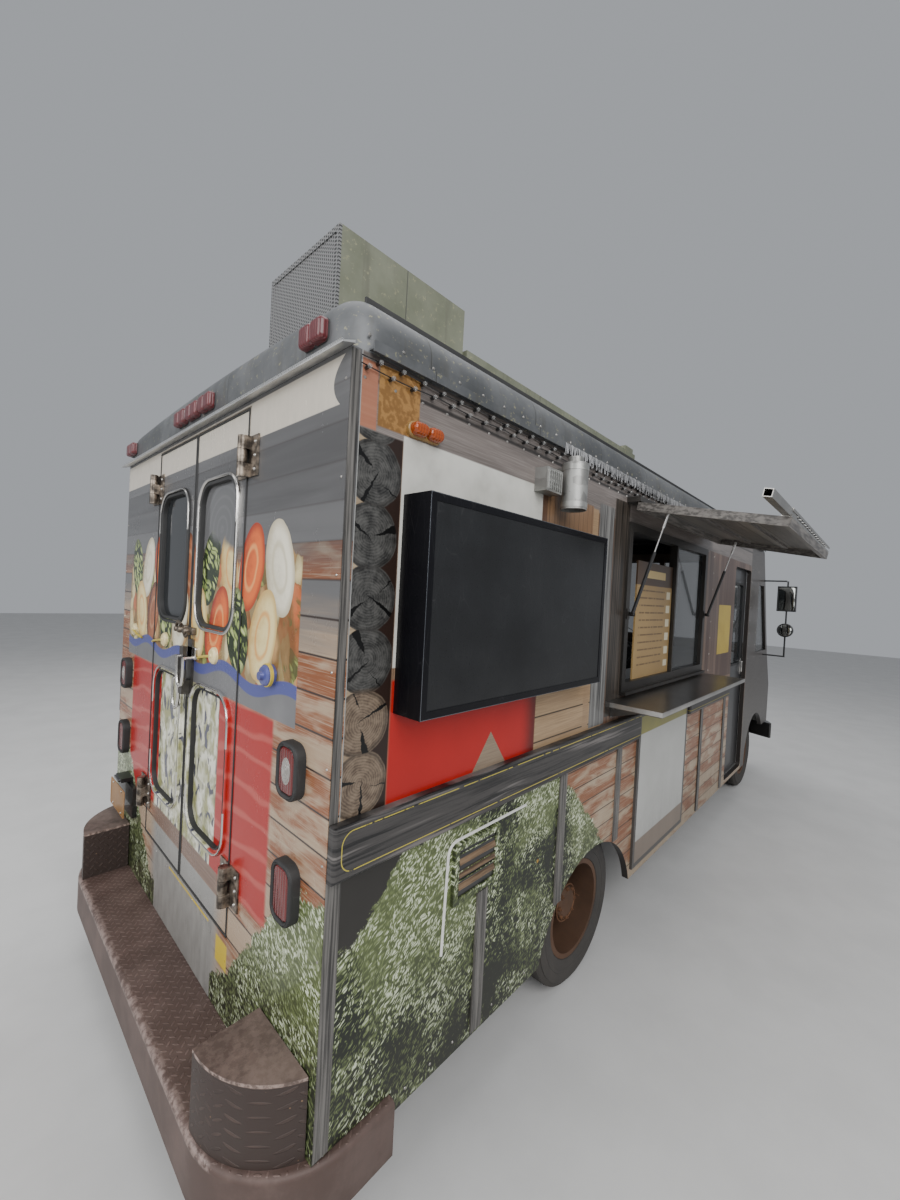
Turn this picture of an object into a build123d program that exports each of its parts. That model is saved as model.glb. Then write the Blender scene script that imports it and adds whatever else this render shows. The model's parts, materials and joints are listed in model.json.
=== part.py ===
from build123d import *
import math
import os

# Food truck on a walk-in van body, in millimetres
# X runs forward from the rear face of the body, Y to the left from the centreline, Z up from the ground.
# At the end every piece is moved so that the origin lies under the middle of the whole vehicle.

# Body shell
body_width = 2360
half_width = body_width / 2
wall = 40
inner_half = half_width - wall
skirt_bottom = 394
wall_top = 2830
roof_roll = 130
roof_rise = 200
roof_crown = 25
roof_front_x = 5930
windshield_top_x = 5887
windshield_foot_x = 6400
windshield_foot_z = 1600
nose_x = 6640
nose_top = 1180
nose_bottom = 700
cowl_thickness = 45
floor_top = 780
floor_depth = 60
floor_sheet = 12
fit = 0.3

# Wheels and axles
tyre_radius = 405
tyre_width = 215
rim_radius = 248
rim_wall = 12
rim_lip = 14
hub_radius = 105
spindle_radius = 30
bearing_gap = 1
axle_height = tyre_radius
rear_axle_x = 1720
front_axle_x = 5900
rear_outer_face = 1105
twin_gap = 40
front_outer_face = 1075
kingpin_y = 800
kingpin_radius = 14
# Columns: centre along the vehicle, half length, inner side, top
wheel_boxes = ((rear_axle_x, 480, 560, 880), (front_axle_x, 520, 560, 935))

# Openings in the sides
rear_arch_radius = 543
rear_arch_z = 242
front_arch_radius = 500
cab_opening_x = 4550
cab_opening_width = 680
cab_opening_bottom = 430
cab_opening_top = 2560
quarter_glass_x = 5680
quarter_glass_bottom = 1650
quarter_glass_top = 2430
quarter_glass_margin = 90
serving_x = 1950
serving_length = 1550
serving_bottom = 1640
serving_top = 2600
serving_split = 820
serving_frame = 34
step_well_inner = 800
cab_step_z = 442

# Front of the body
windshield_bar = 30
windshield_edge = 1070
windshield_low = 1690
windshield_high = 2730
grille_half = 540
grille_bottom = 745
grille_top = 1110
headlamp_y = 640
headlamp_width = 300
headlamp_height = 190
headlamp_z = 850

# Lamps and number plate; columns: lower edge, height
tail_lamps = ((1485, 172), (1098, 188))
marker_lamps = (-990, -115, 45, 205, 1090)
marker_z = wall_top + 85
side_lamp_x = 216
side_lamp_length = 144
side_lamp_low = wall_top - 195
side_lamp_height = 47
plate_middle = 870
plate_low = 795
plate_bolt_span = 177.8
plate_bolt_rise = 120.65
plate_hole_radius = 3.5
plate_standoff = 24

# Rear doors
door_half = 544
door_bottom = 791
door_top = 2800
door_gap = 6
hinge_pin_x = -28
hinge_pin_radius = 8
hinge_knuckle_radius = 18
hinge_length = 150
hinge_leaf = 82
hinge_heights = (932, 2535)
door_window_y = 92
door_window_width = 374
door_window_radius = 90
upper_window_bottom = 1955
upper_window_top = 2555
lower_window_bottom = 1070
lower_window_top = 1680

# Sliding cab doors
cab_door_thickness = 30
cab_door_gap = 8
cab_door_lap = 22
cab_door_slide = 640
cab_door_glass_bottom = 1560
cab_door_glass_top = 2400
cab_door_glass_margin = 95
track_low = cab_opening_top + 30
track_height = 44
track_wall = 8

# Serving hatch, its rail and its gas struts
hatch_lap = 52
hatch_x = serving_x - hatch_lap
hatch_length = serving_length + 152
hatch_reach = 729
hatch_depth = 45
hatch_skin = 4
hatch_rim = 28
hatch_tilt = 10.8
hatch_standoff = 66
hinge_height = 2717
rail_size = 41
rail_wall = 3
rail_slot_pitch = 100
extension_size = 34
extension_end_x = 1425
hatch_pin_radius = 2.5
hatch_knuckle_radius = 4.5
hatch_hinge_length = 150
strut_inset = 12
strut_foot_z = 2080
strut_foot_out = 42
strut_head_along = 155
strut_head_under = 30
strut_barrel_radius = 10
strut_rod_radius = 4
strut_eye_radius = 9
strut_pin_radius = 4
strut_barrel_share = 0.62

# Shelf, screen, boards and rails on the serving side
shelf_x = 1756
shelf_length = 1844
shelf_reach = 310
shelf_top = 1590
shelf_sheet = 4
shelf_lip = 28
screen_x = 220
screen_length = 1192
screen_bottom = 1755
screen_height = 694
screen_depth = 125
screen_bezel = 26
notice_x = 2250
notice_length = 960
notice_bottom = 456
notice_top = 1455
rub_rail_bottom = 1300
rub_rail_height = 165
rub_rail_depth = 34
rub_rail_front = 4420
rib_width = 62
rib_depth = 9
# Columns: middle of the rib, lower end, upper end
ribs = ((729, 414, 975), (1335, 650, 1298), (1986, 735, 1298), (3643, 414, 1298), (4380, 414, 1298))

# Rear step
step_top = 470
step_height = 180
step_reach = 225
step_corner = 360
step_side_out = 30
step_wing = 90
step_clear = 4
step_side_reach = 290
step_sheet = 8
step_roll = 18
corner_box_height = 250
corner_box_inner = 835
corner_box_outer = 1150
corner_box_reach = 213

# Roof boxes
cooler_x = 180
cooler_length = 684
cooler_left = -270
cooler_right = -795
cooler_top = 3468
duct_x = 894
duct_length = 1996
duct_top = 3300
roof_top = wall_top + roof_rise

# Chassis
rail_half = 430
rail_width = 60
rail_height = 150
rail_bottom = 565
rail_sheet = 7
spring_half = 520
spring_width = 60
cross_member_width = 70
cross_members = (110, 1000, 2450, 3400, 4350, 5050, nose_x - 160)
outrigger_width = 60
outriggers = (300, 1000, 2450, 3400, 4350)

# Driver's place
seat_x = 5150
seat_y = 520
seat_low = 1160
seat_depth = 110
wheel_rim_radius = 220
steering_wheel_x = 5790
steering_wheel_z = 1425
steering_wheel_tilt = -60
dash_rear_x = 6120
dash_bottom = 1180
dash_brow_z = 1500
dash_top = 1560
dash_glass_gap = 60
engine_x = front_axle_x - 340
engine_length = 820
engine_half = 290
engine_low = axle_height + 25
engine_top = floor_top - floor_depth - 20
engine_cover_x = engine_x - 80
engine_cover_length = 1000
engine_cover_half = 330
engine_cover_top = floor_top + 370

# Door mirrors
mirror_x = 6120
mirror_stay_x = 5960
mirror_reach = 215
mirror_tube = 9
mirror_low = 1600
mirror_high = 2495
flat_mirror_x = 6098
flat_mirror_z = 2290
flat_mirror = (36, 190, 300)
flat_mirror_turn = 6
round_mirror_x = 6102
round_mirror_z = 1915
round_mirror_radius = 82
round_mirror_depth = 26

# Kitchen
counter_front = 630
counter_end = 3860


def block(x0, x1, y0, y1, z0, z1):
    """A plain block between two opposite corners."""
    return Pos((x0 + x1) / 2, (y0 + y1) / 2, (z0 + z1) / 2) * Box(x1 - x0, y1 - y0, z1 - z0)


def across(face, y0, y1):
    """An outline drawn as (x, z), made solid between two places across the vehicle."""
    return Pos(0, y1, 0) * Rot(90, 0, 0) * extrude(face, y1 - y0)


def along(face, x0, x1):
    """An outline drawn as (y, z), made solid between two places along the vehicle."""
    return Pos(x0, 0, 0) * Rot(0, 0, 90) * Rot(90, 0, 0) * extrude(face, x1 - x0)


def outline(*points):
    """A closed face through corner points."""
    return make_face(Polyline(*points, close=True))


def slab(u0, u1, v0, v1, radius=0):
    """A flat rectangle between two corners, its corners rounded when a radius is given."""
    flat = RectangleRounded(u1 - u0, v1 - v0, radius) if radius else Rectangle(u1 - u0, v1 - v0)
    return Pos((u0 + u1) / 2, (v0 + v1) / 2) * flat


def rod_y(x, z, radius, y0, y1):
    """A round bar lying across the vehicle."""
    return Pos(x, (y0 + y1) / 2, z) * Rot(90, 0, 0) * Cylinder(radius, y1 - y0)


def rod_x(y, z, radius, x0, x1):
    """A round bar lying along the vehicle."""
    return Pos((x0 + x1) / 2, y, z) * Rot(0, 90, 0) * Cylinder(radius, x1 - x0)


def rod_z(x, y, radius, z0, z1):
    """An upright round bar."""
    return Pos(x, y, (z0 + z1) / 2) * Cylinder(radius, z1 - z0)


def turned(points, x, z):
    """A ring turned about a cross axle, from corner points given as (radius, y)."""
    return Pos(x, 0, z) * revolve(outline(*points), Axis.Y)


def mirrored(shape):
    """The same shape on the other side of the centreline."""
    return mirror(shape, Plane.XZ)


def both(shape):
    """A shape and its mirror image."""
    return [shape, mirrored(shape)]


def windshield_x(z, setback=0):
    """Where the sloping front stands at a height."""
    lean = (windshield_foot_x - windshield_top_x) / (wall_top - windshield_foot_z)
    return windshield_foot_x - (z - windshield_foot_z) * lean - setback


# Side panels, roof, rear wall and floor
def side_face():
    """The outline of a side with its wheel arches, cab opening and quarter window."""
    arch_left = front_axle_x - front_arch_radius / 2
    rear_low = step_top + step_clear
    rear_end = step_side_reach + step_clear
    face = outline((rear_end, skirt_bottom), (rear_end, rear_low), (wall, rear_low), (wall, wall_top),
                   (windshield_top_x, wall_top), (windshield_foot_x, windshield_foot_z), (nose_x, nose_top),
                   (nose_x, nose_bottom), (arch_left, nose_bottom), (arch_left, skirt_bottom))
    face -= Pos(rear_axle_x, rear_arch_z) * Circle(rear_arch_radius)
    face -= Pos(front_axle_x, axle_height) * Circle(front_arch_radius)
    face -= slab(cab_opening_x, cab_opening_x + cab_opening_width, cab_opening_bottom, cab_opening_top, 40)
    return face - quarter_face()


def quarter_face(inset=0):
    """The quarter window beside the windshield."""
    low, high = quarter_glass_bottom + inset, quarter_glass_top - inset
    rear = quarter_glass_x + inset
    return outline((rear, low), (rear, high), (windshield_x(high, quarter_glass_margin + inset), high),
                   (windshield_x(low, quarter_glass_margin + inset), low))


def serving_slab(inset=0):
    """The serving window's opening, smaller all round by an inset."""
    return slab(serving_x + inset, serving_x + serving_length - inset, serving_bottom + inset,
                serving_top - inset)


def side_sheets(with_window):
    """The sheets of a right side wall, which meet behind the rub rail and in line with its openings."""
    face = side_face()
    if with_window:
        face -= serving_slab()
    panel = across(face, -half_width, -inner_half)
    seam = rub_rail_bottom + rub_rail_height / 2
    serving_end, door_end = serving_x + serving_length, cab_opening_x + cab_opening_width
    # Columns: lower seam, upper seam, upright seams. The third row is the cab doorway's corner gussets.
    rows = ((0, seam, (0, rear_axle_x, serving_end, cab_opening_x, door_end, front_axle_x, nose_x + fit)),
            (seam, wall_top + fit, (0, serving_x, serving_end, cab_opening_x)),
            (seam, cab_opening_top, (cab_opening_x, door_end)),
            (cab_opening_top, wall_top + fit, (cab_opening_x, door_end)),
            (seam, wall_top + fit, (door_end, nose_x + fit)))
    sheets = []
    for low, high, ends in rows:
        for x0, x1 in zip(ends, ends[1:]):
            cell = block(x0 + fit / 2, x1 - fit / 2, -half_width - 1, -inner_half + 1, low + fit / 2, high - fit / 2)
            sheets += (panel & cell).solids()
    return sheets


def drip_rail():
    """The gutter along the right roof edge."""
    section = outline((-half_width - 26, wall_top + 30), (-half_width - 26, wall_top - 2),
                      (-half_width - 21, wall_top - 2), (-half_width - 21, wall_top + 6),
                      (-half_width, wall_top + 6), (-half_width, wall_top + 12),
                      (-half_width - 20, wall_top + 12), (-half_width - 20, wall_top + 30))
    return along(section, 60, roof_front_x - roof_roll)


def roof_section(inset):
    """The roof's cross-section, from its wall line up over the crown."""
    side, low = half_width - inset, wall_top
    roll = roof_roll - inset
    high = roof_top - inset
    corner = roll * (1 - math.sqrt(0.5))
    lines = [Line((-side, low), (-side, high - roll)),
             ThreePointArc((-side, high - roll), (-side + corner, high - corner), (-side + roll, high)),
             ThreePointArc((-side + roll, high), (0, high + roof_crown), (side - roll, high)),
             ThreePointArc((side - roll, high), (side - corner, high - corner), (side, high - roll)),
             Line((side, high - roll), (side, low)), Line((side, low), (-side, low))]
    return make_face(lines)


def roof_solid(inset):
    """The roof as a full body, rolled at its rear and front ends too."""
    body = along(roof_section(inset), inset, roof_front_x - inset)
    ends = [edge for edge in body.edges()
            if edge.bounding_box().size.X < 1 and edge.bounding_box().max.Z > wall_top + 1
            and edge.bounding_box().max.Z > roof_top - inset - 1]
    return fillet(ends, roof_roll - inset - 25)


def rear_wall_solid():
    """The rear wall with the door opening, its hinge leaves and the rear drip rail."""
    face = slab(-half_width, half_width, step_top + step_clear, wall_top)
    face -= slab(-door_half, door_half, door_bottom - door_gap, door_top + door_gap)
    solid = along(face, 0, wall)
    rail = outline((-42, wall_top - 16), (-42, wall_top - 12), (0, wall_top + 4), (0, wall_top - 4))
    solid += across(rail, -half_width - 20, half_width + 20)
    for side in (-1, 1):
        for height in hinge_heights:
            solid += hinge_body_part(side, height)
    return solid


def hinge_body_part(side, height):
    """The fixed half of a rear hinge: a leaf, two knuckles and the pin."""
    third = hinge_length / 3
    pin_y = side * (door_half + 4)
    outer = pin_y + side * hinge_leaf
    leaf = block(-7, 0, min(pin_y + side * 8, outer), max(pin_y + side * 8, outer), height, height + hinge_length)
    part = leaf + rod_z(hinge_pin_x, pin_y, hinge_pin_radius, height, height + hinge_length)
    for low in (height, height + 2 * third + 1):
        knuckle = rod_z(hinge_pin_x, pin_y, hinge_knuckle_radius, low, low + third - 1)
        inner, outer_edge = sorted((pin_y + side * 8, pin_y + side * 20))
        part += knuckle + block(hinge_pin_x, 0, inner, outer_edge, low, low + third - 1)
    return part


def hinge_door_part(side, height):
    """The moving half of a rear hinge: a leaf and the middle knuckle round the pin."""
    third = hinge_length / 3
    pin_y = side * (door_half + 4)
    near, far = sorted((pin_y - side * 12, pin_y - side * hinge_leaf))
    low, high = height + third + 0.5, height + 2 * third - 0.5
    leaf = block(-7, 0, near, far, height, height + hinge_length)
    web_near, web_far = sorted((pin_y - side * 12, pin_y - side * 24))
    web = block(hinge_pin_x - 4, 0, web_near, web_far, low, high)
    knuckle = rod_z(hinge_pin_x, pin_y, hinge_knuckle_radius, low, high)
    knuckle -= rod_z(hinge_pin_x, pin_y, hinge_pin_radius + 0.5, low, high)
    return leaf + web + knuckle


def deck_plates():
    """The floor's plates: one along the middle, and those beside it between wheel boxes and cab steps."""
    low = floor_top - floor_depth
    front, inner, outer = nose_x - cowl_thickness - fit, wheel_boxes[0][2], inner_half - fit
    path_y = inner_half - cab_door_gap - cab_door_thickness - 6
    path_x = cab_opening_x - cab_door_lap - cab_door_slide - 10
    step_x0, step_x1 = cab_opening_x - floor_sheet, cab_opening_x + cab_opening_width + floor_sheet
    rear_box, front_box = wheel_boxes
    # Columns: rear end, front end, outer side
    side_plates = ((wall + fit, rear_box[0] - rear_box[1], outer), (rear_box[0] + rear_box[1], path_x, outer),
                   (path_x, step_x0, path_y), (step_x0, step_x1, step_well_inner),
                   (step_x1, front_box[0] - front_box[1], path_y), (front_box[0] + front_box[1], front, outer))
    plates = [block(wall + fit, front, -inner, inner, low, floor_top)]
    for x0, x1, reach in side_plates:
        plates += both(block(x0 + fit, x1 - fit, -reach + fit, -inner - fit, low, floor_top))
    return plates


def wheel_box(x, reach, inner, top):
    """The sheet box over a right wheel, open below and towards the wall."""
    low = floor_top - floor_depth
    box = block(x - reach + fit, x + reach - fit, -inner_half + fit, -inner - 2 * fit, low, top)
    return box - block(x - reach + floor_sheet, x + reach - floor_sheet, -inner_half - 1, -inner - floor_sheet,
                       low - 1, top - floor_sheet)


def cab_step():
    """The right cab step: its tread, and the riser and end walls that carry it below the floor."""
    x0, x1 = cab_opening_x, cab_opening_x + cab_opening_width
    low, under = cab_step_z + fit, floor_top - floor_depth - fit
    door_path = inner_half - cab_door_gap - cab_door_thickness - 6
    riser_y = -step_well_inner - floor_sheet
    tread = block(x0 - floor_sheet, x1 + floor_sheet, -inner_half + fit, -step_well_inner, cab_step_z - floor_sheet,
                  cab_step_z)
    riser = block(x0, x1, riser_y, -step_well_inner, low, under)
    ends = [block(x, x + floor_sheet - fit, -door_path, -step_well_inner, low, under) for x in (x0 - floor_sheet, x1 + fit)]
    return [tread, riser, *ends]


def floor_solids():
    """The floor plates, the wheel boxes and the cab steps."""
    boxes = [wheel_box(*sizes) for sizes in wheel_boxes]
    shapes = deck_plates()
    for box in boxes + cab_step():
        shapes += both(box)
    return shapes


# Front of the body
def cowl_solid():
    """The windshield frame, sloping nose and grille panel in one skin."""
    outer = [(windshield_top_x, wall_top), (windshield_foot_x, windshield_foot_z), (nose_x, nose_top),
             (nose_x, nose_bottom)]
    inner = [(x - cowl_thickness, z) for x, z in reversed(outer)]
    solid = across(outline(*outer, *inner), -inner_half + fit, inner_half - fit)
    for pane in (-1, 1):
        solid -= windshield_cut(pane)
    solid -= block(nose_x - 200, nose_x + 10, -grille_half, grille_half, grille_bottom, grille_top)
    for side in (-1, 1):
        lamp = sorted((side * headlamp_y, side * (headlamp_y + headlamp_width)))
        solid -= block(nose_x - 200, nose_x + 10, lamp[0], lamp[1], headlamp_z, headlamp_z + headlamp_height)
    return solid


def windshield_cut(pane, inset=0):
    """The space of one windshield pane."""
    near, far = sorted((pane * (windshield_bar + inset), pane * (windshield_edge - inset)))
    return block(windshield_top_x - 200, windshield_foot_x + 100, near, far, windshield_low + inset,
                 windshield_high - inset)


def glass_solids():
    """Windshield panes, quarter windows and the serving window's fixed pane."""
    sheet = 6
    front = outline((windshield_x(wall_top, 26), wall_top), (windshield_x(windshield_foot_z, 26), windshield_foot_z),
                    (windshield_x(windshield_foot_z, 26 - sheet), windshield_foot_z),
                    (windshield_x(wall_top, 26 - sheet), wall_top))
    sheet_solid = across(front, -inner_half, inner_half)
    panes = [sheet_solid & windshield_cut(pane, fit) for pane in (-1, 1)]
    quarter = across(quarter_face(fit), -half_width + 17, -half_width + 17 + sheet)
    pane = slab(serving_x + serving_split + 26, serving_x + serving_length - serving_frame - fit,
                serving_bottom + serving_frame + fit, serving_top - serving_frame - fit)
    serving = across(pane, -half_width + 12, -half_width + 12 + sheet)
    return panes + both(quarter) + [serving]


def serving_frame_solid():
    """The serving window's frame with its middle post and sill."""
    face = slab(serving_x - 16, serving_x + serving_length + 16, serving_bottom - 16, serving_top + 16)
    face -= serving_slab(0)
    lip = across(face, -half_width - 14, -half_width)
    ring = serving_slab(fit) - serving_slab(serving_frame)
    ring += slab(serving_x + serving_split, serving_x + serving_split + 26, serving_bottom + 1, serving_top - 1)
    core = across(ring, -half_width - 14, -inner_half - fit)
    link = across(serving_slab(0) - serving_slab(serving_frame), -half_width - 14, -half_width)
    sill = block(serving_x - 16, serving_x + serving_length + 16, -half_width - 40, -half_width,
                 serving_bottom - 34, serving_bottom - 16)
    return lip + core + link + sill


def grille_solid():
    """The front grille: a frame with flat bars."""
    frame = slab(-grille_half + fit, grille_half - fit, grille_bottom + fit, grille_top - fit)
    frame -= slab(-grille_half + 30, grille_half - 30, grille_bottom + 30, grille_top - 30)
    solid = along(frame, nose_x - cowl_thickness + 5, nose_x - 5)
    count = 6
    pitch = (grille_top - grille_bottom - 60) / count
    for index in range(count):
        low = grille_bottom + 30 + pitch * (index + 0.3)
        solid += block(nose_x - cowl_thickness + 8, nose_x - 12, -grille_half + 20, grille_half - 20, low,
                       low + pitch * 0.4)
    for y in (-grille_half / 3, grille_half / 3):
        solid += block(nose_x - cowl_thickness + 8, nose_x - 18, y - 8, y + 8, grille_bottom + 20, grille_top - 20)
    return solid


def headlamp_solids():
    """The two headlamps."""
    front = slab(headlamp_y + fit, headlamp_y + headlamp_width - fit, headlamp_z + fit,
                 headlamp_z + headlamp_height - fit, 24)
    lens = along(front, nose_x - cowl_thickness, nose_x + 12)
    return both(lens)


# Rear step, bumpers and mouldings
def step_plan():
    """The right half of the rear step seen from above: it runs on under the body's corner."""
    side_y = half_width + step_side_out
    turn_x, turn_y = step_corner - step_reach, side_y - step_corner
    slant = step_corner * math.sqrt(0.5)
    return make_face([Line((-step_reach, 0), (-step_reach, -turn_y)),
                      ThreePointArc((-step_reach, -turn_y), (turn_x - slant, -turn_y - slant), (turn_x, -side_y)),
                      Line((turn_x, -side_y), (step_side_reach, -side_y)),
                      Line((step_side_reach, -side_y), (step_side_reach, -side_y + step_wing)),
                      Line((step_side_reach, -side_y + step_wing), (wall, -side_y + step_wing)),
                      Line((wall, -side_y + step_wing), (wall, 0)), Line((wall, 0), (-step_reach, 0))])


def corner_box_plan():
    """A corner box seen from above: straight inside, curved outside."""
    return make_face([Line((-4, -corner_box_inner), (-corner_box_reach, -corner_box_inner)),
                      ThreePointArc((-corner_box_reach, -corner_box_inner), (-136, -1052), (-4, -corner_box_outer)),
                      Line((-4, -corner_box_outer), (-4, -corner_box_inner))])


def rear_step_solid():
    """The step bumper: a folded plate with rolled lip and a raised box at each corner."""
    low = step_top - step_height
    half = extrude(Pos(0, 0, low) * step_plan(), step_height)
    rim = []
    for edge in half.edges():
        box = edge.bounding_box()
        outer = box.max.X < 1 - step_reach or box.max.Y < 1 - half_width - step_side_out
        if box.min.Z > step_top - 1 and (outer or edge.geom_type == GeomType.CIRCLE):
            rim.append(edge)
    half = fillet(rim, step_roll)
    half -= block(-step_reach + 2 * step_sheet, -30, 30 - corner_box_inner, 1, low - 1, step_top - step_sheet)
    half += extrude(Pos(0, 0, step_top - 1) * corner_box_plan(), corner_box_height + 1)
    half += block(60, 240, -rail_half - 25, -rail_half + 25, low + 40, rail_bottom - fit)
    half += block(wall - 60, 240, -rail_half - 25, -rail_half + 25, low + 40, step_top - 20)
    return half + mirrored(half)


def front_bumper_solid():
    """The front bumper: a channel with swept ends."""
    x0, x1 = nose_x + 22, nose_x + 150
    half = outline((x0, 0), (x0, -1000), (x0 - 90, -1230), (x0 - 60, -1245), (x1 - 60, -1180), (x1, -1020), (x1, 0))
    solid = extrude(Pos(0, 0, 490) * half, 190)
    inner = outline((x0 - 200, 0.1), (x0 - 200, -1300), (x0 - 80, -1205), (x0 + 40, -990), (x1 - 12, -960),
                    (x1 - 12, 0.1))
    solid -= extrude(Pos(0, 0, 502) * inner, 166)
    bracket = block(nose_x - 160, x0 + 20, -rail_half - rail_width / 2, -rail_half + rail_width / 2, 500,
                    rail_bottom - fit)
    half_solid = solid + bracket
    return half_solid + mirrored(half_solid)


def rub_rail(x0, x1, side):
    """One length of rub rail with a rounded outer face."""
    y0 = half_width
    section = slab(y0, y0 + rub_rail_depth, rub_rail_bottom, rub_rail_bottom + rub_rail_height)
    rail = along(section, x0, x1)
    outer = [edge for edge in rail.edges()
             if edge.bounding_box().min.Y > y0 + rub_rail_depth - 1]
    rail = fillet(outer, 12)
    return rail if side > 0 else mirrored(rail)


def moulding_solids():
    """Rub rails and upright ribs on both sides."""
    rails = [rub_rail(2, notice_x - 20, -1), rub_rail(notice_x + notice_length + 20, rub_rail_front, -1),
             rub_rail(2, rub_rail_front, 1)]
    strips = []
    for side in (-1, 1):
        near, far = sorted((side * half_width, side * (half_width + rib_depth)))
        for x, low, high in ribs:
            strips.append(block(x - rib_width / 2, x + rib_width / 2, near, far, low, high))
        near, far = sorted((side * half_width, side * (half_width + 4)))
        strips.append(block(2, 52, near, far, step_top + 12, rub_rail_bottom - 2))
        strips.append(block(2, 30, near, far, rub_rail_bottom + rub_rail_height + 2, wall_top - 8))
    return rails + strips


# Wheels and axles
def tyre(face_y, side):
    """One tyre whose outer face stands at a distance from the centreline."""
    inner = face_y - tyre_width
    bulge = 22
    bead = rim_radius + rim_lip + 2
    points = [(rim_radius + fit, face_y - bulge), (bead, face_y - bulge), (rim_radius + 40, face_y - 6),
              (tyre_radius - 70, face_y), (tyre_radius - 22, face_y - 14), (tyre_radius, face_y - 34),
              (tyre_radius, inner + 34), (tyre_radius - 22, inner + 14), (tyre_radius - 70, inner),
              (rim_radius + 40, inner + 6), (bead, inner + bulge), (rim_radius + fit, inner + bulge)]
    return [(radius, side * y) for radius, y in points]


def rim_barrel(face_y, disc_y, side):
    """One rim: barrel, lips and a dished disc with its hub bore."""
    inner = face_y - tyre_width
    outer_lip, inner_lip = face_y - 22, inner + 22
    bore = spindle_radius + bearing_gap
    thin = rim_radius - rim_wall
    lip = rim_radius + rim_lip
    points = [(rim_radius, inner_lip - fit), (rim_radius, outer_lip + fit), (lip, outer_lip + fit),
              (lip, outer_lip + 6), (thin, outer_lip + 6), (thin, disc_y + 30),
              (hub_radius + 50, disc_y + 12), (hub_radius + 4, disc_y + 10), (bore, disc_y + 10), (bore, disc_y - 2),
              (hub_radius + 50, disc_y - 2), (thin, disc_y + 12), (thin, inner_lip - 6),
              (lip, inner_lip - 6), (lip, inner_lip - fit)]
    return [(radius, side * y) for radius, y in points]


def hub(y0, y1, radius, side):
    """A hub sleeve round the spindle."""
    bore = spindle_radius + bearing_gap
    return [(bore, side * y0), (bore, side * y1), (radius, side * y1), (radius, side * y0)]


def front_wheel(side):
    """Front tyre and rim, its disc set well out."""
    disc_y = front_outer_face - 62
    ring = turned(tyre(front_outer_face, side), front_axle_x, axle_height)
    rim = turned(rim_barrel(front_outer_face, disc_y, side), front_axle_x, axle_height)
    rim += turned(hub(disc_y - 60, disc_y + 40, 72, side), front_axle_x, axle_height)
    rim += turned([(0, side * (disc_y + 40)), (0, side * (disc_y + 52)), (62, side * (disc_y + 52)),
                   (72, side * (disc_y + 40))], front_axle_x, axle_height)
    for index in range(8):
        turn = index * 45
        y = side * (disc_y + 16)
        rim += Pos(front_axle_x, 0, axle_height) * Rot(0, turn, 0) * Pos(100, y, 0) * Rot(90, 0, 0) * Cylinder(13, 30)
    return ring, rim


def rear_wheels(side):
    """A twin rear wheel: two tyres, and two rims bolted back to back."""
    inner_face = rear_outer_face - tyre_width - twin_gap
    middle = rear_outer_face - tyre_width - twin_gap / 2
    tyres = [turned(tyre(face, side), rear_axle_x, axle_height) for face in (rear_outer_face, inner_face)]
    rims = turned(rim_barrel(rear_outer_face, middle + 2, side), rear_axle_x, axle_height)
    back = [(radius, side * (2 * middle) - y) for radius, y in rim_barrel(rear_outer_face, middle + 2, side)]
    rims += turned(back, rear_axle_x, axle_height)
    rims += turned(hub(middle - 70, rear_outer_face - 75, 84, side), rear_axle_x, axle_height)
    rims += turned([(0, side * (rear_outer_face - 75)), (0, side * (rear_outer_face - 62)),
                    (70, side * (rear_outer_face - 62)), (84, side * (rear_outer_face - 75))], rear_axle_x, axle_height)
    for index in range(8):
        y = side * (middle + 26)
        rims += (Pos(rear_axle_x, 0, axle_height) * Rot(0, index * 45, 0) * Pos(118, y, 0) * Rot(90, 0, 0)
                 * Cylinder(14, 34))
    return tyres, rims


def spring_pair(x, half_length):
    """A pair of leaf springs hung from the chassis rails, with their shackles."""
    springs = []
    top = axle_height + 62
    for side in (-1, 1):
        near, far = sorted((side * (spring_half - spring_width / 2), side * (spring_half + spring_width / 2)))
        pack = block(x - half_length, x + half_length, near, far, top + 36, top + 48)
        for index, share in enumerate((0.8, 0.55, 0.3)):
            pack += block(x - half_length * share, x + half_length * share, near, far, top + 24 - 12 * index,
                          top + 36 - 12 * index)
        for end in (-1, 1):
            ex = x + end * (half_length - 20)
            hanger_a, hanger_b = sorted((side * (rail_half + rail_width / 2 + fit), side * (spring_half + 10)))
            pack += block(ex - 20, ex + 20, near, far, top + 36, rail_bottom + 70)
            pack += block(ex - 20, ex + 20, hanger_a, hanger_b, rail_bottom + 10, rail_bottom + 70)
        springs.append(pack)
    return springs


def front_axle_solids():
    """The front beam axle with kingpin bosses, and its springs."""
    beam = block(front_axle_x - 30, front_axle_x + 30, -kingpin_y + 70, kingpin_y - 70, axle_height - 95, axle_height - 35)
    for side in (-1, 1):
        y = side * kingpin_y
        near, far = sorted((side * (kingpin_y - 150), y))
        beam += block(front_axle_x - 26, front_axle_x + 26, near, far, axle_height - 42, axle_height + 28)
        beam += rod_z(front_axle_x, y, 34, axle_height - 42, axle_height + 42)
        beam -= rod_z(front_axle_x, y, kingpin_radius + 1, axle_height - 43, axle_height + 43)
        near, far = sorted((side * (spring_half - 30), side * (spring_half + 30)))
        beam += block(front_axle_x - 60, front_axle_x + 60, near, far, axle_height - 40, axle_height + 62 - fit)
    return [beam] + spring_pair(front_axle_x, 560)


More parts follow.
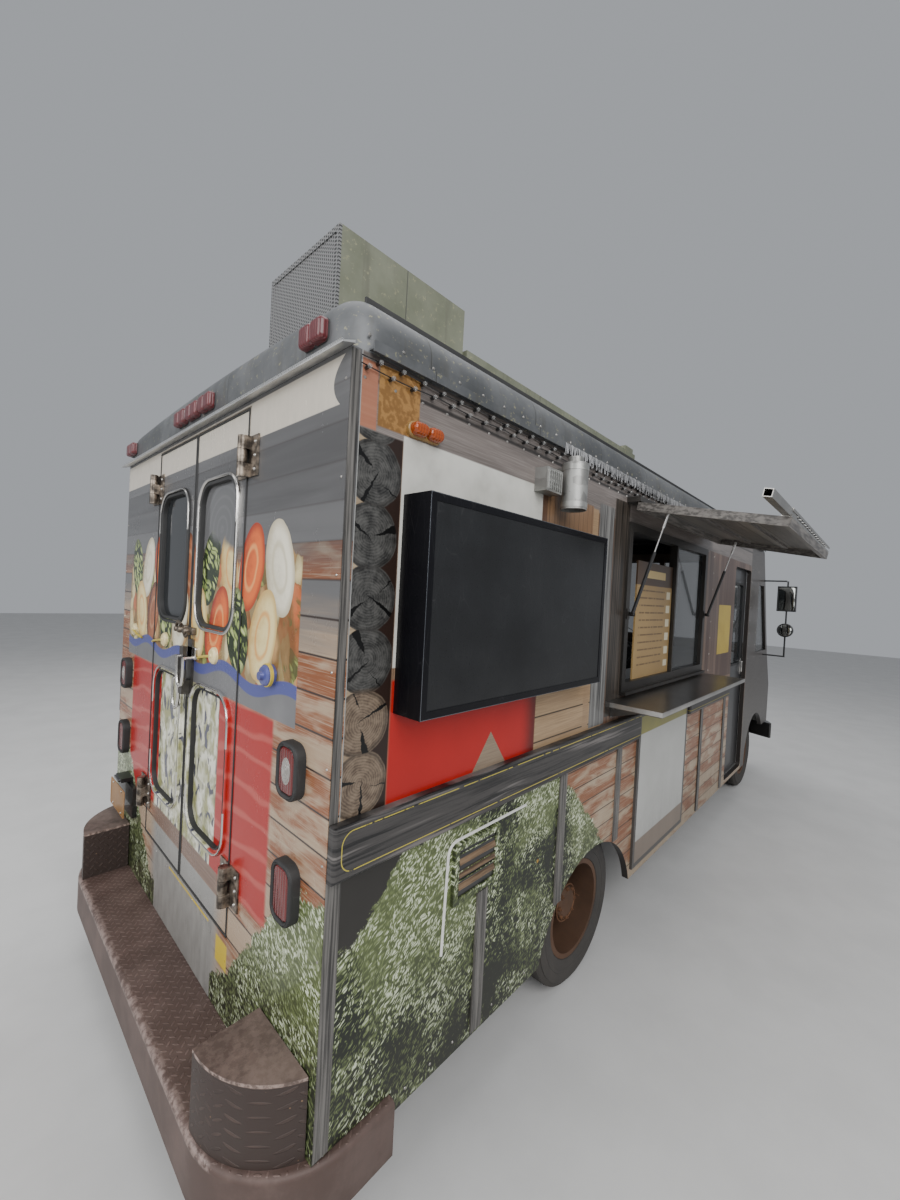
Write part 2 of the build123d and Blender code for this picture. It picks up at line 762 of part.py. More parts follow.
def rear_axle_solids():
    """The rear axle housing with its differential and spindles, and its springs."""
    housing = rod_y(rear_axle_x, axle_height, 52, -600, 600)
    housing += rod_y(rear_axle_x, axle_height, spindle_radius, -rear_outer_face + 80, rear_outer_face - 80)
    housing += Pos(rear_axle_x, 0, axle_height) * Sphere(150)
    housing += rod_x(0, axle_height, 62, rear_axle_x, rear_axle_x + 230)
    for side in (-1, 1):
        near, far = sorted((side * (spring_half - 30), side * (spring_half + 30)))
        housing += block(rear_axle_x - 60, rear_axle_x + 60, near, far, axle_height, axle_height + 62 - fit)
    return [housing] + spring_pair(rear_axle_x, 640)


def knuckle_solid(side):
    """A steering knuckle: yoke, kingpin and wheel spindle."""
    y = side * kingpin_y
    plate_near, plate_far = sorted((side * (kingpin_y + 40), side * (kingpin_y + 62)))
    solid = block(front_axle_x - 45, front_axle_x + 45, plate_near, plate_far, axle_height - 78, axle_height + 78)
    lug_near, lug_far = sorted((y, side * (kingpin_y + 50)))
    for low in (axle_height - 78, axle_height + 48):
        solid += block(front_axle_x - 32, front_axle_x + 32, lug_near, lug_far, low, low + 30)
        solid += rod_z(front_axle_x, y, 32, low, low + 30)
    solid += rod_z(front_axle_x, y, kingpin_radius, axle_height - 78, axle_height + 78)
    near, far = sorted((side * (kingpin_y + 50), side * (front_outer_face - 30)))
    return solid + rod_y(front_axle_x, axle_height, spindle_radius, near, far)


def chassis_solids():
    """The ladder frame: two channel rails, the members between them and the outriggers beside them."""
    under_deck = floor_top - floor_depth - fit
    rail_top = rail_bottom + rail_height
    rail_in, rail_out = rail_half - rail_width / 2, rail_half + rail_width / 2
    rail = block(60, nose_x - 60, -rail_out, -rail_in, rail_bottom, rail_top)
    rail -= block(59, nose_x - 59, -rail_out + rail_sheet, -rail_in + 1, rail_bottom + rail_sheet, rail_top - rail_sheet)
    solids = both(rail)
    half_member = rail_out - rail_sheet - fit
    for x in cross_members:
        solids.append(block(x, x + cross_member_width, -half_member, half_member, rail_bottom + rail_sheet + fit,
                            rail_top - rail_sheet - fit))
    for x in outriggers:
        solids += both(block(x, x + outrigger_width, -inner_half + 60, -rail_out - fit, rail_top - 60, under_deck))
    return solids


# Hatch, rail and struts
def on_hatch(shape):
    """A shape drawn on the level hatch, turned to where the hatch stands open."""
    return Pos(0, -half_width - hatch_standoff, hinge_height) * Rot(hatch_tilt, 0, 0) * shape


def hatch_solid():
    """The hatch: a folded sheet tray, open below, with two stiffeners and strut brackets."""
    x0, x1 = hatch_x, hatch_x + hatch_length
    tray = block(x0, x1, -hatch_reach, 0, -hatch_depth, 0)
    inner_x0, inner_x1 = x0 + hatch_rim, x1 - hatch_rim
    tray -= block(inner_x0, inner_x1, -hatch_reach + hatch_rim, -hatch_rim, -hatch_depth - 1, -hatch_skin)
    rear_strut, front_strut = strut_places()
    for y in (-hatch_reach / 3, -2 * hatch_reach / 3):
        tray += block(rear_strut + 28, front_strut - 28, y - 20, y + 20, -20, -hatch_skin)
    for x in strut_places():
        tray += block(x + strut_eye_radius + 2, x + strut_eye_radius + 8, -strut_head_along - 22,
                      -strut_head_along + 22, -strut_head_under - 8, -hatch_skin)
    third = hatch_hinge_length / 3
    for x in hatch_hinge_places():
        for low in (x, x + 2 * third):
            tray -= rod_x(0, 0, hatch_knuckle_radius + 0.5, low, low + third)
        tray += rod_x(0, 0, hatch_knuckle_radius, x + third + 0.5, x + 2 * third - 0.5)
        tray -= rod_x(0, 0, hatch_pin_radius + 0.5, x, x + hatch_hinge_length)
    return on_hatch(tray)


def hatch_hinge_places():
    """Where the hatch's three hinges start along the vehicle."""
    return (hatch_x + 120, hatch_x + (hatch_length - hatch_hinge_length) / 2, hatch_x + hatch_length - 270)


def strut_places():
    """Where the two gas struts stand along the vehicle."""
    return (serving_x + strut_inset, serving_x + serving_length - strut_inset)


def rail_solids():
    """The slotted channel on the hatch's outer edge, and the square tube that lengthens it."""
    x0, x1 = hatch_x, hatch_x + hatch_length
    y1 = -hatch_reach + rail_size + 2
    channel = block(x0, x1, y1 - rail_size, y1, fit, rail_size + fit)
    channel -= block(x0 - 1, x1 + 1, y1 - rail_size + rail_wall, y1 - rail_wall, fit + rail_wall,
                     rail_size + fit - rail_wall)
    channel -= block(x0 - 1, x1 + 1, y1 - rail_size - 1, y1 - rail_size / 2, fit + rail_size / 2 - 8,
                     fit + rail_size / 2 + 8)
    count = int(hatch_length // rail_slot_pitch)
    for index in range(count):
        x = x0 + rail_slot_pitch * (index + 0.5)
        channel -= block(x - 25, x + 25, y1 - rail_size / 2 - 7, y1 - rail_size / 2 + 7, rail_size - rail_wall - 1,
                         rail_size + fit + 1)
    middle_y, middle_z = y1 - rail_size / 2, fit + rail_size / 2
    half = extension_size / 2
    tube = block(extension_end_x, x0 + 160, middle_y - half, middle_y + half, middle_z - half, middle_z + half)
    tube -= block(extension_end_x - 1, x0 + 161, middle_y - half + 3, middle_y + half - 3, middle_z - half + 3,
                  middle_z + half - 3)
    return [on_hatch(channel), on_hatch(tube)]


def hatch_point(along_hatch, under):
    """A point on the open hatch as (y, z), from its distance out and below the skin."""
    turn = math.radians(hatch_tilt)
    y = -half_width - hatch_standoff - along_hatch * math.cos(turn) + under * math.sin(turn)
    z = hinge_height - along_hatch * math.sin(turn) - under * math.cos(turn)
    return y, z


strut_foot = (-half_width - strut_foot_out, strut_foot_z)
strut_head = hatch_point(strut_head_along, strut_head_under)
strut_length = math.dist(strut_foot, strut_head)
strut_lean = math.degrees(math.atan2(strut_foot[0] - strut_head[0], strut_head[1] - strut_foot[1]))


def on_strut(shape, x):
    """A shape drawn on an upright strut, leaned to where the strut stands."""
    return Pos(x, strut_foot[0], strut_foot[1]) * Rot(strut_lean, 0, 0) * shape


def strut_barrel(x):
    """A gas strut's barrel with its foot eye."""
    top = strut_length * strut_barrel_share
    eye = rod_x(0, 0, strut_eye_radius, -6, 6)
    barrel = rod_z(0, 0, strut_barrel_radius, strut_eye_radius - 2, top)
    barrel -= rod_z(0, 0, strut_rod_radius + 0.5, strut_eye_radius + 12, top + 1)
    barrel += eye
    barrel -= rod_x(0, 0, strut_pin_radius + 0.4, -7, 7)
    return on_strut(barrel, x)


def strut_rod(x):
    """A gas strut's rod with its head eye."""
    low = strut_length * strut_barrel_share - 60
    rod = rod_z(0, 0, strut_rod_radius, low, strut_length - strut_eye_radius + 2)
    rod += Pos(0, 0, strut_length) * rod_x(0, 0, strut_eye_radius, -6, 6)
    rod += rod_z(0, 0, strut_rod_radius + 4, strut_length - 90, strut_length - strut_eye_radius)
    return on_strut(rod, x)


def strut_foot_brackets():
    """The wall brackets that carry the struts' feet."""
    brackets = []
    for x in strut_places():
        plate = block(x - 16, x + 16, -half_width - 20, -half_width - 14 - fit, strut_foot_z - 30, strut_foot_z + 30)
        ear = block(x + 11.5, x + 16, -half_width - strut_foot_out - 10, -half_width - 16, strut_foot_z - 12,
                    strut_foot_z + 12)
        pin = Pos(x, strut_foot[0], strut_foot_z) * rod_x(0, 0, strut_pin_radius, -7, 14)
        brackets.append(plate + ear + pin)
    return brackets


# Fittings on the serving side
def hatch_header():
    """The header rail on the wall, with the fixed knuckles and pins that the hatch turns on."""
    pin_y = -half_width - hatch_standoff
    header = block(hatch_x, hatch_x + hatch_length, pin_y - 12, -half_width, hinge_height + 5, hinge_height + 33)
    third = hatch_hinge_length / 3
    for x in hatch_hinge_places():
        header += rod_x(pin_y, hinge_height, hatch_pin_radius, x, x + hatch_hinge_length)
        for low in (x, x + 2 * third + 0.5):
            end = low + third - 0.5
            header += rod_x(pin_y, hinge_height, hatch_knuckle_radius, low, end)
            header += block(low, end, pin_y - 3, pin_y + 3, hinge_height, hinge_height + 6)
    return header


def shelf_solid():
    """The serving shelf: a folded sheet on three brackets."""
    y0 = -half_width - shelf_reach
    x1 = shelf_x + shelf_length
    top = block(shelf_x, x1, y0, -half_width, shelf_top - shelf_lip, shelf_top)
    top -= block(shelf_x + shelf_sheet, x1 - shelf_sheet, y0 + shelf_sheet, -half_width - shelf_sheet,
                 shelf_top - shelf_lip - 1, shelf_top - shelf_sheet)
    for x in (shelf_x + 95, shelf_x + shelf_length / 2, x1 - 95):
        web = outline((-half_width, shelf_top - shelf_lip - 72), (-half_width, shelf_top - shelf_sheet),
                      (-half_width - 210, shelf_top - shelf_sheet), (-half_width - 200, shelf_top - shelf_lip - 8))
        top += along(web, x - 3, x + 3)
        top += block(x - 22, x + 22, -half_width - 5, -half_width, shelf_top - shelf_lip - 72, shelf_top - shelf_sheet)
    return top


def screen_solids():
    """The outdoor screen: a sealed cabinet and its glass."""
    y0 = -half_width - screen_depth
    x1, z1 = screen_x + screen_length, screen_bottom + screen_height
    cabinet = block(screen_x, x1, y0, -half_width, screen_bottom, z1)
    cabinet -= block(screen_x + screen_bezel, x1 - screen_bezel, y0 - 1, y0 + 6, screen_bottom + screen_bezel,
                     z1 - screen_bezel)
    glass = block(screen_x + screen_bezel + fit, x1 - screen_bezel - fit, y0 + 2, y0 + 6,
                  screen_bottom + screen_bezel + fit, z1 - screen_bezel - fit)
    return cabinet, glass


def wall_fittings():
    """The round lamp, the louvred box beside it and the louvred hatch below the rub rail."""
    x, z = 1148, 2545
    can = rod_z(x, -half_width - 78, 58, z, z + 205) - rod_z(x, -half_width - 78, 53, z - 1, z + 160)
    can += rod_z(x, -half_width - 78, 34, z + 204, z + 235)
    can += block(x - 30, x + 30, -half_width - 30, -half_width, z + 90, z + 190)
    lamp_box = block(945, 1070, -half_width - 62, -half_width, 2600, 2700)
    for index in range(4):
        low = 2610 + 22 * index
        lamp_box -= block(955, 1060, -half_width - 63, -half_width - 40, low, low + 10)
    louvre = block(545, 815, -half_width - 14, -half_width, 985, 1215)
    louvre -= block(570, 790, -half_width - 15, -half_width - 4, 1010, 1190)
    for index in range(5):
        low = 1022 + 34 * index
        louvre += Pos(680, -half_width - 7, low + 10) * Rot(35, 0, 0) * Box(222, 3, 20)
    return [can, lamp_box, louvre]


def board_solids():
    """The menu board in the serving window and the notice board below the shelf."""
    menu = block(serving_x + 185, serving_x + serving_split - 12, -half_width + 8, -half_width + 18,
                 serving_bottom + serving_frame + fit, serving_top - 190)
    notice = block(notice_x, notice_x + notice_length, -half_width - 16, -half_width, notice_bottom, notice_top)
    return [menu, notice]


# Roof boxes, lamps, mirrors and rear fittings
def roof_box_solids():
    """The condenser box with its grid of rear holes, the long duct and its caps."""
    base = roof_top - 4
    foot = wall_top + roof_rise
    cooler = block(cooler_x, cooler_x + cooler_length, cooler_right, cooler_left, base, cooler_top)
    cooler -= block(cooler_x - 1, cooler_x + 30, cooler_right + 22, cooler_left - 22, foot + 50, cooler_top - 22)
    mesh = block(cooler_x + 4, cooler_x + 8, cooler_right + 20, cooler_left - 20, foot + 48, cooler_top - 20)
    duct = block(duct_x, duct_x + duct_length, cooler_right, cooler_left, base, duct_top)
    cap = block(duct_x + duct_length - 160, duct_x + duct_length - 20, cooler_right + 10, cooler_right + 150,
                duct_top - 1, duct_top + 40)
    skin = roof_solid(0)
    return [cooler + mesh - skin, duct + cap - skin]


def lamp_solids():
    """Tail lamps, roof marker lamps and the amber side lamp."""
    lamps = []
    for y in (-975, 975):
        for z, height in tail_lamps:
            face = slab(y - 72, y + 72, z, z + height, 30)
            body = along(face, -24, 0)
            lamps.append(body)
    for y in marker_lamps:
        body = Pos(0, y, marker_z) * Sphere(38) & block(-60, -fit, y - 60, y + 60, marker_z - 55, marker_z + 65)
        lamps.append(body)
    face = slab(side_lamp_x, side_lamp_x + side_lamp_length, side_lamp_low, side_lamp_low + side_lamp_height, 20)
    side_lamp = across(face, -half_width - 42, -half_width)
    lamps.append(side_lamp)
    return lamps


def plate_bracket_solid():
    """The number plate's bracket with its lamp, on the left rear corner."""
    left, right = plate_middle - 155, plate_middle + 155
    plate = block(-plate_standoff, 0, left, right, plate_low, plate_low + 165)
    plate -= block(8 - plate_standoff, 1, left + 8, right - 8, plate_low + 8, plate_low + 157)
    plate += block(-10, 0, plate_middle - 60, plate_middle + 60, plate_low + 160, plate_low + 200)
    plate += block(-60, -5, plate_middle - 60, plate_middle + 60, plate_low + 178, plate_low + 200)
    for y in (plate_middle - plate_bolt_span / 2, plate_middle + plate_bolt_span / 2):
        for z in (plate_low + 20, plate_low + 20 + plate_bolt_rise):
            plate -= rod_x(y, z, plate_hole_radius, -plate_standoff - 1, 9 - plate_standoff)
    return plate


def mirror_solids():
    """A flat and a round mirror on a tube arm at each front corner."""
    solids = []
    for side in (-1, 1):
        out = side * (half_width + mirror_reach)
        low, high = mirror_low - mirror_tube, mirror_high + mirror_tube
        span = sorted((side * half_width, out + side * mirror_tube))
        arm = rod_y(mirror_x, mirror_low, mirror_tube, *span)
        arm += rod_z(mirror_x, out, mirror_tube, low, high)
        arm += rod_x(out, mirror_high, mirror_tube, mirror_stay_x - mirror_tube, mirror_x + mirror_tube)
        arm += rod_y(mirror_stay_x, mirror_high, mirror_tube, *span)
        flat = Pos(flat_mirror_x, out, flat_mirror_z) * Rot(0, 0, side * flat_mirror_turn) * Box(*flat_mirror)
        round_glass = Cylinder(round_mirror_radius, round_mirror_depth)
        round_glass = Pos(round_mirror_x, out, round_mirror_z) * Rot(0, 90, 0) * round_glass
        solids.append(arm + flat + round_glass)
    return solids


def seat_solid():
    """The driver's seat on its pedestal."""
    cushion = block(seat_x - 240, seat_x + 240, seat_y - 235, seat_y + 235, seat_low, seat_low + seat_depth)
    back = Pos(seat_x - 215, seat_y, seat_low + 400) * Rot(0, -8, 0) * Box(seat_depth, 450, 620)
    pedestal = block(seat_x - 150, seat_x + 150, seat_y - 130, seat_y + 130, floor_top + fit, seat_low + 5)
    return cushion + back + pedestal


def dash_solids():
    """The dashboard, and the steering wheel on its column."""
    front = windshield_x(dash_top, dash_glass_gap)
    profile = outline((dash_rear_x, dash_bottom), (dash_rear_x + 20, dash_brow_z), (front, dash_top),
                      (front, dash_bottom))
    dash = across(profile, -inner_half + fit, inner_half - fit)
    wheel = Pos(steering_wheel_x, seat_y, steering_wheel_z) * Rot(0, steering_wheel_tilt, 0)
    column = wheel * Pos(0, 0, -210) * Cylinder(28, 440)
    ring = wheel * Torus(wheel_rim_radius, 15)
    hub_disc = wheel * Cylinder(60, 30)
    spoke = wheel * Box(30, 2 * wheel_rim_radius, 14)
    return dash + column + ring + hub_disc + spoke


def kitchen_solids():
    """Counters along both sides and the hood over the cooking side."""
    low, high = floor_top + fit, 1560
    back = inner_half - fit
    left = block(620, counter_end, counter_front, back, low + 140, high)
    left += block(620, counter_end, counter_front + 40, back, low, low + 140)
    right = block(620, counter_end - 80, -back, -counter_front, low + 140, high)
    right += block(620, counter_end - 80, -back, -counter_front - 40, low, low + 140)
    hood = across(slab(900, 3200, 2230, 2700), 430, back)
    hood -= across(slab(930, 3170, 2229, 2660), 470, back - 40)
    boxes = wheel_box_cuts()
    return [left - boxes, right - boxes, hood]


def wheel_box_cuts():
    """Room for the rear wheel boxes in the counters."""
    x, reach, inner, top = wheel_boxes[0]
    gap = 5
    cut = block(x - reach - gap, x + reach + gap, inner - gap, half_width, floor_top - 1, top + gap)
    return cut + mirrored(cut)


def underbody_solids():
    """Fuel tank, exhaust with its hangers, and propeller shaft."""
    under = rail_bottom + rail_height - 60 - fit
    tank = block(3050, 3950, 500, 900, 420, under)
    pipe = rod_x(-560, 480, 30, 2600, 4700) + rod_x(-560, 480, 85, 3150, 3850)
    for x in (3430, 4380):
        pipe += block(x - 15, x + 15, -575, -545, 490, under)
    shaft = rod_x(0, axle_height + 40, 42, rear_axle_x + 230 + fit, engine_x - fit)
    return [fillet(tank.edges().filter_by(Axis.X), 60), pipe, shaft]


def engine_solid():
    """The engine as one plain block, on arms that rest on the chassis rails."""
    arm_low = rail_bottom + rail_sheet + fit
    arm_x = engine_x + 180
    arms = block(arm_x, arm_x + 80, -rail_half - 10, rail_half + 10, arm_low, arm_low + 45)
    return block(engine_x, engine_x + engine_length, -engine_half, engine_half, engine_low, engine_top) + arms


# Doors
def rear_door(side):
    """A rear door with two windows, its hinge halves and its handle; and its glass."""
    inner, outer = 3, door_half - door_gap + 2
    face = slab(inner, outer, door_bottom, door_top)
    glass = []
    for low, high in ((upper_window_bottom, upper_window_top), (lower_window_bottom, lower_window_top)):
        near = door_window_y - 10
        hole = slab(near, near + door_window_width, low, high, door_window_radius)
        face -= hole
        pane = slab(near + fit, near + door_window_width - fit, low + fit, high - fit, door_window_radius - fit)
        glass.append(along(pane, 14, 20))
    solid = along(face, 0, wall)
    for height in hinge_heights:
        solid += hinge_door_part(1, height)
    if side < 0:
        solid += block(-46, 0, 20, 66, 1640, 1700) + block(-46, -30, 20, 66, 1700, 1850)
        solid += block(-12, 0, 14, 72, 1620, 1880)
    placed = solid if side > 0 else mirrored(solid)
    panes = glass if side > 0 else [mirrored(pane) for pane in glass]
    return placed, panes


def cab_door():
    """The sliding cab door on the right and its glass."""
    x0, x1 = cab_opening_x - cab_door_lap, cab_opening_x + cab_opening_width + cab_door_lap
    y1 = -inner_half + cab_door_gap + cab_door_thickness
    face = slab(x0, x1, cab_step_z + 10, cab_opening_top + cab_door_lap)
    window = slab(x0 + cab_door_glass_margin, x1 - cab_door_glass_margin, cab_door_glass_bottom, cab_door_glass_top, 50)
    pane = slab(x0 + cab_door_glass_margin + fit, x1 - cab_door_glass_margin - fit, cab_door_glass_bottom + fit,
                cab_door_glass_top - fit, 50 - fit)
    door = across(face - window, y1 - cab_door_thickness, y1)
    door += block(x1 - 90, x1 - 70, y1 - 1, y1 + 26, 1280, 1420)
    for x in (x0 + 80, x1 - 140):
        door += block(x, x + 60, y1 - cab_door_thickness + track_wall / 2, y1 - track_wall / 2,
                      cab_opening_top + cab_door_lap - 1, track_low + track_height - track_wall - 0.5)
    glass = across(pane, y1 - 18, y1 - 12)
    return door, glass


def cab_door_track():
    """The channel above the right cab door that the door hangs in."""
    x0 = cab_opening_x - cab_door_lap - cab_door_slide
    x1 = cab_opening_x + cab_opening_width + cab_door_lap
    outer, inner = -inner_half + cab_door_gap, -inner_half + cab_door_gap + cab_door_thickness
    track = block(x0, x1, -inner_half + fit, inner + track_wall, track_low, track_low + track_height)
    slot = block(x0 - 1, x1 + 1, outer + track_wall / 2 - 0.5, inner - track_wall / 2 + 0.5, track_low - 1,
                 track_low + track_height - track_wall)
    return track - slot


# All nodes, by name
nodes = {}


def add(name, *solids):
    """Keeps the solids of one node."""
    flat = [solid for shape in solids for solid in shape.solids()]
    nodes[name] = flat


roof = roof_solid(0) - roof_solid(wall)
front_gutter = drip_rail()
add("chassis_frame", *chassis_solids())
add("front_axle", *front_axle_solids())
add("rear_axle", *rear_axle_solids())
add("engine_block", engine_solid())
add("engine_cover", block(engine_cover_x, engine_cover_x + engine_cover_length, -engine_cover_half,
                          engine_cover_half, floor_top + fit, engine_cover_top))
add("underbody_fittings", *underbody_solids())
add("floor_pan", *floor_solids())
add("side_panel_right", *side_sheets(True))
add("side_panel_left", *[mirrored(sheet) for sheet in side_sheets(False)])
add("rear_wall", rear_wall_solid())
add("roof_shell", roof + front_gutter + mirrored(front_gutter))
add("front_cowl", cowl_solid())
add("fixed_glass", *glass_solids())
add("front_grille", grille_solid())
add("headlamps", *headlamp_solids())
add("front_bumper", front_bumper_solid())
add("rear_step", rear_step_solid())
add("side_mouldings", *moulding_solids())
add("screen_cabinet", screen_solids()[0])
add("screen_glass", screen_solids()[1])
add("serving_shelf", shelf_solid())
add("serving_frame", serving_frame_solid())
add("hatch_header", hatch_header(), *strut_foot_brackets())
add("boards", *board_solids())
add("roof_boxes", *roof_box_solids())
add("body_lamps", *lamp_solids())
add("plate_bracket", plate_bracket_solid())
add("door_mirrors", *mirror_solids())
add("driver_seat", seat_solid())
add("dashboard", dash_solids())
add("cab_door_tracks", *both(cab_door_track()))
add("wall_fittings", *wall_fittings())
add("kitchen_fittings", *kitchen_solids())
for side, hand in ((-1, "right"), (1, "left")):
    ring, rim = front_wheel(side)
    tyres, rims = rear_wheels(side)
    add(f"front_tyre_{hand}", ring)
    add(f"front_rim_{hand}", rim)
    add(f"rear_tyres_{hand}", *tyres)
    add(f"rear_rims_{hand}", rims)
    add(f"knuckle_{hand}", knuckle_solid(side))
    panel, panes = rear_door(side)
    add(f"rear_door_{hand}", panel)
    add(f"rear_door_glass_{hand}", *panes)
    door, pane = cab_door()
    add(f"cab_door_{hand}", door if side < 0 else mirrored(door))
    add(f"cab_door_glass_{hand}", pane if side < 0 else mirrored(pane))
add("serving_hatch", hatch_solid())
add("hatch_rail", *rail_solids())
add("strut_barrels", *[strut_barrel(x) for x in strut_places()])
add("strut_rods", *[strut_rod(x) for x in strut_places()])

# Origin under the middle of the whole vehicle
whole = Compound([solid for solids in nodes.values() for solid in solids]).bounding_box()
centre = Pos(-(whole.min.X + whole.max.X) / 2, -(whole.min.Y + whole.max.Y) / 2, 0)
for name, solids in nodes.items():
    export_step(centre * Compound(solids), f"parts/{name}.step")
print("offset", round((whole.min.X + whole.max.X) / 2, 3), round((whole.min.Y + whole.max.Y) / 2, 3), round(whole.min.Z, 3))
print("nodes", len(nodes), "strut length", round(strut_length, 2), "lean", round(strut_lean, 3))
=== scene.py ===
"""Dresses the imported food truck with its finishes, trim, wheels, lamps and lights, and sets up the camera."""
import json
import logging
import math
from collections.abc import Callable, Sequence
from dataclasses import dataclass
from enum import Enum
from typing import NamedTuple

import bmesh
import bpy
from mathutils import Matrix, Vector

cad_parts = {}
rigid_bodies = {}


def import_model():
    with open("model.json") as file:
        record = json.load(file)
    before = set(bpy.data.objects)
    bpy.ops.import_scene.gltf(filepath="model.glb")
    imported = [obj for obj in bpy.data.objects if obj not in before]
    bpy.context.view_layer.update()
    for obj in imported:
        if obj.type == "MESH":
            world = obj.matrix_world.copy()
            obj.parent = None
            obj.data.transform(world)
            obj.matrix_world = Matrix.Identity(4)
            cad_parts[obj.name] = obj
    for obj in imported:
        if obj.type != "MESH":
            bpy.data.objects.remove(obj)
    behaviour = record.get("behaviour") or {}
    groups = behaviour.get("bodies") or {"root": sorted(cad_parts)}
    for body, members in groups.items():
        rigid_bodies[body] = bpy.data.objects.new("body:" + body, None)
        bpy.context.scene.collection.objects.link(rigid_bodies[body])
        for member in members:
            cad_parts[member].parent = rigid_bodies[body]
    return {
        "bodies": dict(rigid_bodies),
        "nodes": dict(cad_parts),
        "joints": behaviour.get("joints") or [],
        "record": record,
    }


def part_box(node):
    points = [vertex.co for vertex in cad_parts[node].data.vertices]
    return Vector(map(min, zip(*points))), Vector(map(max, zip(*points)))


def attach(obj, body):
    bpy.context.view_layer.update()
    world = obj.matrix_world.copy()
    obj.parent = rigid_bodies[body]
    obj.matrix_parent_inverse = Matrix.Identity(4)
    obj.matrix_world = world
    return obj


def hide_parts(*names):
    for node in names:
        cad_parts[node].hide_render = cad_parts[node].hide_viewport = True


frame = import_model()

log = logging.getLogger("food_truck")
Colour = tuple[float, float, float]
Socket = bpy.types.NodeSocket
Object = bpy.types.Object
Test = Callable[[Vector, Vector], bool]

# Driving places, all worked out from the frame, in metres
rear_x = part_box("rear_door_glass_right")[0].x - 0.014
side_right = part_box("side_panel_right")[0].y
side_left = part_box("side_panel_left")[1].y
middle_y = (side_right + side_left) / 2


def at(x: float, y: float, z: float) -> Vector:
    """A place given from the rear face, the centreline and the ground.

    Args:
        x: forwards from the body's rear face.
        y: to the left of the centreline.
        z: above the ground.

    Returns:
        The place in the frame.
    """
    return Vector((rear_x + x, middle_y + y, z))


def scaled(colour: Colour, share: float) -> Colour:
    """A colour made darker or lighter."""
    return tuple(part * share for part in colour)


# Shader nodes
class Boards(NamedTuple):
    """What a run of boards gives a material: each board's tone, its grain and the gaps."""

    tone: Socket
    grain: Socket
    gap: Socket


class Weather(NamedTuple):
    """What wear gives a material: masks of dirt and scratches, and a slow cloud."""

    dirt: Socket
    scratch: Socket
    cloud: Socket


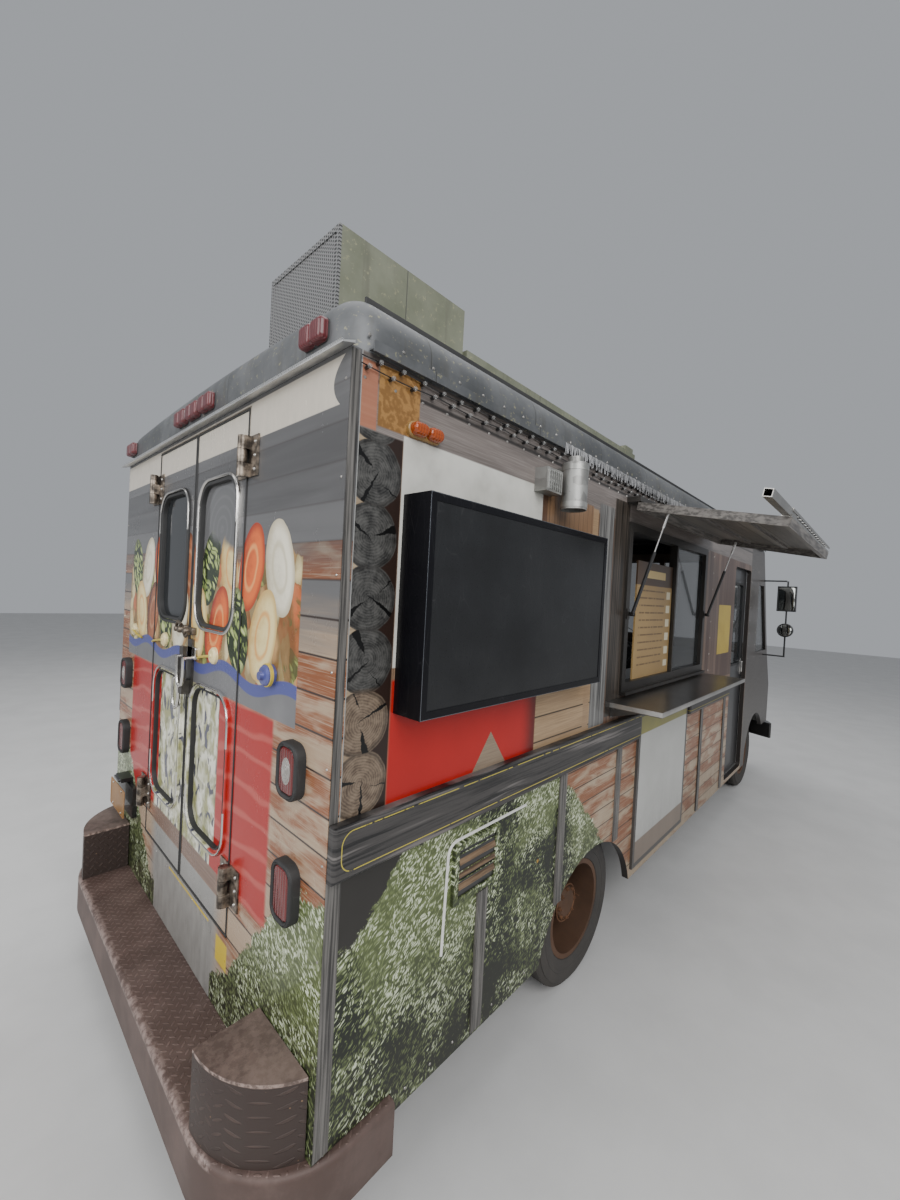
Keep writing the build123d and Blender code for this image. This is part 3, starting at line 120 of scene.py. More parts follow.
class Graph:
    """Adds shader nodes to one node tree and joins them."""

    def __init__(self, tree: bpy.types.NodeTree) -> None:
        """Keeps the tree."""
        self.tree = tree

    def add(self, kind: str, inputs: dict | None = None, **settings: object) -> bpy.types.Node:
        """Adds one node.

        Args:
            kind: the node's type.
            inputs: values or sockets by input name or number.
            settings: the node's own settings.

        Returns:
            The node.
        """
        node = self.tree.nodes.new(kind)
        for name, value in settings.items():
            setattr(node, name, value)
        for name, value in (inputs or {}).items():
            self.feed(node, name, value)
        return node

    def feed(self, node: bpy.types.Node, name: str | int, value: object) -> None:
        """Joins a socket to an input, or sets the input's value."""
        target = node.inputs[name]
        if isinstance(value, Socket):
            self.tree.links.new(value, target)
        elif isinstance(value, tuple) and len(value) == 3 and target.type == "RGBA":
            target.default_value = (*value, 1.0)
        else:
            target.default_value = value

    def math(self, operation: str, a: object, b: object = 0.0, c: object = 0.0,
             clamp: bool = False) -> Socket:
        """The result of one Math node."""
        return self.add("ShaderNodeMath", {0: a, 1: b, 2: c}, operation=operation, use_clamp=clamp).outputs[0]

    def times(self, *values: object) -> Socket:
        """The product of several values."""
        result = values[0]
        for value in values[1:]:
            result = self.math("MULTIPLY", result, value)
        return result

    def plus(self, a: object, b: object) -> Socket:
        """The sum of two values."""
        return self.math("ADD", a, b)

    def minus(self, a: object, b: object) -> Socket:
        """The difference of two values."""
        return self.math("SUBTRACT", a, b)

    def flip(self, value: Socket) -> Socket:
        """One minus a value."""
        return self.minus(1.0, value)

    def rise(self, value: object, low: float, high: float) -> Socket:
        """A smooth step from 0 at low to 1 at high."""
        node = self.add("ShaderNodeMapRange", {0: value, 1: low, 2: high}, interpolation_type="SMOOTHSTEP")
        return node.outputs[0]

    def fall(self, value: object, low: float, high: float) -> Socket:
        """A smooth step from 1 at low to 0 at high."""
        return self.flip(self.rise(value, low, high))

    def distance(self, a: object, b: object) -> Socket:
        """How far a place lies from 0, from its two parts."""
        return self.math("SQRT", self.plus(self.math("POWER", a, 2.0), self.math("POWER", b, 2.0)))

    def band(self, value: object, low: float, high: float, soft: float = 0.003) -> Socket:
        """A mask that is 1 between two values."""
        up = self.rise(value, low - soft, low + soft)
        down = self.rise(value, high - soft, high + soft)
        return self.math("SUBTRACT", up, down, clamp=True)

    def patch(self, a: object, a0: float, a1: float, b: object, b0: float, b1: float,
              soft: float = 0.003) -> Socket:
        """A mask that is 1 in a rectangle."""
        return self.times(self.band(a, a0, a1, soft), self.band(b, b0, b1, soft))

    def mix(self, factor: object, a: object, b: object, blend: str = "MIX") -> Socket:
        """Two colours mixed."""
        node = self.add("ShaderNodeMix", data_type="RGBA", blend_type=blend)
        self.feed(node, 0, factor)
        self.feed(node, 6, a)
        self.feed(node, 7, b)
        return node.outputs[2]

    def blend(self, factor: object, a: object, b: object) -> Socket:
        """Two values mixed."""
        return self.add("ShaderNodeMix", {0: factor, 2: a, 3: b}, data_type="FLOAT").outputs[0]

    def vector(self, x: object, y: object, z: object = 0.0) -> Socket:
        """A vector from three values."""
        return self.add("ShaderNodeCombineXYZ", {0: x, 1: y, 2: z}).outputs[0]

    def noise(self, vector: Socket, scale: float, detail: float = 3.0, rough: float = 0.55,
              twist: float = 0.0) -> Socket:
        """Noise between about 0 and 1."""
        node = self.add("ShaderNodeTexNoise", {"Vector": vector, "Scale": scale, "Detail": detail,
                                               "Roughness": rough, "Distortion": twist})
        return node.outputs["Fac"]

    def cells(self, vector: Socket, scale: float, feature: str = "F1", jitter: float = 1.0) -> bpy.types.Node:
        """A Voronoi node."""
        return self.add("ShaderNodeTexVoronoi", {"Vector": vector, "Scale": scale, "Randomness": jitter},
                        feature=feature)

    def chance(self, vector: Socket) -> Socket:
        """A random value for each cell of a vector."""
        return self.add("ShaderNodeTexWhiteNoise", {0: vector}, noise_dimensions="3D").outputs[0]

    def group(self, tree: bpy.types.NodeTree, **inputs: object) -> bpy.types.Node:
        """Places a node group with its own values."""
        node = self.add("ShaderNodeGroup", node_tree=tree)
        for name, value in inputs.items():
            self.feed(node, name.replace("_", " "), value)
        return node

    def planks(self, along: object, across: object, height: float, seed: float) -> Boards:
        """Boards of one height whose grain runs along them."""
        outputs = self.group(Groups.planks, Along=along, Across=across, Height=height, Seed=seed).outputs
        return Boards(outputs["Tone"], outputs["Grain"], outputs["Gap"])

    def weather(self, amount: object) -> Weather:
        """The wear of a surface."""
        outputs = self.group(Groups.weather, Amount=amount).outputs
        return Weather(outputs["Dirt"], outputs["Scratch"], outputs["Cloud"])

    def facing(self, axis: str) -> Socket:
        """How far the surface faces along one axis."""
        normal = self.add("ShaderNodeNewGeometry").outputs["Normal"]
        return self.add("ShaderNodeSeparateXYZ", {0: normal}).outputs[axis]

    def bump(self, height: Socket, strength: float, distance: float = 0.001) -> Socket:
        """A normal from a height."""
        return self.add("ShaderNodeBump",
                        {"Height": height, "Strength": strength, "Distance": distance}).outputs[0]


def new_group(name: str, takes: dict[str, float], gives: dict[str, str]) -> tuple[bpy.types.NodeTree, Graph,
                                                                                  dict, bpy.types.Node]:
    """Starts a shader node group.

    Args:
        name: the group's name.
        takes: each input's name and usual value.
        gives: each output's name and socket type.

    Returns:
        The tree, a graph on it, its inputs by name and its output node.
    """
    tree = bpy.data.node_groups.new(name, "ShaderNodeTree")
    for title, value in takes.items():
        socket = tree.interface.new_socket(name=title, in_out="INPUT", socket_type="NodeSocketFloat")
        socket.default_value = value
    for title, kind in gives.items():
        tree.interface.new_socket(name=title, in_out="OUTPUT", socket_type=f"NodeSocket{kind}")
    graph = Graph(tree)
    source = graph.add("NodeGroupInput")
    return tree, graph, {title: source.outputs[title] for title in takes}, graph.add("NodeGroupOutput")


def place_group() -> bpy.types.NodeTree:
    """Where a surface lies: forwards from the rear face, left of the centreline and above the ground."""
    tree, g, _, out = new_group("truck_place", {}, {"X": "Float", "Y": "Float", "Z": "Float"})
    spot = g.add("ShaderNodeTexCoord").outputs["Object"]
    moved = g.add("ShaderNodeMapping", {"Vector": spot, "Location": (-rear_x, -middle_y, 0.0)})
    parts = g.add("ShaderNodeSeparateXYZ", {0: moved.outputs[0]})
    for title in "XYZ":
        g.feed(out, title, parts.outputs[title])
    return tree


def planks_group() -> bpy.types.NodeTree:
    """Boards of one height with grain, knots and dark gaps."""
    tree, g, io, out = new_group("planks", {"Along": 0.0, "Across": 0.0, "Height": 0.1, "Seed": 0.0},
                                 {"Tone": "Float", "Grain": "Float", "Gap": "Float"})
    scaled = g.math("DIVIDE", io["Across"], io["Height"])
    row = g.math("FLOOR", scaled)
    part = g.math("FRACT", scaled)
    edge = g.math("MINIMUM", part, g.flip(part))
    own = g.chance(g.vector(row, io["Seed"], 3.1))
    shift = g.plus(io["Along"], g.times(own, 31.0))
    broad = g.noise(g.vector(g.times(shift, 1.1), g.times(io["Across"], 15.0), row), 1.0, 3.0, 0.6, 0.6)
    fine = g.noise(g.vector(g.times(shift, 4.5), g.times(io["Across"], 190.0), row), 1.0, 4.0, 0.65, 0.3)
    g.feed(out, "Tone", g.math("ADD", g.times(own, 0.45), g.times(broad, 0.6), clamp=True))
    g.feed(out, "Grain", fine)
    g.feed(out, "Gap", g.fall(edge, 0.008, 0.05))
    return tree


def foliage_group() -> bpy.types.NodeTree:
    """Small slanting leaves in clumps, from deep shade to pale tips."""
    tree, g, io, out = new_group("foliage", {"Along": 0.0, "Across": 0.0, "Size": 0.02},
                                 {"Leaf": "Float", "Clump": "Float", "Shade": "Float"})
    lean = 0.9
    a = g.math("DIVIDE", io["Along"], io["Size"])
    b = g.math("DIVIDE", io["Across"], io["Size"])
    swirl = g.noise(g.vector(a, b), 0.12, 2.0)
    a = g.plus(a, g.times(swirl, 9.0))
    u = g.plus(g.times(a, math.cos(lean)), g.times(b, math.sin(lean)))
    v = g.minus(g.times(b, math.cos(lean)), g.times(a, math.sin(lean)))
    layers = []
    for index, scale in enumerate((0.62, 0.8, 1.0)):
        spread = g.vector(g.times(u, 0.5), g.times(v, 1.35), index * 7.3)
        cell = g.cells(spread, scale)
        leaf = g.fall(cell.outputs["Distance"], 0.16, 0.52)
        layers.append(g.times(leaf, g.chance(cell.outputs["Position"])))
    clump = g.rise(g.noise(g.vector(a, b, 2.0), 0.055, 3.0), 0.36, 0.62)
    g.feed(out, "Leaf", g.math("MAXIMUM", g.math("MAXIMUM", layers[0], layers[1]), layers[2]))
    g.feed(out, "Clump", clump)
    g.feed(out, "Shade", g.noise(g.vector(a, b, 5.0), 0.4, 3.0))
    return tree


def log_ends_group() -> bpy.types.NodeTree:
    """A stack of log ends with rings and drying cracks."""
    tree, g, io, out = new_group("log_ends", {"Along": 0.0, "Up": 0.0, "Pitch": 0.187, "Radius": 0.096},
                                 {"Disc": "Float", "Rings": "Float", "Crack": "Float", "Tone": "Float",
                                  "Rim": "Float"})
    scaled = g.math("DIVIDE", io["Up"], io["Pitch"])
    row = g.math("FLOOR", scaled)
    own = g.chance(g.vector(row, 1.7, 0.3))
    v = g.times(g.minus(g.math("FRACT", scaled), 0.5), io["Pitch"])
    u = g.plus(io["Along"], g.times(g.minus(own, 0.5), 0.012))
    wobble = g.noise(g.vector(u, v, row), 14.0, 3.0)
    radius = g.distance(u, v)
    radius = g.plus(radius, g.times(g.minus(wobble, 0.5), 0.012))
    share = g.math("DIVIDE", radius, io["Radius"])
    ring = g.math("SINE", g.plus(g.times(share, 75.0), g.times(wobble, 9.0)))
    second = g.chance(g.vector(row, 8.2, 5.5))
    jag = g.times(g.minus(g.noise(g.vector(u, v, row), 45.0, 3.0), 0.5), 0.022)
    cracks = None
    # Columns: turn, turn by chance, start off the middle, open width at the rim
    for turn, loose, away, width in ((0.4, 2.0, 0.012, 0.016), (2.0, 2.6, -0.02, 0.006),
                                     (3.9, 1.3, 0.03, 0.004)):
        angle = g.plus(g.times(second, loose), g.plus(g.times(own, 6.28), turn))
        c, s = g.math("COSINE", angle), g.math("SINE", angle)
        ahead = g.minus(g.plus(g.times(u, c), g.times(v, s)), away)
        aside = g.minus(g.times(v, c), g.times(u, s))
        aside = g.math("ABSOLUTE", g.plus(aside, g.plus(jag, away * 0.4)))
        open_width = g.times(g.math("DIVIDE", ahead, io["Radius"]), width)
        crack = g.times(g.math("LESS_THAN", aside, open_width), g.math("GREATER_THAN", ahead, 0.0))
        cracks = crack if cracks is None else g.math("MAXIMUM", cracks, crack)
    g.feed(out, "Disc", g.fall(share, 0.96, 1.0))
    g.feed(out, "Rim", g.band(share, 0.86, 0.97, 0.05))
    g.feed(out, "Rings", g.math("MULTIPLY_ADD", ring, 0.5, 0.5))
    g.feed(out, "Crack", cracks)
    g.feed(out, "Tone", own)
    return tree


def oval_group() -> bpy.types.NodeTree:
    """One oval with a wavy edge: its mask, its depth from the middle and how far across it a point lies."""
    takes = {"Along": 0.0, "Up": 0.0, "Middle": 0.0, "Height": 0.0, "Long": 0.2, "Short": 0.1, "Lean": 0.0,
             "Wave": 0.12}
    tree, g, io, out = new_group("oval", takes, {"Mask": "Float", "Depth": "Float", "Cross": "Float"})
    u = g.minus(io["Along"], io["Middle"])
    v = g.minus(io["Up"], io["Height"])
    c, s = g.math("COSINE", io["Lean"]), g.math("SINE", io["Lean"])
    along = g.math("DIVIDE", g.plus(g.times(u, c), g.times(v, s)), io["Long"])
    cross = g.math("DIVIDE", g.minus(g.times(v, c), g.times(u, s)), io["Short"])
    wobble = g.minus(g.noise(g.vector(u, v, io["Middle"]), 7.0, 2.0), 0.5)
    cross = g.plus(cross, g.times(wobble, io["Wave"], 2.0))
    depth = g.distance(along, g.math("ABSOLUTE", cross))
    depth = g.plus(depth, g.times(wobble, io["Wave"]))
    g.feed(out, "Mask", g.fall(depth, 0.985, 1.0))
    g.feed(out, "Depth", depth)
    g.feed(out, "Cross", cross)
    return tree


def weather_group() -> bpy.types.NodeTree:
    """Dirt that gathers low down and in patches, runs below seams, and fine scratches."""
    tree, g, io, out = new_group("weather", {"Amount": 0.3},
                                 {"Dirt": "Float", "Scratch": "Float", "Cloud": "Float"})
    spot = g.add("ShaderNodeTexCoord").outputs["Object"]
    parts = g.add("ShaderNodeSeparateXYZ", {0: spot})
    x, y, z = (parts.outputs[title] for title in "XYZ")
    cloud = g.noise(spot, 2.3, 5.0, 0.6)
    specks = g.noise(spot, 38.0, 4.0, 0.7)
    runs = g.noise(g.vector(g.times(x, 26.0), g.times(y, 26.0), g.times(z, 1.3)), 1.0, 3.0)
    low = g.fall(z, 0.25, 1.1)
    base = g.plus(g.times(low, 0.5), g.times(cloud, 0.55))
    base = g.plus(base, g.times(runs, 0.35))
    dirt = g.rise(g.plus(base, g.times(specks, 0.35)), 0.62, 1.25)
    g.feed(out, "Dirt", g.math("MULTIPLY", dirt, io["Amount"], clamp=True))
    scratch = g.cells(g.add("ShaderNodeMapping", {"Vector": spot, "Scale": (1.0, 1.0, 0.2)}).outputs[0], 30.0,
                      "DISTANCE_TO_EDGE").outputs["Distance"]
    g.feed(out, "Scratch", g.times(g.fall(scratch, 0.0, 0.012), g.rise(cloud, 0.5, 0.62)))
    g.feed(out, "Cloud", cloud)
    return tree


def tread_plate_group() -> bpy.types.NodeTree:
    """The raised bars of tread plate, set crosswise in turn."""
    tree, g, io, out = new_group("tread_plate", {"Along": 0.0, "Across": 0.0, "Pitch": 0.03},
                                 {"Bar": "Float"})
    a = g.math("DIVIDE", io["Along"], io["Pitch"])
    b = g.math("DIVIDE", io["Across"], io["Pitch"])
    u = g.times(g.plus(a, b), 0.7071)
    v = g.times(g.minus(a, b), 0.7071)
    cell_u, cell_v = g.math("FLOOR", u), g.math("FLOOR", v)
    even = g.math("GREATER_THAN", g.math("ABSOLUTE", g.math("MODULO", g.plus(cell_u, cell_v), 2.0)), 0.5)
    pu, pv = (g.math("ABSOLUTE", g.minus(g.math("FRACT", w), 0.5)) for w in (u, v))
    long, short = g.blend(even, pu, pv), g.blend(even, pv, pu)
    oval = g.plus(g.math("POWER", g.math("DIVIDE", long, 0.46), 2.0),
                  g.math("POWER", g.math("DIVIDE", short, 0.15), 2.0))
    g.feed(out, "Bar", g.fall(oval, 0.55, 1.05))
    return tree


class Groups:
    """The shader groups that the finishes share."""

    place: bpy.types.NodeTree
    planks: bpy.types.NodeTree
    foliage: bpy.types.NodeTree
    logs: bpy.types.NodeTree
    weather: bpy.types.NodeTree
    tread: bpy.types.NodeTree
    oval: bpy.types.NodeTree

    @classmethod
    def build(cls) -> None:
        """Builds each group once."""
        cls.place = place_group()
        cls.planks = planks_group()
        cls.foliage = foliage_group()
        cls.logs = log_ends_group()
        cls.weather = weather_group()
        cls.tread = tread_plate_group()
        cls.oval = oval_group()


def start_material(name: str) -> tuple[bpy.types.Material, Graph, bpy.types.Node]:
    """A new material with an empty Principled shader.

    Returns:
        The material, a graph on its tree and the shader.
    """
    material = bpy.data.materials.new(name)
    material.use_nodes = True
    material.node_tree.nodes.clear()
    g = Graph(material.node_tree)
    shader = g.add("ShaderNodeBsdfPrincipled")
    g.add("ShaderNodeOutputMaterial", {"Surface": shader.outputs[0]})
    return material, g, shader


def where(g: Graph) -> tuple[Socket, Socket, Socket]:
    """The place of the surface as three values."""
    node = g.group(Groups.place)
    return node.outputs["X"], node.outputs["Y"], node.outputs["Z"]


@dataclass(frozen=True)
class Finish:
    """A worn finish: paint, metal, rubber or plastic with cloudy tone, dirt, scratches and fine grain."""

    name: str
    colour: Colour
    rough: float = 0.5
    metallic: float = 0.0
    variation: float = 0.25
    dirt: float = 0.3
    dirt_colour: Colour = (0.034, 0.028, 0.022)
    scratches: float = 0.2
    grain: float = 0.1
    grain_scale: float = 240.0
    coat: float = 0.0
    gloss: float = 0.5

    def material(self) -> bpy.types.Material:
        """The finish as a material."""
        material, g, shader = start_material(self.name)
        weather = g.weather(self.dirt)
        spot = g.add("ShaderNodeTexCoord").outputs["Object"]
        light = tuple(min(1.0, c * (1 + self.variation)) for c in self.colour)
        dark = tuple(c * (1 - self.variation) for c in self.colour)
        tone = g.mix(g.rise(weather.cloud, 0.3, 0.7), dark, light)
        scratch = g.times(weather.scratch, self.scratches)
        tone = g.mix(scratch, tone, tuple(min(1.0, c * 1.6 + 0.08) for c in self.colour))
        g.feed(shader, "Base Color", g.mix(weather.dirt, tone, self.dirt_colour))
        fine = g.noise(spot, self.grain_scale, 3.0, 0.6)
        rough = g.plus(self.rough - 0.08, g.times(fine, 0.16))
        g.feed(shader, "Roughness", g.math("ADD", rough, g.times(weather.dirt, 0.3), clamp=True))
        shader.inputs["Metallic"].default_value = self.metallic
        shader.inputs["Coat Weight"].default_value = self.coat
        shader.inputs["Specular IOR Level"].default_value = self.gloss
        g.feed(shader, "Normal", g.bump(fine, self.grain, 0.0006))
        return material


class Side(Enum):
    """The two long sides of the truck."""

    RIGHT = -1
    LEFT = 1


def hedge(g: Graph, along: Socket, up: Socket, colour: Socket, top: Socket, shade: Socket | float) -> Socket:
    """A fine-leaved hedge with lit tips and a ragged top.

    Args:
        g: the material's graph.
        along: the run along the face.
        up: the height.
        colour: what lies behind it.
        top: how high it stands.
        shade: where it is darker, from 0 to 1.

    Returns:
        The colour with the hedge over it.
    """
    leaves = g.group(Groups.foliage, Along=along, Across=up, Size=0.0085)
    leaf, clump = leaves.outputs["Leaf"], leaves.outputs["Clump"]
    light = g.times(leaf, g.plus(0.35, g.times(clump, 0.75)))
    light = g.plus(g.minus(light, g.times(shade, 0.4)), g.times(0.16, g.rise(up, 0.5, 1.05)))
    green = g.mix(g.rise(light, 0.0, 0.3), (0.01, 0.013, 0.008), (0.13, 0.165, 0.06))
    green = g.mix(g.rise(light, 0.26, 0.8), green, (0.6, 0.65, 0.48))
    ragged = g.times(g.minus(g.noise(g.vector(along, up), 14.0, 5.0, 0.75), 0.5), 0.2)
    edge = g.minus(g.plus(top, ragged), up)
    return g.mix(g.rise(edge, 0.0, 0.012), colour, green)


@dataclass(frozen=True)
class PrintedSide:
    """The printed wrap on a long side: planks, log ends, a hedge, plain panels and posts."""

    name: str
    side: Side
    logs_pitch: float = 0.187
    logs_low: float = 1.462
    logs_high: float = 2.612
    red: Colour = (0.33, 0.01, 0.008)
    white: Colour = (0.6, 0.59, 0.54)

    def material(self) -> bpy.types.Material:
        """The wrap as a material."""
        material, g, shader = start_material(self.name)
        x, y, z = where(g)
        colour = self.boards(g, x, z)
        if self.side is Side.RIGHT:
            colour = self.upper_panels(g, x, z, colour)
        colour = self.log_stack(g, x, z, colour)
        colour = self.foot(g, x, z, colour)
        weather = g.weather(0.3)
        colour = g.mix(weather.dirt, colour, (0.034, 0.028, 0.023))
        way = g.facing("Y")
        colour = g.mix(g.rise(g.math("ABSOLUTE", way), 0.5, 0.6), (0.025, 0.021, 0.019), colour)
        inner = g.fall(g.math("ABSOLUTE", y), 1.1405, 1.141)
        g.feed(shader, "Base Color", g.mix(inner, colour, (0.42, 0.42, 0.41)))
        g.feed(shader, "Roughness", g.plus(0.34, g.times(weather.dirt, 0.4)))
        g.feed(shader, "Normal", g.bump(g.noise(g.vector(x, z), 3.0, 2.0), 0.25, 0.004))
        shader.inputs["Specular IOR Level"].default_value = 0.34
        shader.inputs["Coat Weight"].default_value = 0.06
        return material

    def boards(self, g: Graph, x: Socket, z: Socket) -> Socket:
        """The boards: whitewashed low down, upright by the window and grey along the top."""
        level = g.planks(x, z, 0.098, 2.0)
        upright = g.planks(z, x, 0.078, 5.0)
        fascia = g.planks(x, z, 0.23, 9.0)
        tone, grain = level.tone, level.grain
        patches = g.noise(g.vector(g.times(x, 1.6), g.times(z, 5.0), 2.0), 2.6, 3.0, 0.55, 0.5)
        washed = g.mix(g.rise(g.plus(g.times(tone, 0.5), g.times(patches, 0.7)), 0.5, 0.66),
                       (0.22, 0.08, 0.032), (0.38, 0.29, 0.2))
        washed = g.mix(g.times(g.rise(grain, 0.45, 0.75), 0.65), washed, (0.47, 0.4, 0.3))
        washed = g.mix(g.times(0.5, g.fall(grain, 0.25, 0.4)), washed, (0.12, 0.05, 0.025))
        colour = g.mix(level.gap, washed, (0.03, 0.018, 0.012))
        brown = g.mix(g.rise(upright.tone, 0.25, 0.8), (0.1, 0.045, 0.025), (0.3, 0.19, 0.12))
        brown = g.mix(g.rise(upright.grain, 0.3, 0.75), g.mix(0.6, brown, (0.04, 0.022, 0.015)), brown)
        brown = g.mix(upright.gap, brown, (0.02, 0.012, 0.008))
        colour = g.mix(g.rise(z, self.logs_low, self.logs_low + 0.006), colour, brown)
        grey = g.mix(g.rise(fascia.tone, 0.25, 0.8), (0.07, 0.06, 0.055), (0.2, 0.17, 0.155))
        grey = g.mix(g.times(g.rise(fascia.grain, 0.4, 0.75), 0.6), grey, (0.3, 0.265, 0.245))
        grey = g.mix(fascia.gap, grey, (0.03, 0.026, 0.024))
        colour = g.mix(g.rise(z, 2.6, 2.612), colour, grey)
        ahead = g.mix(g.rise(fascia.grain, 0.3, 0.8), (0.045, 0.038, 0.034), (0.1, 0.088, 0.08))
        return g.mix(g.rise(x, 5.235, 5.24), colour, ahead)

    def upper_panels(self, g: Graph, x: Socket, z: Socket, colour: Socket) -> Socket:
        """The plain panels round the screen: white above, red below, with boards and posts beside it."""
        crate = g.planks(x, z, 0.115, 12.0)
        grain = crate.grain
        tan = g.mix(g.rise(crate.tone, 0.25, 0.8), (0.22, 0.125, 0.06), (0.4, 0.28, 0.165))
        tan = g.mix(g.rise(grain, 0.3, 0.7), g.mix(0.45, tan, (0.12, 0.07, 0.03)), tan)
        tan = g.mix(crate.gap, tan, (0.03, 0.02, 0.012))
        colour = g.mix(g.patch(x, 1.05, 1.72, z, 1.3, 1.76), colour, tan)
        lean = g.times(g.math("ABSOLUTE", g.minus(x, 0.735)), 1.35)
        notch = g.math("GREATER_THAN", g.minus(1.605, z), lean)
        level = g.planks(x, z, 0.12, 14.0)
        board = g.mix(level.grain, (0.1, 0.065, 0.04), (0.36, 0.28, 0.2))
        red = g.mix(g.noise(g.vector(x, z), 5.0), self.red, scaled(self.red, 1.3))
        shade = g.times(0.8, g.rise(x, 0.93, 1.05))
        red = g.mix(shade, red, (0.03, 0.008, 0.006))
        colour = g.mix(g.patch(x, 0.208, 1.05, z, 1.3, 1.86, 0.006), colour, g.mix(notch, red, board))
        worn = g.mix(g.rise(g.noise(g.vector(x, z), 4.0, 4.0), 0.4, 0.75), self.white, (0.42, 0.41, 0.37))
        colour = g.mix(g.patch(x, 0.208, 1.02, z, 1.9, 2.63), colour, worn)
        slats = g.planks(z, x, 0.045, 17.0)
        brown = g.mix(slats.grain, (0.07, 0.035, 0.02), (0.33, 0.2, 0.11))
        brown = g.mix(slats.gap, brown, (0.015, 0.01, 0.008))
        colour = g.mix(g.patch(x, 1.06, 1.5, z, 2.2, 2.63), colour, brown)
        strip = g.mix(grain, (0.17, 0.1, 0.05), (0.4, 0.28, 0.17))
        colour = g.mix(g.patch(x, 1.5, 1.56, z, 1.47, 2.62), colour, strip)
        streak = g.noise(g.vector(g.times(x, 90.0), g.times(z, 1.4)), 1.0, 4.0)
        post = g.mix(g.rise(streak, 0.3, 0.7), (0.03, 0.03, 0.03), (0.26, 0.255, 0.245))
        colour = g.mix(g.patch(x, 1.572, 1.75, z, 1.47, 2.66), colour, post)
        frame = g.mix(g.rise(streak, 0.35, 0.7), (0.01, 0.009, 0.008), (0.085, 0.068, 0.054))
        colour = g.mix(g.patch(x, 1.756, 1.95, z, 1.5, 2.72), colour, frame)
        pink = g.mix(g.noise(g.vector(x, g.times(z, 30.0)), 2.0), (0.26, 0.095, 0.055), (0.42, 0.19, 0.12))
        colour = g.mix(g.patch(x, 0.004, 0.098, z, 2.615, 2.81), colour, pink)
        tall = g.planks(z, x, 0.085, 23.0)
        rusty = g.mix(g.rise(tall.tone, 0.3, 0.75), (0.075, 0.03, 0.018), (0.2, 0.12, 0.085))
        rusty = g.mix(g.times(0.7, tall.grain), rusty, (0.05, 0.032, 0.024))
        rusty = g.mix(tall.gap, rusty, (0.012, 0.008, 0.006))
        colour = g.mix(g.patch(x, 3.61, 5.2, z, 1.5, 2.62), colour, rusty)
        sheet = g.mix(g.noise(g.vector(x, z), 6.0, 3.0), (0.38, 0.25, 0.02), (0.56, 0.42, 0.06))
        colour = g.mix(g.patch(x, 4.01, 4.43, z, 1.72, 2.17, 0.002), colour, sheet)
        square = g.math("FRACT", g.times(z, 6.2))
        slip = g.mix(g.noise(g.vector(0.0, g.math("FLOOR", g.times(z, 6.2))), 3.0), (0.55, 0.5, 0.4),
                     (0.5, 0.26, 0.2))
        colour = g.mix(g.times(g.patch(x, 4.66, 4.9, z, 1.78, 2.58, 0.002), g.band(square, 0.1, 0.86, 0.02)),
                       colour, slip)
        knot = g.distance(g.minus(x, 0.19), g.minus(z, 2.74))
        turns = g.times(g.noise(g.vector(x, z), 14.0, 4.0), 34.0)
        ripple = g.math("SINE", g.plus(g.times(knot, 120.0), turns))
        gold = g.mix(g.rise(ripple, -1.0, 1.0), (0.2, 0.1, 0.03), (0.32, 0.17, 0.055))
        gold = g.mix(g.times(0.6, g.rise(grain, 0.5, 0.75)), gold, (0.16, 0.08, 0.025))
        return g.mix(g.patch(x, 0.102, 0.268, z, 2.632, 2.82), colour, gold)

    def log_stack(self, g: Graph, x: Socket, z: Socket, colour: Socket) -> Socket:
        """The stack of log ends at the rear corner, dark above and browner below."""
        up = g.minus(z, self.logs_low)
        logs = g.group(Groups.logs, Along=g.minus(x, 0.1), Up=up, Pitch=self.logs_pitch, Radius=0.104)
        bark = g.mix(g.noise(g.vector(x, g.times(z, 7.0)), 9.0, 4.0), (0.1, 0.06, 0.035), (0.5, 0.4, 0.27))
        bark = g.mix(g.rise(x, 0.1, 0.13), bark, (0.022, 0.012, 0.009))
        blotch = g.rise(g.noise(g.vector(x, z), 28.0, 5.0, 0.7), 0.3, 0.7)
        dark = g.mix(g.blend(0.25, blotch, logs.outputs["Rings"]), (0.012, 0.012, 0.012), (0.1, 0.098, 0.092))
        brown = g.mix(g.blend(0.35, blotch, logs.outputs["Rings"]), (0.06, 0.04, 0.028), (0.23, 0.175, 0.125))
        face = g.mix(g.rise(z, 1.83, 1.85), brown, dark)
        face = g.mix(g.times(logs.outputs["Rim"], 0.5), face, (0.012, 0.01, 0.009))
        face = g.mix(logs.outputs["Crack"], face, (0.003, 0.003, 0.003))
        stack = g.mix(logs.outputs["Disc"], bark, face)
        return g.mix(g.patch(x, -0.01, 0.206, z, self.logs_low, self.logs_high), colour, stack)

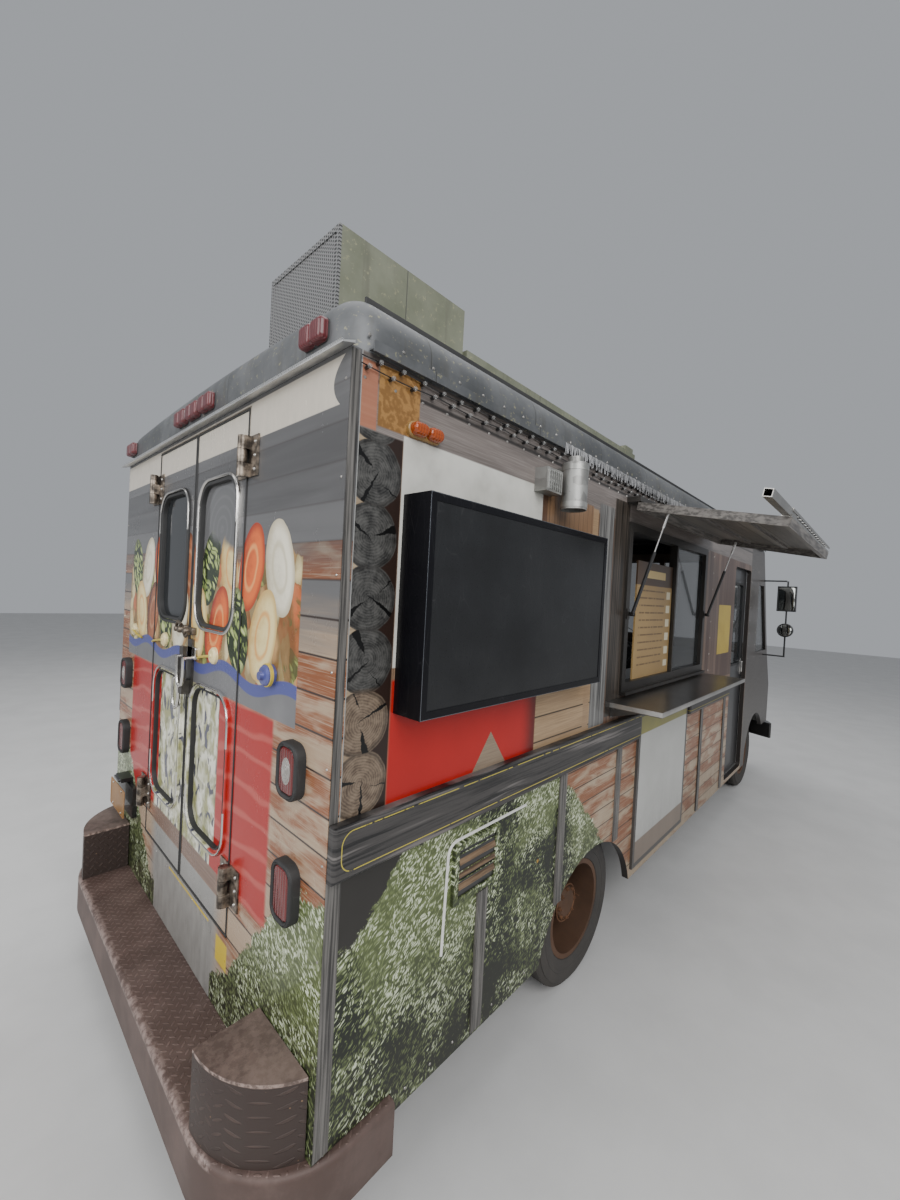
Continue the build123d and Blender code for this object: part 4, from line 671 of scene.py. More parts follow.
    def foot(self, g: Graph, x: Socket, z: Socket, colour: Socket) -> Socket:
        """The lower rear of the side: a dark ground, the hedge, and small grey and orange spots."""
        low = g.fall(z, 1.38, 1.39)
        dark = g.mix(g.noise(g.vector(x, z), 3.0), (0.012, 0.012, 0.011), (0.035, 0.031, 0.027))
        colour = g.mix(g.times(low, g.fall(x, 1.17, 1.24)), colour, dark)
        top = g.plus(1.07, g.times(0.36, g.rise(x, 0.05, 0.5)))
        fall = g.times(g.minus(x, 1.2), 1.0)
        top = g.minus(top, g.math("MAXIMUM", fall, 0.0))
        shade = g.plus(g.rise(g.noise(g.vector(x, z), 1.7, 2.0), 0.5, 0.68),
                       g.times(0.6, g.band(x, 0.74, 0.95, 0.08)))
        leafy = hedge(g, x, z, colour, g.math("MINIMUM", top, 1.3), g.math("MINIMUM", shade, 1.0))
        colour = g.mix(low, colour, leafy)
        seed = g.cells(g.vector(x, z, 5.0), 9.0).outputs
        spot = g.times(g.fall(seed["Distance"], 0.12, 0.17), g.rise(g.chance(seed["Position"]), 0.84, 0.85))
        spot = g.times(spot, g.band(x, 0.15, 1.15, 0.02), g.fall(z, 0.95, 1.0))
        tint = g.mix(g.rise(g.noise(g.vector(x, z), 4.0), 0.48, 0.52), (0.34, 0.35, 0.36), (0.6, 0.33, 0.03))
        return g.mix(spot, colour, tint)


class Motif(Enum):
    """The kinds of oval in the printed field: its light, its dark and its second colour."""

    CREAM = ((0.8, 0.66, 0.32), (0.5, 0.3, 0.09), (0.66, 0.24, 0.035))
    WHITE = ((0.78, 0.74, 0.6), (0.42, 0.36, 0.24), (0.5, 0.44, 0.3))
    RED = ((0.7, 0.14, 0.03), (0.24, 0.018, 0.012), (0.85, 0.42, 0.14))
    GREEN = ((0.26, 0.33, 0.1), (0.02, 0.03, 0.012), (0.5, 0.56, 0.24))
    BROWN = ((0.36, 0.13, 0.06), (0.06, 0.022, 0.014), (0.5, 0.26, 0.14))


@dataclass(frozen=True)
class PrintedRear:
    """The printed wrap on the rear wall and doors: boards, a banner, plain ovals, red cloth and a hedge."""

    name: str = "rear_wrap"
    film: bool = False
    red: Colour = (0.35, 0.016, 0.013)
    pink: Colour = (0.48, 0.1, 0.08)
    cream: Colour = (0.6, 0.55, 0.47)
    sides: tuple[float, float] = (-0.97, 1.03)
    field_low: float = 1.69
    cloth_low: float = 0.98
    banner_z: tuple[float, float] = (2.672, 2.812)
    oval_pitch: float = 0.215
    oval_long: float = 0.17
    oval_short: float = 0.098
    oval_wave: float = 0.1
    oval_leans: tuple[float, float] = (75.0, 105.0)
    wave_middle: float = 1.785
    wave_height: float = 0.024
    wave_half: float = 0.022
    # Columns: height, left of the centreline, motifs from left to right
    rows: tuple[tuple[float, float, tuple[Motif, ...]], ...] = (
        (2.2, 0.9, (Motif.GREEN, Motif.WHITE, Motif.RED, Motif.CREAM, Motif.BROWN, Motif.GREEN, Motif.CREAM,
                    Motif.RED, Motif.WHITE)),
        (1.96, 0.79, (Motif.CREAM, Motif.BROWN, Motif.GREEN, Motif.WHITE, Motif.CREAM, Motif.RED, Motif.GREEN,
                      Motif.CREAM)))

    def material(self) -> bpy.types.Material:
        """The wrap as a material."""
        material, g, shader = start_material(self.name)
        x, y, z = where(g)
        colour = self.boards(g, y, z)
        colour = self.cloth(g, y, z, colour)
        colour = self.mottle(g, y, z, colour)
        colour = self.oval_rows(g, y, z, colour)
        colour = self.banner(g, y, z, colour)
        colour = self.foot(g, y, z, colour)
        weather = g.weather(0.16)
        colour = g.mix(weather.dirt, colour, (0.04, 0.034, 0.028))
        rough = g.plus(0.27, g.times(weather.dirt, 0.4))
        metal: Socket | float = 0.0
        if self.film:
            glass = g.times(g.rise(y, 0.0, 0.01), g.rise(z, 1.9, 1.91))
            colour = g.mix(glass, colour, (0.02, 0.022, 0.024))
            arcs = g.math("SINE", g.times(g.math("SQRT", g.plus(g.math("POWER", g.plus(y, 0.28), 2.0),
                                                                g.math("POWER", g.minus(z, 2.36), 2.0))),
                                          150.0))
            slope = g.plus(g.plus(2.3, g.times(y, 0.3)),
                           g.times(0.12, g.noise(g.vector(y, z, 2.0), 7.0, 2.0)))
            top = g.times(g.rise(g.minus(z, slope), 0.0, 0.07), g.fall(y, -0.01, 0.0))
            grey = g.mix(g.rise(arcs, 0.2, 1.0), (0.12, 0.12, 0.122), (0.135, 0.135, 0.137))
            colour = g.mix(top, colour, grey)
            rough = g.minus(rough, 0.18)
        else:
            colour, rough, metal = self.fittings(g, x, y, z, colour, rough)
        g.feed(shader, "Base Color", colour)
        g.feed(shader, "Roughness", rough)
        g.feed(shader, "Metallic", metal)
        ripple = g.noise(g.vector(y, z), 3.0, 2.0)
        g.feed(shader, "Normal", g.bump(ripple, 0.2, 0.004))
        shader.inputs["Specular IOR Level"].default_value = 0.32
        shader.inputs["Coat Weight"].default_value = 0.08
        return material

    def boards(self, g: Graph, y: Socket, z: Socket) -> Socket:
        """The boards, smooth bluish grey above and brown below."""
        level = g.planks(y, z, 0.114, 21.0)
        tone, grain = level.tone, level.grain
        patches = g.noise(g.vector(g.times(y, 1.6), g.times(z, 5.0), 2.0), 2.6, 3.0, 0.55, 0.5)
        brown = g.mix(g.rise(g.plus(g.times(tone, 0.5), g.times(patches, 0.7)), 0.5, 0.66),
                      (0.22, 0.075, 0.03), (0.37, 0.27, 0.185))
        brown = g.mix(g.times(g.rise(grain, 0.45, 0.75), 0.6), brown, (0.46, 0.37, 0.27))
        brown = g.mix(g.times(0.5, g.fall(grain, 0.24, 0.4)), brown, (0.12, 0.06, 0.035))
        grey = g.mix(g.rise(tone, 0.2, 0.85), (0.07, 0.069, 0.07), (0.125, 0.124, 0.126))
        edge = g.plus(z, g.times(g.minus(tone, 0.5), 0.5))
        colour = g.mix(g.rise(edge, 2.0, 2.25), brown, grey)
        gap = g.plus(0.3, g.times(0.7, g.fall(z, 2.02, 2.32)))
        return g.mix(g.times(level.gap, gap), colour, (0.035, 0.025, 0.022))

    def oval_rows(self, g: Graph, y: Socket, z: Socket, colour: Socket) -> Socket:
        """Two rows of plain ovals in cream, white, red, green and brown over a blue wavy band on grey."""
        fronds = g.group(Groups.foliage, Along=y, Across=z, Size=0.024)
        leaf = fronds.outputs["Leaf"]
        fine = g.noise(g.vector(y, z), 26.0, 4.0, 0.65)
        ground = g.noise(g.vector(g.times(y, 2.4), z), 4.5, 3.0, 0.6, 0.8)
        field = g.mix(g.rise(ground, 0.36, 0.6), (0.34, 0.2, 0.065), (0.62, 0.47, 0.2))
        bend = g.times(0.16, g.noise(g.vector(y, z, 9.0), 6.0, 3.0))
        piece = g.cells(g.vector(g.plus(g.times(y, 1.7), bend), g.plus(g.times(z, 0.9), bend), 4.0),
                        9.0).outputs
        pick = g.chance(piece["Position"])
        piece_tint = g.mix(g.rise(pick, 0.3, 0.31), g.mix(ground, (0.6, 0.5, 0.2), (0.7, 0.62, 0.42)),
                           g.mix(fine, (0.28, 0.13, 0.045), (0.6, 0.36, 0.15)))
        piece_tint = g.mix(g.rise(pick, 0.58, 0.59), piece_tint,
                           g.mix(g.rise(leaf, 0.05, 0.5), (0.03, 0.055, 0.012), (0.25, 0.32, 0.08)))
        piece_tint = g.mix(g.rise(pick, 0.78, 0.79), piece_tint,
                           g.mix(fine, (0.3, 0.03, 0.012), (0.62, 0.16, 0.05)))
        piece_tint = g.mix(g.times(0.75, g.rise(piece["Distance"], 0.34, 0.62)), piece_tint,
                           (0.09, 0.045, 0.015))
        field = g.mix(0.85, field, piece_tint)
        field = g.mix(g.times(0.7, g.rise(g.noise(g.vector(y, z, 6.0), 7.0, 3.0), 0.56, 0.64),
                              g.rise(leaf, 0.1, 0.4)), field,
                      (0.07, 0.1, 0.03))
        crest = g.plus(2.23, g.times(0.4, g.minus(g.noise(g.vector(y, 0.7), 5.0, 3.0), 0.5)))
        span = g.times(g.band(y, *self.sides), g.rise(z, self.field_low, self.field_low + 0.004))
        inside = g.times(span, g.fall(g.minus(z, crest), -0.004, 0.004))
        colour = g.mix(inside, colour, field)
        places = [(height, first - index * self.oval_pitch, self.oval_leans[index % 2], motif)
                  for height, first, motifs in self.rows for index, motif in enumerate(motifs)]
        for height, middle, lean, motif in places:
            light, dark, second = motif.value
            oval = g.group(Groups.oval, Along=y, Up=z, Middle=middle, Height=height, Long=self.oval_long,
                           Short=self.oval_short, Lean=math.radians(lean), Wave=self.oval_wave)
            depth, cross = oval.outputs["Depth"], oval.outputs["Cross"]
            lit = g.plus(g.times(cross, 0.3), g.times(fine, 0.5))
            tint = g.mix(g.rise(lit, -0.25, 0.42), dark, light)
            if motif is Motif.GREEN:
                tint = g.mix(g.rise(leaf, 0.08, 0.3), dark, g.mix(g.rise(leaf, 0.3, 0.8), light, second))
            else:
                tint = g.mix(g.times(0.6, g.band(depth, 0.42, 0.54, 0.05)), tint, second)
            tint = g.mix(g.times(0.75, g.rise(depth, 0.72, 1.0)), tint, dark)
            colour = g.mix(oval.outputs["Mask"], colour, tint)
        above = g.minus(z, g.plus(self.wave_middle,
                                  g.times(self.wave_height, g.math("SINE", g.times(y, 12.0)))))
        grey = g.mix(g.noise(g.vector(y, z), 5.0, 3.0), (0.1, 0.1, 0.105), (0.2, 0.2, 0.205))
        colour = g.mix(g.times(span, g.fall(above, -0.004, 0.0)), colour, grey)
        return g.mix(g.times(span, g.band(above, -self.wave_half, self.wave_half)), colour,
                     (0.07, 0.08, 0.25))

    def cloth(self, g: Graph, y: Socket, z: Socket, colour: Socket) -> Socket:
        """The upright red cloths with their paler stripes."""
        wave = g.noise(g.vector(y, g.times(z, 2.0)), 2.4, 2.0)
        run = g.plus(g.times(z, 9.5), g.plus(g.times(wave, 1.2), g.times(y, 0.7)))
        stripe = g.band(g.math("FRACT", run), 0.34, 0.55, 0.07)
        red = g.mix(g.times(stripe, 0.6), self.red, self.pink)
        red = g.mix(g.times(0.3, g.rise(g.noise(g.vector(y, z), 5.0), 0.5, 0.8)), red, (0.22, 0.015, 0.012))
        right = g.patch(y, -0.83, -0.335, z, self.cloth_low, self.field_low, 0.012)
        left = g.patch(y, 0.4, 0.9, z, self.cloth_low, self.field_low, 0.012)
        return g.mix(g.plus(right, left), colour, red)

    def mottle(self, g: Graph, y: Socket, z: Socket, colour: Socket) -> Socket:
        """The mottled cream, olive and black field between the cloths."""
        warp = g.noise(g.vector(y, z, 3.0), 5.0, 2.0)
        spot = g.vector(g.plus(y, g.times(warp, 0.12)), g.times(z, 0.6), 8.0)
        cream = g.mix(g.rise(g.noise(spot, 14.0, 3.0), 0.35, 0.65), (0.3, 0.3, 0.13), (0.74, 0.73, 0.62))
        cream = g.mix(g.times(0.6, g.rise(g.noise(spot, 31.0, 2.0), 0.52, 0.62)), cream, (0.2, 0.2, 0.1))
        black = g.rise(g.noise(g.vector(g.times(y, 2.0), z, 15.0), 9.0, 2.0, 0.5, 0.8), 0.57, 0.62)
        tint = g.mix(black, cream, g.mix(warp, (0.006, 0.006, 0.014), (0.12, 0.12, 0.16)))
        return g.mix(g.patch(y, -0.335, 0.42, z, 0.97, self.field_low, 0.006), colour, tint)

    def banner(self, g: Graph, y: Socket, z: Socket, colour: Socket) -> Socket:
        """The plain cream banner under the drip rail, with one hollow end."""
        worn = g.noise(g.vector(g.times(y, 3.0), z), 12.0, 4.0)
        cream = g.mix(worn, scaled(self.cream, 0.8), self.cream)
        end = g.plus(-1.1, g.times(g.math("POWER", g.minus(z, 2.735), 2.0), -9.0))
        return g.mix(g.times(g.band(z, *self.banner_z, 0.002), g.rise(g.minus(y, end), 0.0, 0.003)), colour,
                     cream)

    def foot(self, g: Graph, y: Socket, z: Socket, colour: Socket) -> Socket:
        """The brown board, the grey panel, the hedge that rises to the corners and the plain sill."""
        wide = g.math("ABSOLUTE", g.plus(y, 0.02))
        board = g.planks(y, z, 0.13, 31.0)
        brown = g.mix(board.grain, (0.06, 0.03, 0.022), (0.3, 0.2, 0.15))
        colour = g.mix(g.times(g.fall(wide, 0.36, 0.5), g.band(z, 0.9, 0.985, 0.004)), colour, brown)
        grey = g.mix(g.noise(g.vector(y, z), 6.0), (0.2, 0.195, 0.18), (0.32, 0.315, 0.3))
        colour = g.mix(g.times(g.fall(wide, 0.36, 0.5), g.fall(z, 0.898, 0.902)), colour, grey)
        colour = hedge(g, y, z, colour, self.hedge_top(g, wide), 0.0)
        sill = g.times(g.fall(z, 0.783, 0.787), g.fall(wide, 0.37, 0.38))
        metal = g.mix(g.noise(g.vector(g.times(y, 3.0), z), 9.0, 4.0), (0.14, 0.135, 0.125),
                      (0.34, 0.33, 0.31))
        colour = g.mix(sill, colour, metal)
        line = g.patch(y, -0.36, 0.14, z, 0.762, 0.772, 0.001)
        return g.mix(g.plus(line, g.patch(y, -0.545, -0.44, z, 0.66, 0.76, 0.004)), colour, (0.55, 0.4, 0.04))

    def hedge_top(self, g: Graph, wide: Socket) -> Socket:
        """How high the hedge stands, rising towards the corners."""
        return g.plus(0.6, g.times(0.62, g.rise(wide, 0.36, 1.1)))

    def fittings(self, g: Graph, x: Socket, y: Socket, z: Socket, colour: Socket,
                 rough: Socket) -> tuple[Socket, Socket, Socket]:
        """The metal that stands off the wall: the drip rail, the hinges and the handle block."""
        proud = g.fall(x, -0.0016, -0.001)
        rail = g.times(proud, g.rise(z, 2.79, 2.795))
        low = g.times(proud, g.fall(z, 2.79, 2.795))
        worn = g.noise(g.vector(y, z, x), 30.0, 4.0)
        bronze = g.mix(g.rise(worn, 0.35, 0.7), (0.06, 0.05, 0.042), (0.36, 0.3, 0.24))
        handle = g.times(low, g.band(z, 1.5, 1.95, 0.01))
        colour = g.mix(rail, colour, g.mix(worn, (0.45, 0.45, 0.45), (0.72, 0.72, 0.71)))
        colour = g.mix(low, colour, bronze)
        colour = g.mix(handle, colour, g.mix(worn, (0.03, 0.028, 0.026), (0.16, 0.15, 0.14)))
        inner = g.rise(x, 0.036, 0.038)
        colour = g.mix(inner, colour, (0.3, 0.3, 0.29))
        rough = g.blend(proud, rough, g.plus(0.25, g.times(worn, 0.3)))
        return colour, rough, g.times(proud, 0.85)


@dataclass(frozen=True)
class Weathered:
    """Bare or galvanised metal with cloudy zinc, dirt and streaks."""

    name: str
    colour: Colour
    dark: Colour
    rough: float = 0.45
    metallic: float = 0.8
    spangle: float = 22.0
    dirt: float = 0.4

    def material(self) -> bpy.types.Material:
        """The metal as a material."""
        material, g, shader = start_material(self.name)
        spot = g.add("ShaderNodeTexCoord").outputs["Object"]
        weather = g.weather(self.dirt)
        cell = g.cells(spot, self.spangle, "F1", 1.0)
        tone = g.plus(g.times(g.chance(cell.outputs["Position"]), 0.4), g.times(0.6, g.noise(spot, 6.0, 4.0)))
        colour = g.mix(tone, self.dark, self.colour)
        g.feed(shader, "Base Color", g.mix(weather.dirt, colour, (0.07, 0.055, 0.045)))
        g.feed(shader, "Roughness", g.math("ADD", self.rough - 0.1, g.times(tone, 0.2), clamp=True))
        g.feed(shader, "Normal", g.bump(g.noise(spot, 60.0, 3.0), 0.15, 0.001))
        shader.inputs["Metallic"].default_value = self.metallic
        return material


@dataclass(frozen=True)
class Mouldings:
    """The rub rails, posts and corner strips: streaked old wood, with a yellow line on the rails."""

    name: str = "streaked_mouldings"
    line: tuple[float, float, float, float] = (0.028, 1.327, 1.445, 0.04)

    def material(self) -> bpy.types.Material:
        """The mouldings as a material."""
        material, g, shader = start_material(self.name)
        x, y, z = where(g)
        rail = g.band(z, 1.2985, 1.4665, 0.0005)
        bent = g.noise(g.vector(x, g.times(z, 3.0)), 1.6, 2.0)
        lift = g.plus(z, g.times(bent, 0.03))
        streak = g.noise(g.vector(g.times(x, 2.2), g.times(lift, 85.0), y), 1.0, 4.0, 0.62)
        broad = g.noise(g.vector(g.times(x, 0.9), g.times(lift, 24.0), 4.0), 1.0, 2.0)
        dark = g.mix(g.rise(streak, 0.34, 0.6), (0.007, 0.007, 0.0075), (0.05, 0.046, 0.044))
        dark = g.mix(g.times(0.85, g.rise(broad, 0.54, 0.64), g.rise(streak, 0.4, 0.58)), dark,
                     (0.165, 0.15, 0.142))
        grain = g.noise(g.vector(g.times(x, 120.0), g.times(z, 2.6), g.times(y, 120.0)), 1.0, 4.0, 0.6)
        grey = g.mix(g.rise(grain, 0.32, 0.7), (0.02, 0.019, 0.018), (0.17, 0.16, 0.148))
        colour = g.mix(rail, grey, dark)
        start, low, high, radius = self.line
        middle, half = (low + high) / 2, (high - low) / 2
        behind = g.math("MAXIMUM", g.minus(start + radius, x), 0.0)
        aside = g.math("MAXIMUM", g.minus(g.math("ABSOLUTE", g.minus(z, middle)), half - radius), 0.0)
        reach = g.distance(behind, aside)
        worn = g.rise(g.noise(g.vector(g.times(x, 4.0), z), 6.0, 3.0), 0.36, 0.44)
        colour = g.mix(g.times(rail, worn, g.band(reach, radius - 0.0016, radius + 0.0016, 0.0006)), colour,
                       (0.46, 0.38, 0.05))
        patch = g.times(g.fall(x, 0.055, 0.06), g.rise(g.noise(g.vector(y, z), 3.2, 3.0), 0.6, 0.64))
        colour = g.mix(g.times(0.7, patch, g.fall(z, 1.29, 1.3)), colour, (0.34, 0.27, 0.05))
        weather = g.weather(0.25)
        g.feed(shader, "Base Color", g.mix(weather.dirt, colour, (0.05, 0.042, 0.036)))
        g.feed(shader, "Roughness", g.plus(0.3, g.times(streak, 0.25)))
        g.feed(shader, "Normal", g.bump(g.blend(rail, grain, streak), 0.3, 0.002))
        return material


@dataclass(frozen=True)
class StepPaint:
    """The brown rear step: tread plate on top, a smooth worn lip, and darker corner boxes with plain lids."""

    name: str = "brown_step_paint"
    brown: Colour = (0.096, 0.057, 0.047)
    worn: Colour = (0.235, 0.16, 0.138)
    box_brown: Colour = (0.04, 0.025, 0.021)
    top: float = 0.47
    box_top: float = 0.72
    pitch: float = 0.027

    def material(self) -> bpy.types.Material:
        """The paint as a material."""
        material, g, shader = start_material(self.name)
        x, y, z = where(g)
        walls = g.times(g.rise(z, self.top + 0.001, self.top + 0.002),
                        g.fall(z, self.box_top - 0.012, self.box_top - 0.01))
        lid = g.rise(z, self.box_top - 0.012, self.box_top - 0.01)
        deck = g.times(g.rise(z, self.top - 0.003, self.top - 0.001),
                       g.fall(z, self.top + 0.001, self.top + 0.002))
        flat_bars = g.group(Groups.tread, Along=x, Across=y, Pitch=self.pitch).outputs["Bar"]
        round_run = g.minus(g.math("ABSOLUTE", y), x)
        wall_bars = g.group(Groups.tread, Along=round_run, Across=z, Pitch=self.pitch * 1.1).outputs["Bar"]
        bars = g.plus(g.times(deck, flat_bars, g.rise(x, -0.205, -0.2)), g.times(walls, wall_bars))
        patchy = g.rise(g.noise(g.vector(x, y, z), 6.0, 5.0, 0.65), 0.38, 0.66)
        fine = g.noise(g.vector(x, y, z), 42.0, 4.0, 0.7)
        colour = g.mix(g.times(patchy, 0.35), self.brown, self.worn)
        wear = g.times(deck, bars, g.plus(0.3, g.times(0.6, patchy)))
        colour = g.mix(wear, colour, self.worn)
        edge = g.times(g.band(z, self.top - 0.02, self.top + 0.001, 0.004), g.fall(x, -0.205, -0.195))
        colour = g.mix(g.times(edge, g.rise(fine, 0.4, 0.6)), colour, (0.34, 0.25, 0.22))
        box = g.mix(g.times(0.5, wall_bars, patchy), self.box_brown, (0.11, 0.07, 0.056))
        speck = g.cells(g.vector(x, y, z), 34.0).outputs
        spots = g.times(g.fall(speck["Distance"], 0.05, 0.12),
                        g.rise(g.chance(speck["Position"]), 0.86, 0.87))
        box = g.mix(g.times(0.7, spots), box, (0.5, 0.3, 0.16))
        colour = g.mix(walls, colour, box)
        lid_tone = g.mix(patchy, (0.085, 0.058, 0.048), (0.17, 0.12, 0.1))
        rim = g.times(g.band(z, self.box_top - 0.012, self.box_top - 0.001, 0.002), g.rise(fine, 0.42, 0.58))
        colour = g.mix(lid, colour, g.mix(rim, lid_tone, (0.38, 0.28, 0.24)))
        weather = g.weather(0.4)
        g.feed(shader, "Base Color", g.mix(weather.dirt, colour, (0.045, 0.036, 0.03)))
        g.feed(shader, "Roughness", g.minus(0.56, g.times(g.plus(wear, g.times(0.5, edge)), 0.3)))
        g.feed(shader, "Normal", g.bump(g.plus(bars, g.times(fine, 0.12)), 0.75, 0.0022))
        shader.inputs["Metallic"].default_value = 0.15
        return material


@dataclass(frozen=True)
class BoardFaces:
    """The menu board in the serving window, ruled and blank, and the plain notice board below it."""

    name: str = "board_faces"

    def material(self) -> bpy.types.Material:
        """The boards' faces as a material."""
        material, g, shader = start_material(self.name)
        x, y, z = where(g)
        paper = g.noise(g.vector(x, z), 5.0, 4.0)
        tan = g.mix(paper, (0.27, 0.17, 0.065), (0.4, 0.27, 0.115))
        row = g.math("FRACT", g.math("DIVIDE", z, 0.047))
        rules = g.times(g.band(row, 0.3, 0.52, 0.03), g.band(x, 2.19, 2.62, 0.002),
                        g.band(z, 1.72, 2.24, 0.002))
        broken = g.rise(g.noise(g.vector(g.times(x, 45.0), g.math("FLOOR", g.math("DIVIDE", z, 0.047))), 1.0,
                                1.0), 0.4, 0.45)
        colour = g.mix(g.times(0.75, rules, broken), tan, (0.09, 0.05, 0.02))
        labels = g.times(g.band(g.math("FRACT", g.math("DIVIDE", z, 0.094)), 0.2, 0.75, 0.02),
                         g.patch(x, 2.66, 2.73, z, 1.72, 2.24))
        colour = g.mix(labels, colour, (0.66, 0.6, 0.44))
        head = g.mix(paper, (0.045, 0.025, 0.014), (0.1, 0.06, 0.035))
        colour = g.mix(g.rise(z, 2.26, 2.265), colour, head)
        colour = g.mix(g.patch(x, 2.28, 2.62, z, 2.31, 2.36, 0.001), colour, (0.6, 0.45, 0.2))
        low = g.fall(z, 1.55, 1.56)
        notice = g.mix(paper, (0.36, 0.36, 0.34), (0.5, 0.5, 0.48))
        notice = g.mix(g.rise(z, 1.31, 1.314), notice, g.mix(paper, (0.15, 0.14, 0.035), (0.3, 0.28, 0.09)))
        band = g.mix(paper, (0.16, 0.12, 0.09), (0.26, 0.21, 0.17))
        notice = g.mix(g.fall(z, 0.62, 0.625), notice, band)
        frame_mask = g.flip(g.patch(x, 2.28, 3.18, z, 0.486, 1.425, 0.001))
        notice = g.mix(frame_mask, notice, g.mix(paper, (0.03, 0.028, 0.026), (0.1, 0.095, 0.09)))
        colour = g.mix(low, colour, notice)
        weather = g.weather(0.25)
        g.feed(shader, "Base Color", g.mix(weather.dirt, colour, (0.06, 0.05, 0.04)))
        g.feed(shader, "Roughness", g.plus(0.3, g.times(paper, 0.2)))
        return material


@dataclass(frozen=True)
class Boarding:
    """Old boards that run along the truck, printed on sheet metal."""

    name: str
    light: Colour = (0.17, 0.155, 0.14)
    dark: Colour = (0.05, 0.044, 0.04)
    height: float = 0.12

    def material(self) -> bpy.types.Material:
        """The boards as a material."""
        material, g, shader = start_material(self.name)
        x, y, z = where(g)
        boards = g.planks(x, g.plus(y, g.times(z, 0.4)), self.height, 41.0)
        colour = g.mix(g.rise(boards.tone, 0.25, 0.8), self.dark, self.light)
        colour = g.mix(g.times(0.6, g.rise(boards.grain, 0.4, 0.7)), colour, scaled(self.light, 1.5))
        colour = g.mix(boards.gap, colour, (0.02, 0.018, 0.016))
        way = g.facing("Z")
        rub = g.noise(g.vector(g.times(x, 3.0), g.times(y, 20.0), g.times(z, 40.0)), 2.0, 4.0)
        edge = g.mix(g.rise(rub, 0.35, 0.65), self.dark, self.light)
        colour = g.mix(g.rise(g.math("ABSOLUTE", way), 0.5, 0.6), edge, colour)
        weather = g.weather(0.4)
        g.feed(shader, "Base Color", g.mix(weather.dirt, colour, (0.035, 0.03, 0.027)))
        g.feed(shader, "Roughness", g.plus(0.42, g.times(weather.dirt, 0.4)))
        g.feed(shader, "Normal", g.bump(boards.grain, 0.15, 0.001))
        return material


@dataclass(frozen=True)
class RoofPaint:
    """Roof sheet and roof boxes: dull paint with seams, streaks of soot and a perforated rear face."""

    name: str
    light: Colour
    dark: Colour
    seam: float
    perforated: float = -1.0
    metallic: float = 0.2

    def material(self) -> bpy.types.Material:
        """The sheet as a material."""
        material, g, shader = start_material(self.name)
        x, y, z = where(g)
        cloud = g.noise(g.vector(x, y, z), 2.6, 5.0, 0.65)
        speck = g.rise(g.noise(g.vector(x, y, z), 46.0, 3.0, 0.7), 0.6, 0.68)
        runs = g.noise(g.vector(g.times(x, 24.0), g.times(y, 24.0), g.times(z, 1.6)), 1.0, 3.0)
        colour = g.mix(g.rise(cloud, 0.3, 0.7), self.dark, self.light)
        colour = g.mix(g.times(0.4, g.rise(runs, 0.52, 0.75)), colour, (0.08, 0.075, 0.06))
        colour = g.mix(g.times(0.5, speck), colour, (0.36, 0.34, 0.2))
        lines = None
        for run in (x, y):
            place = g.math("FRACT", g.math("DIVIDE", run, self.seam))
            line = g.fall(g.math("ABSOLUTE", g.minus(place, 0.5)), 0.002 / self.seam, 0.004 / self.seam)
            lines = line if lines is None else g.math("MAXIMUM", lines, line)
        colour = g.mix(g.times(0.7, lines), colour, (0.05, 0.05, 0.045))
        height = g.flip(lines)
        if self.perforated > 0.0:
            a = g.math("DIVIDE", y, 0.014)
            b = g.plus(g.math("DIVIDE", z, 0.014), g.times(g.math("MODULO", g.math("FLOOR", a), 2.0), 0.5))
            u, v = (g.minus(g.math("FRACT", w), 0.5) for w in (a, b))
            radius = g.distance(u, v)
            hole = g.times(g.fall(radius, 0.3, 0.38), g.fall(x, self.perforated, self.perforated + 0.002))
            colour = g.mix(g.fall(x, self.perforated, self.perforated + 0.002), colour, (0.2, 0.2, 0.2))
            colour = g.mix(hole, colour, (0.02, 0.02, 0.02))
        weather = g.weather(0.3)
        g.feed(shader, "Base Color", g.mix(weather.dirt, colour, (0.06, 0.055, 0.045)))
        g.feed(shader, "Roughness", g.plus(0.4, g.times(cloud, 0.2)))
        g.feed(shader, "Normal", g.bump(height, 0.4, 0.002))
        shader.inputs["Metallic"].default_value = self.metallic
        return material


@dataclass(frozen=True)
class WallFittings:
    """The lamp and its box in mottled zinc, and the louvre frame low on the wall in the hedge print."""

    name: str = "wall_fittings"

    def material(self) -> bpy.types.Material:
        """The finish as a material."""
        material, g, shader = start_material(self.name)
        x, y, z = where(g)
        spot = g.vector(x, y, z)
        cell = g.cells(spot, 26.0)
        tone = g.plus(g.times(g.chance(cell.outputs["Position"]), 0.45),
                      g.times(0.55, g.noise(spot, 9.0, 4.0)))
        zinc = g.mix(tone, (0.16, 0.155, 0.145), (0.5, 0.5, 0.48))
        leafy = hedge(g, x, z, g.mix(tone, (0.02, 0.018, 0.015), (0.05, 0.04, 0.03)), g.plus(z, 0.2), 0.2)
        low = g.fall(z, 1.28, 1.29)
        weather = g.weather(0.5)
        colour = g.mix(g.times(weather.dirt, g.flip(low)), g.mix(low, zinc, leafy), (0.08, 0.065, 0.05))
        g.feed(shader, "Base Color", colour)
        g.feed(shader, "Roughness", g.plus(0.36, g.times(tone, 0.2)))
        g.feed(shader, "Metallic", g.times(g.flip(low), 0.75))
        g.feed(shader, "Normal", g.bump(g.noise(spot, 50.0, 3.0), 0.15, 0.001))
        return material


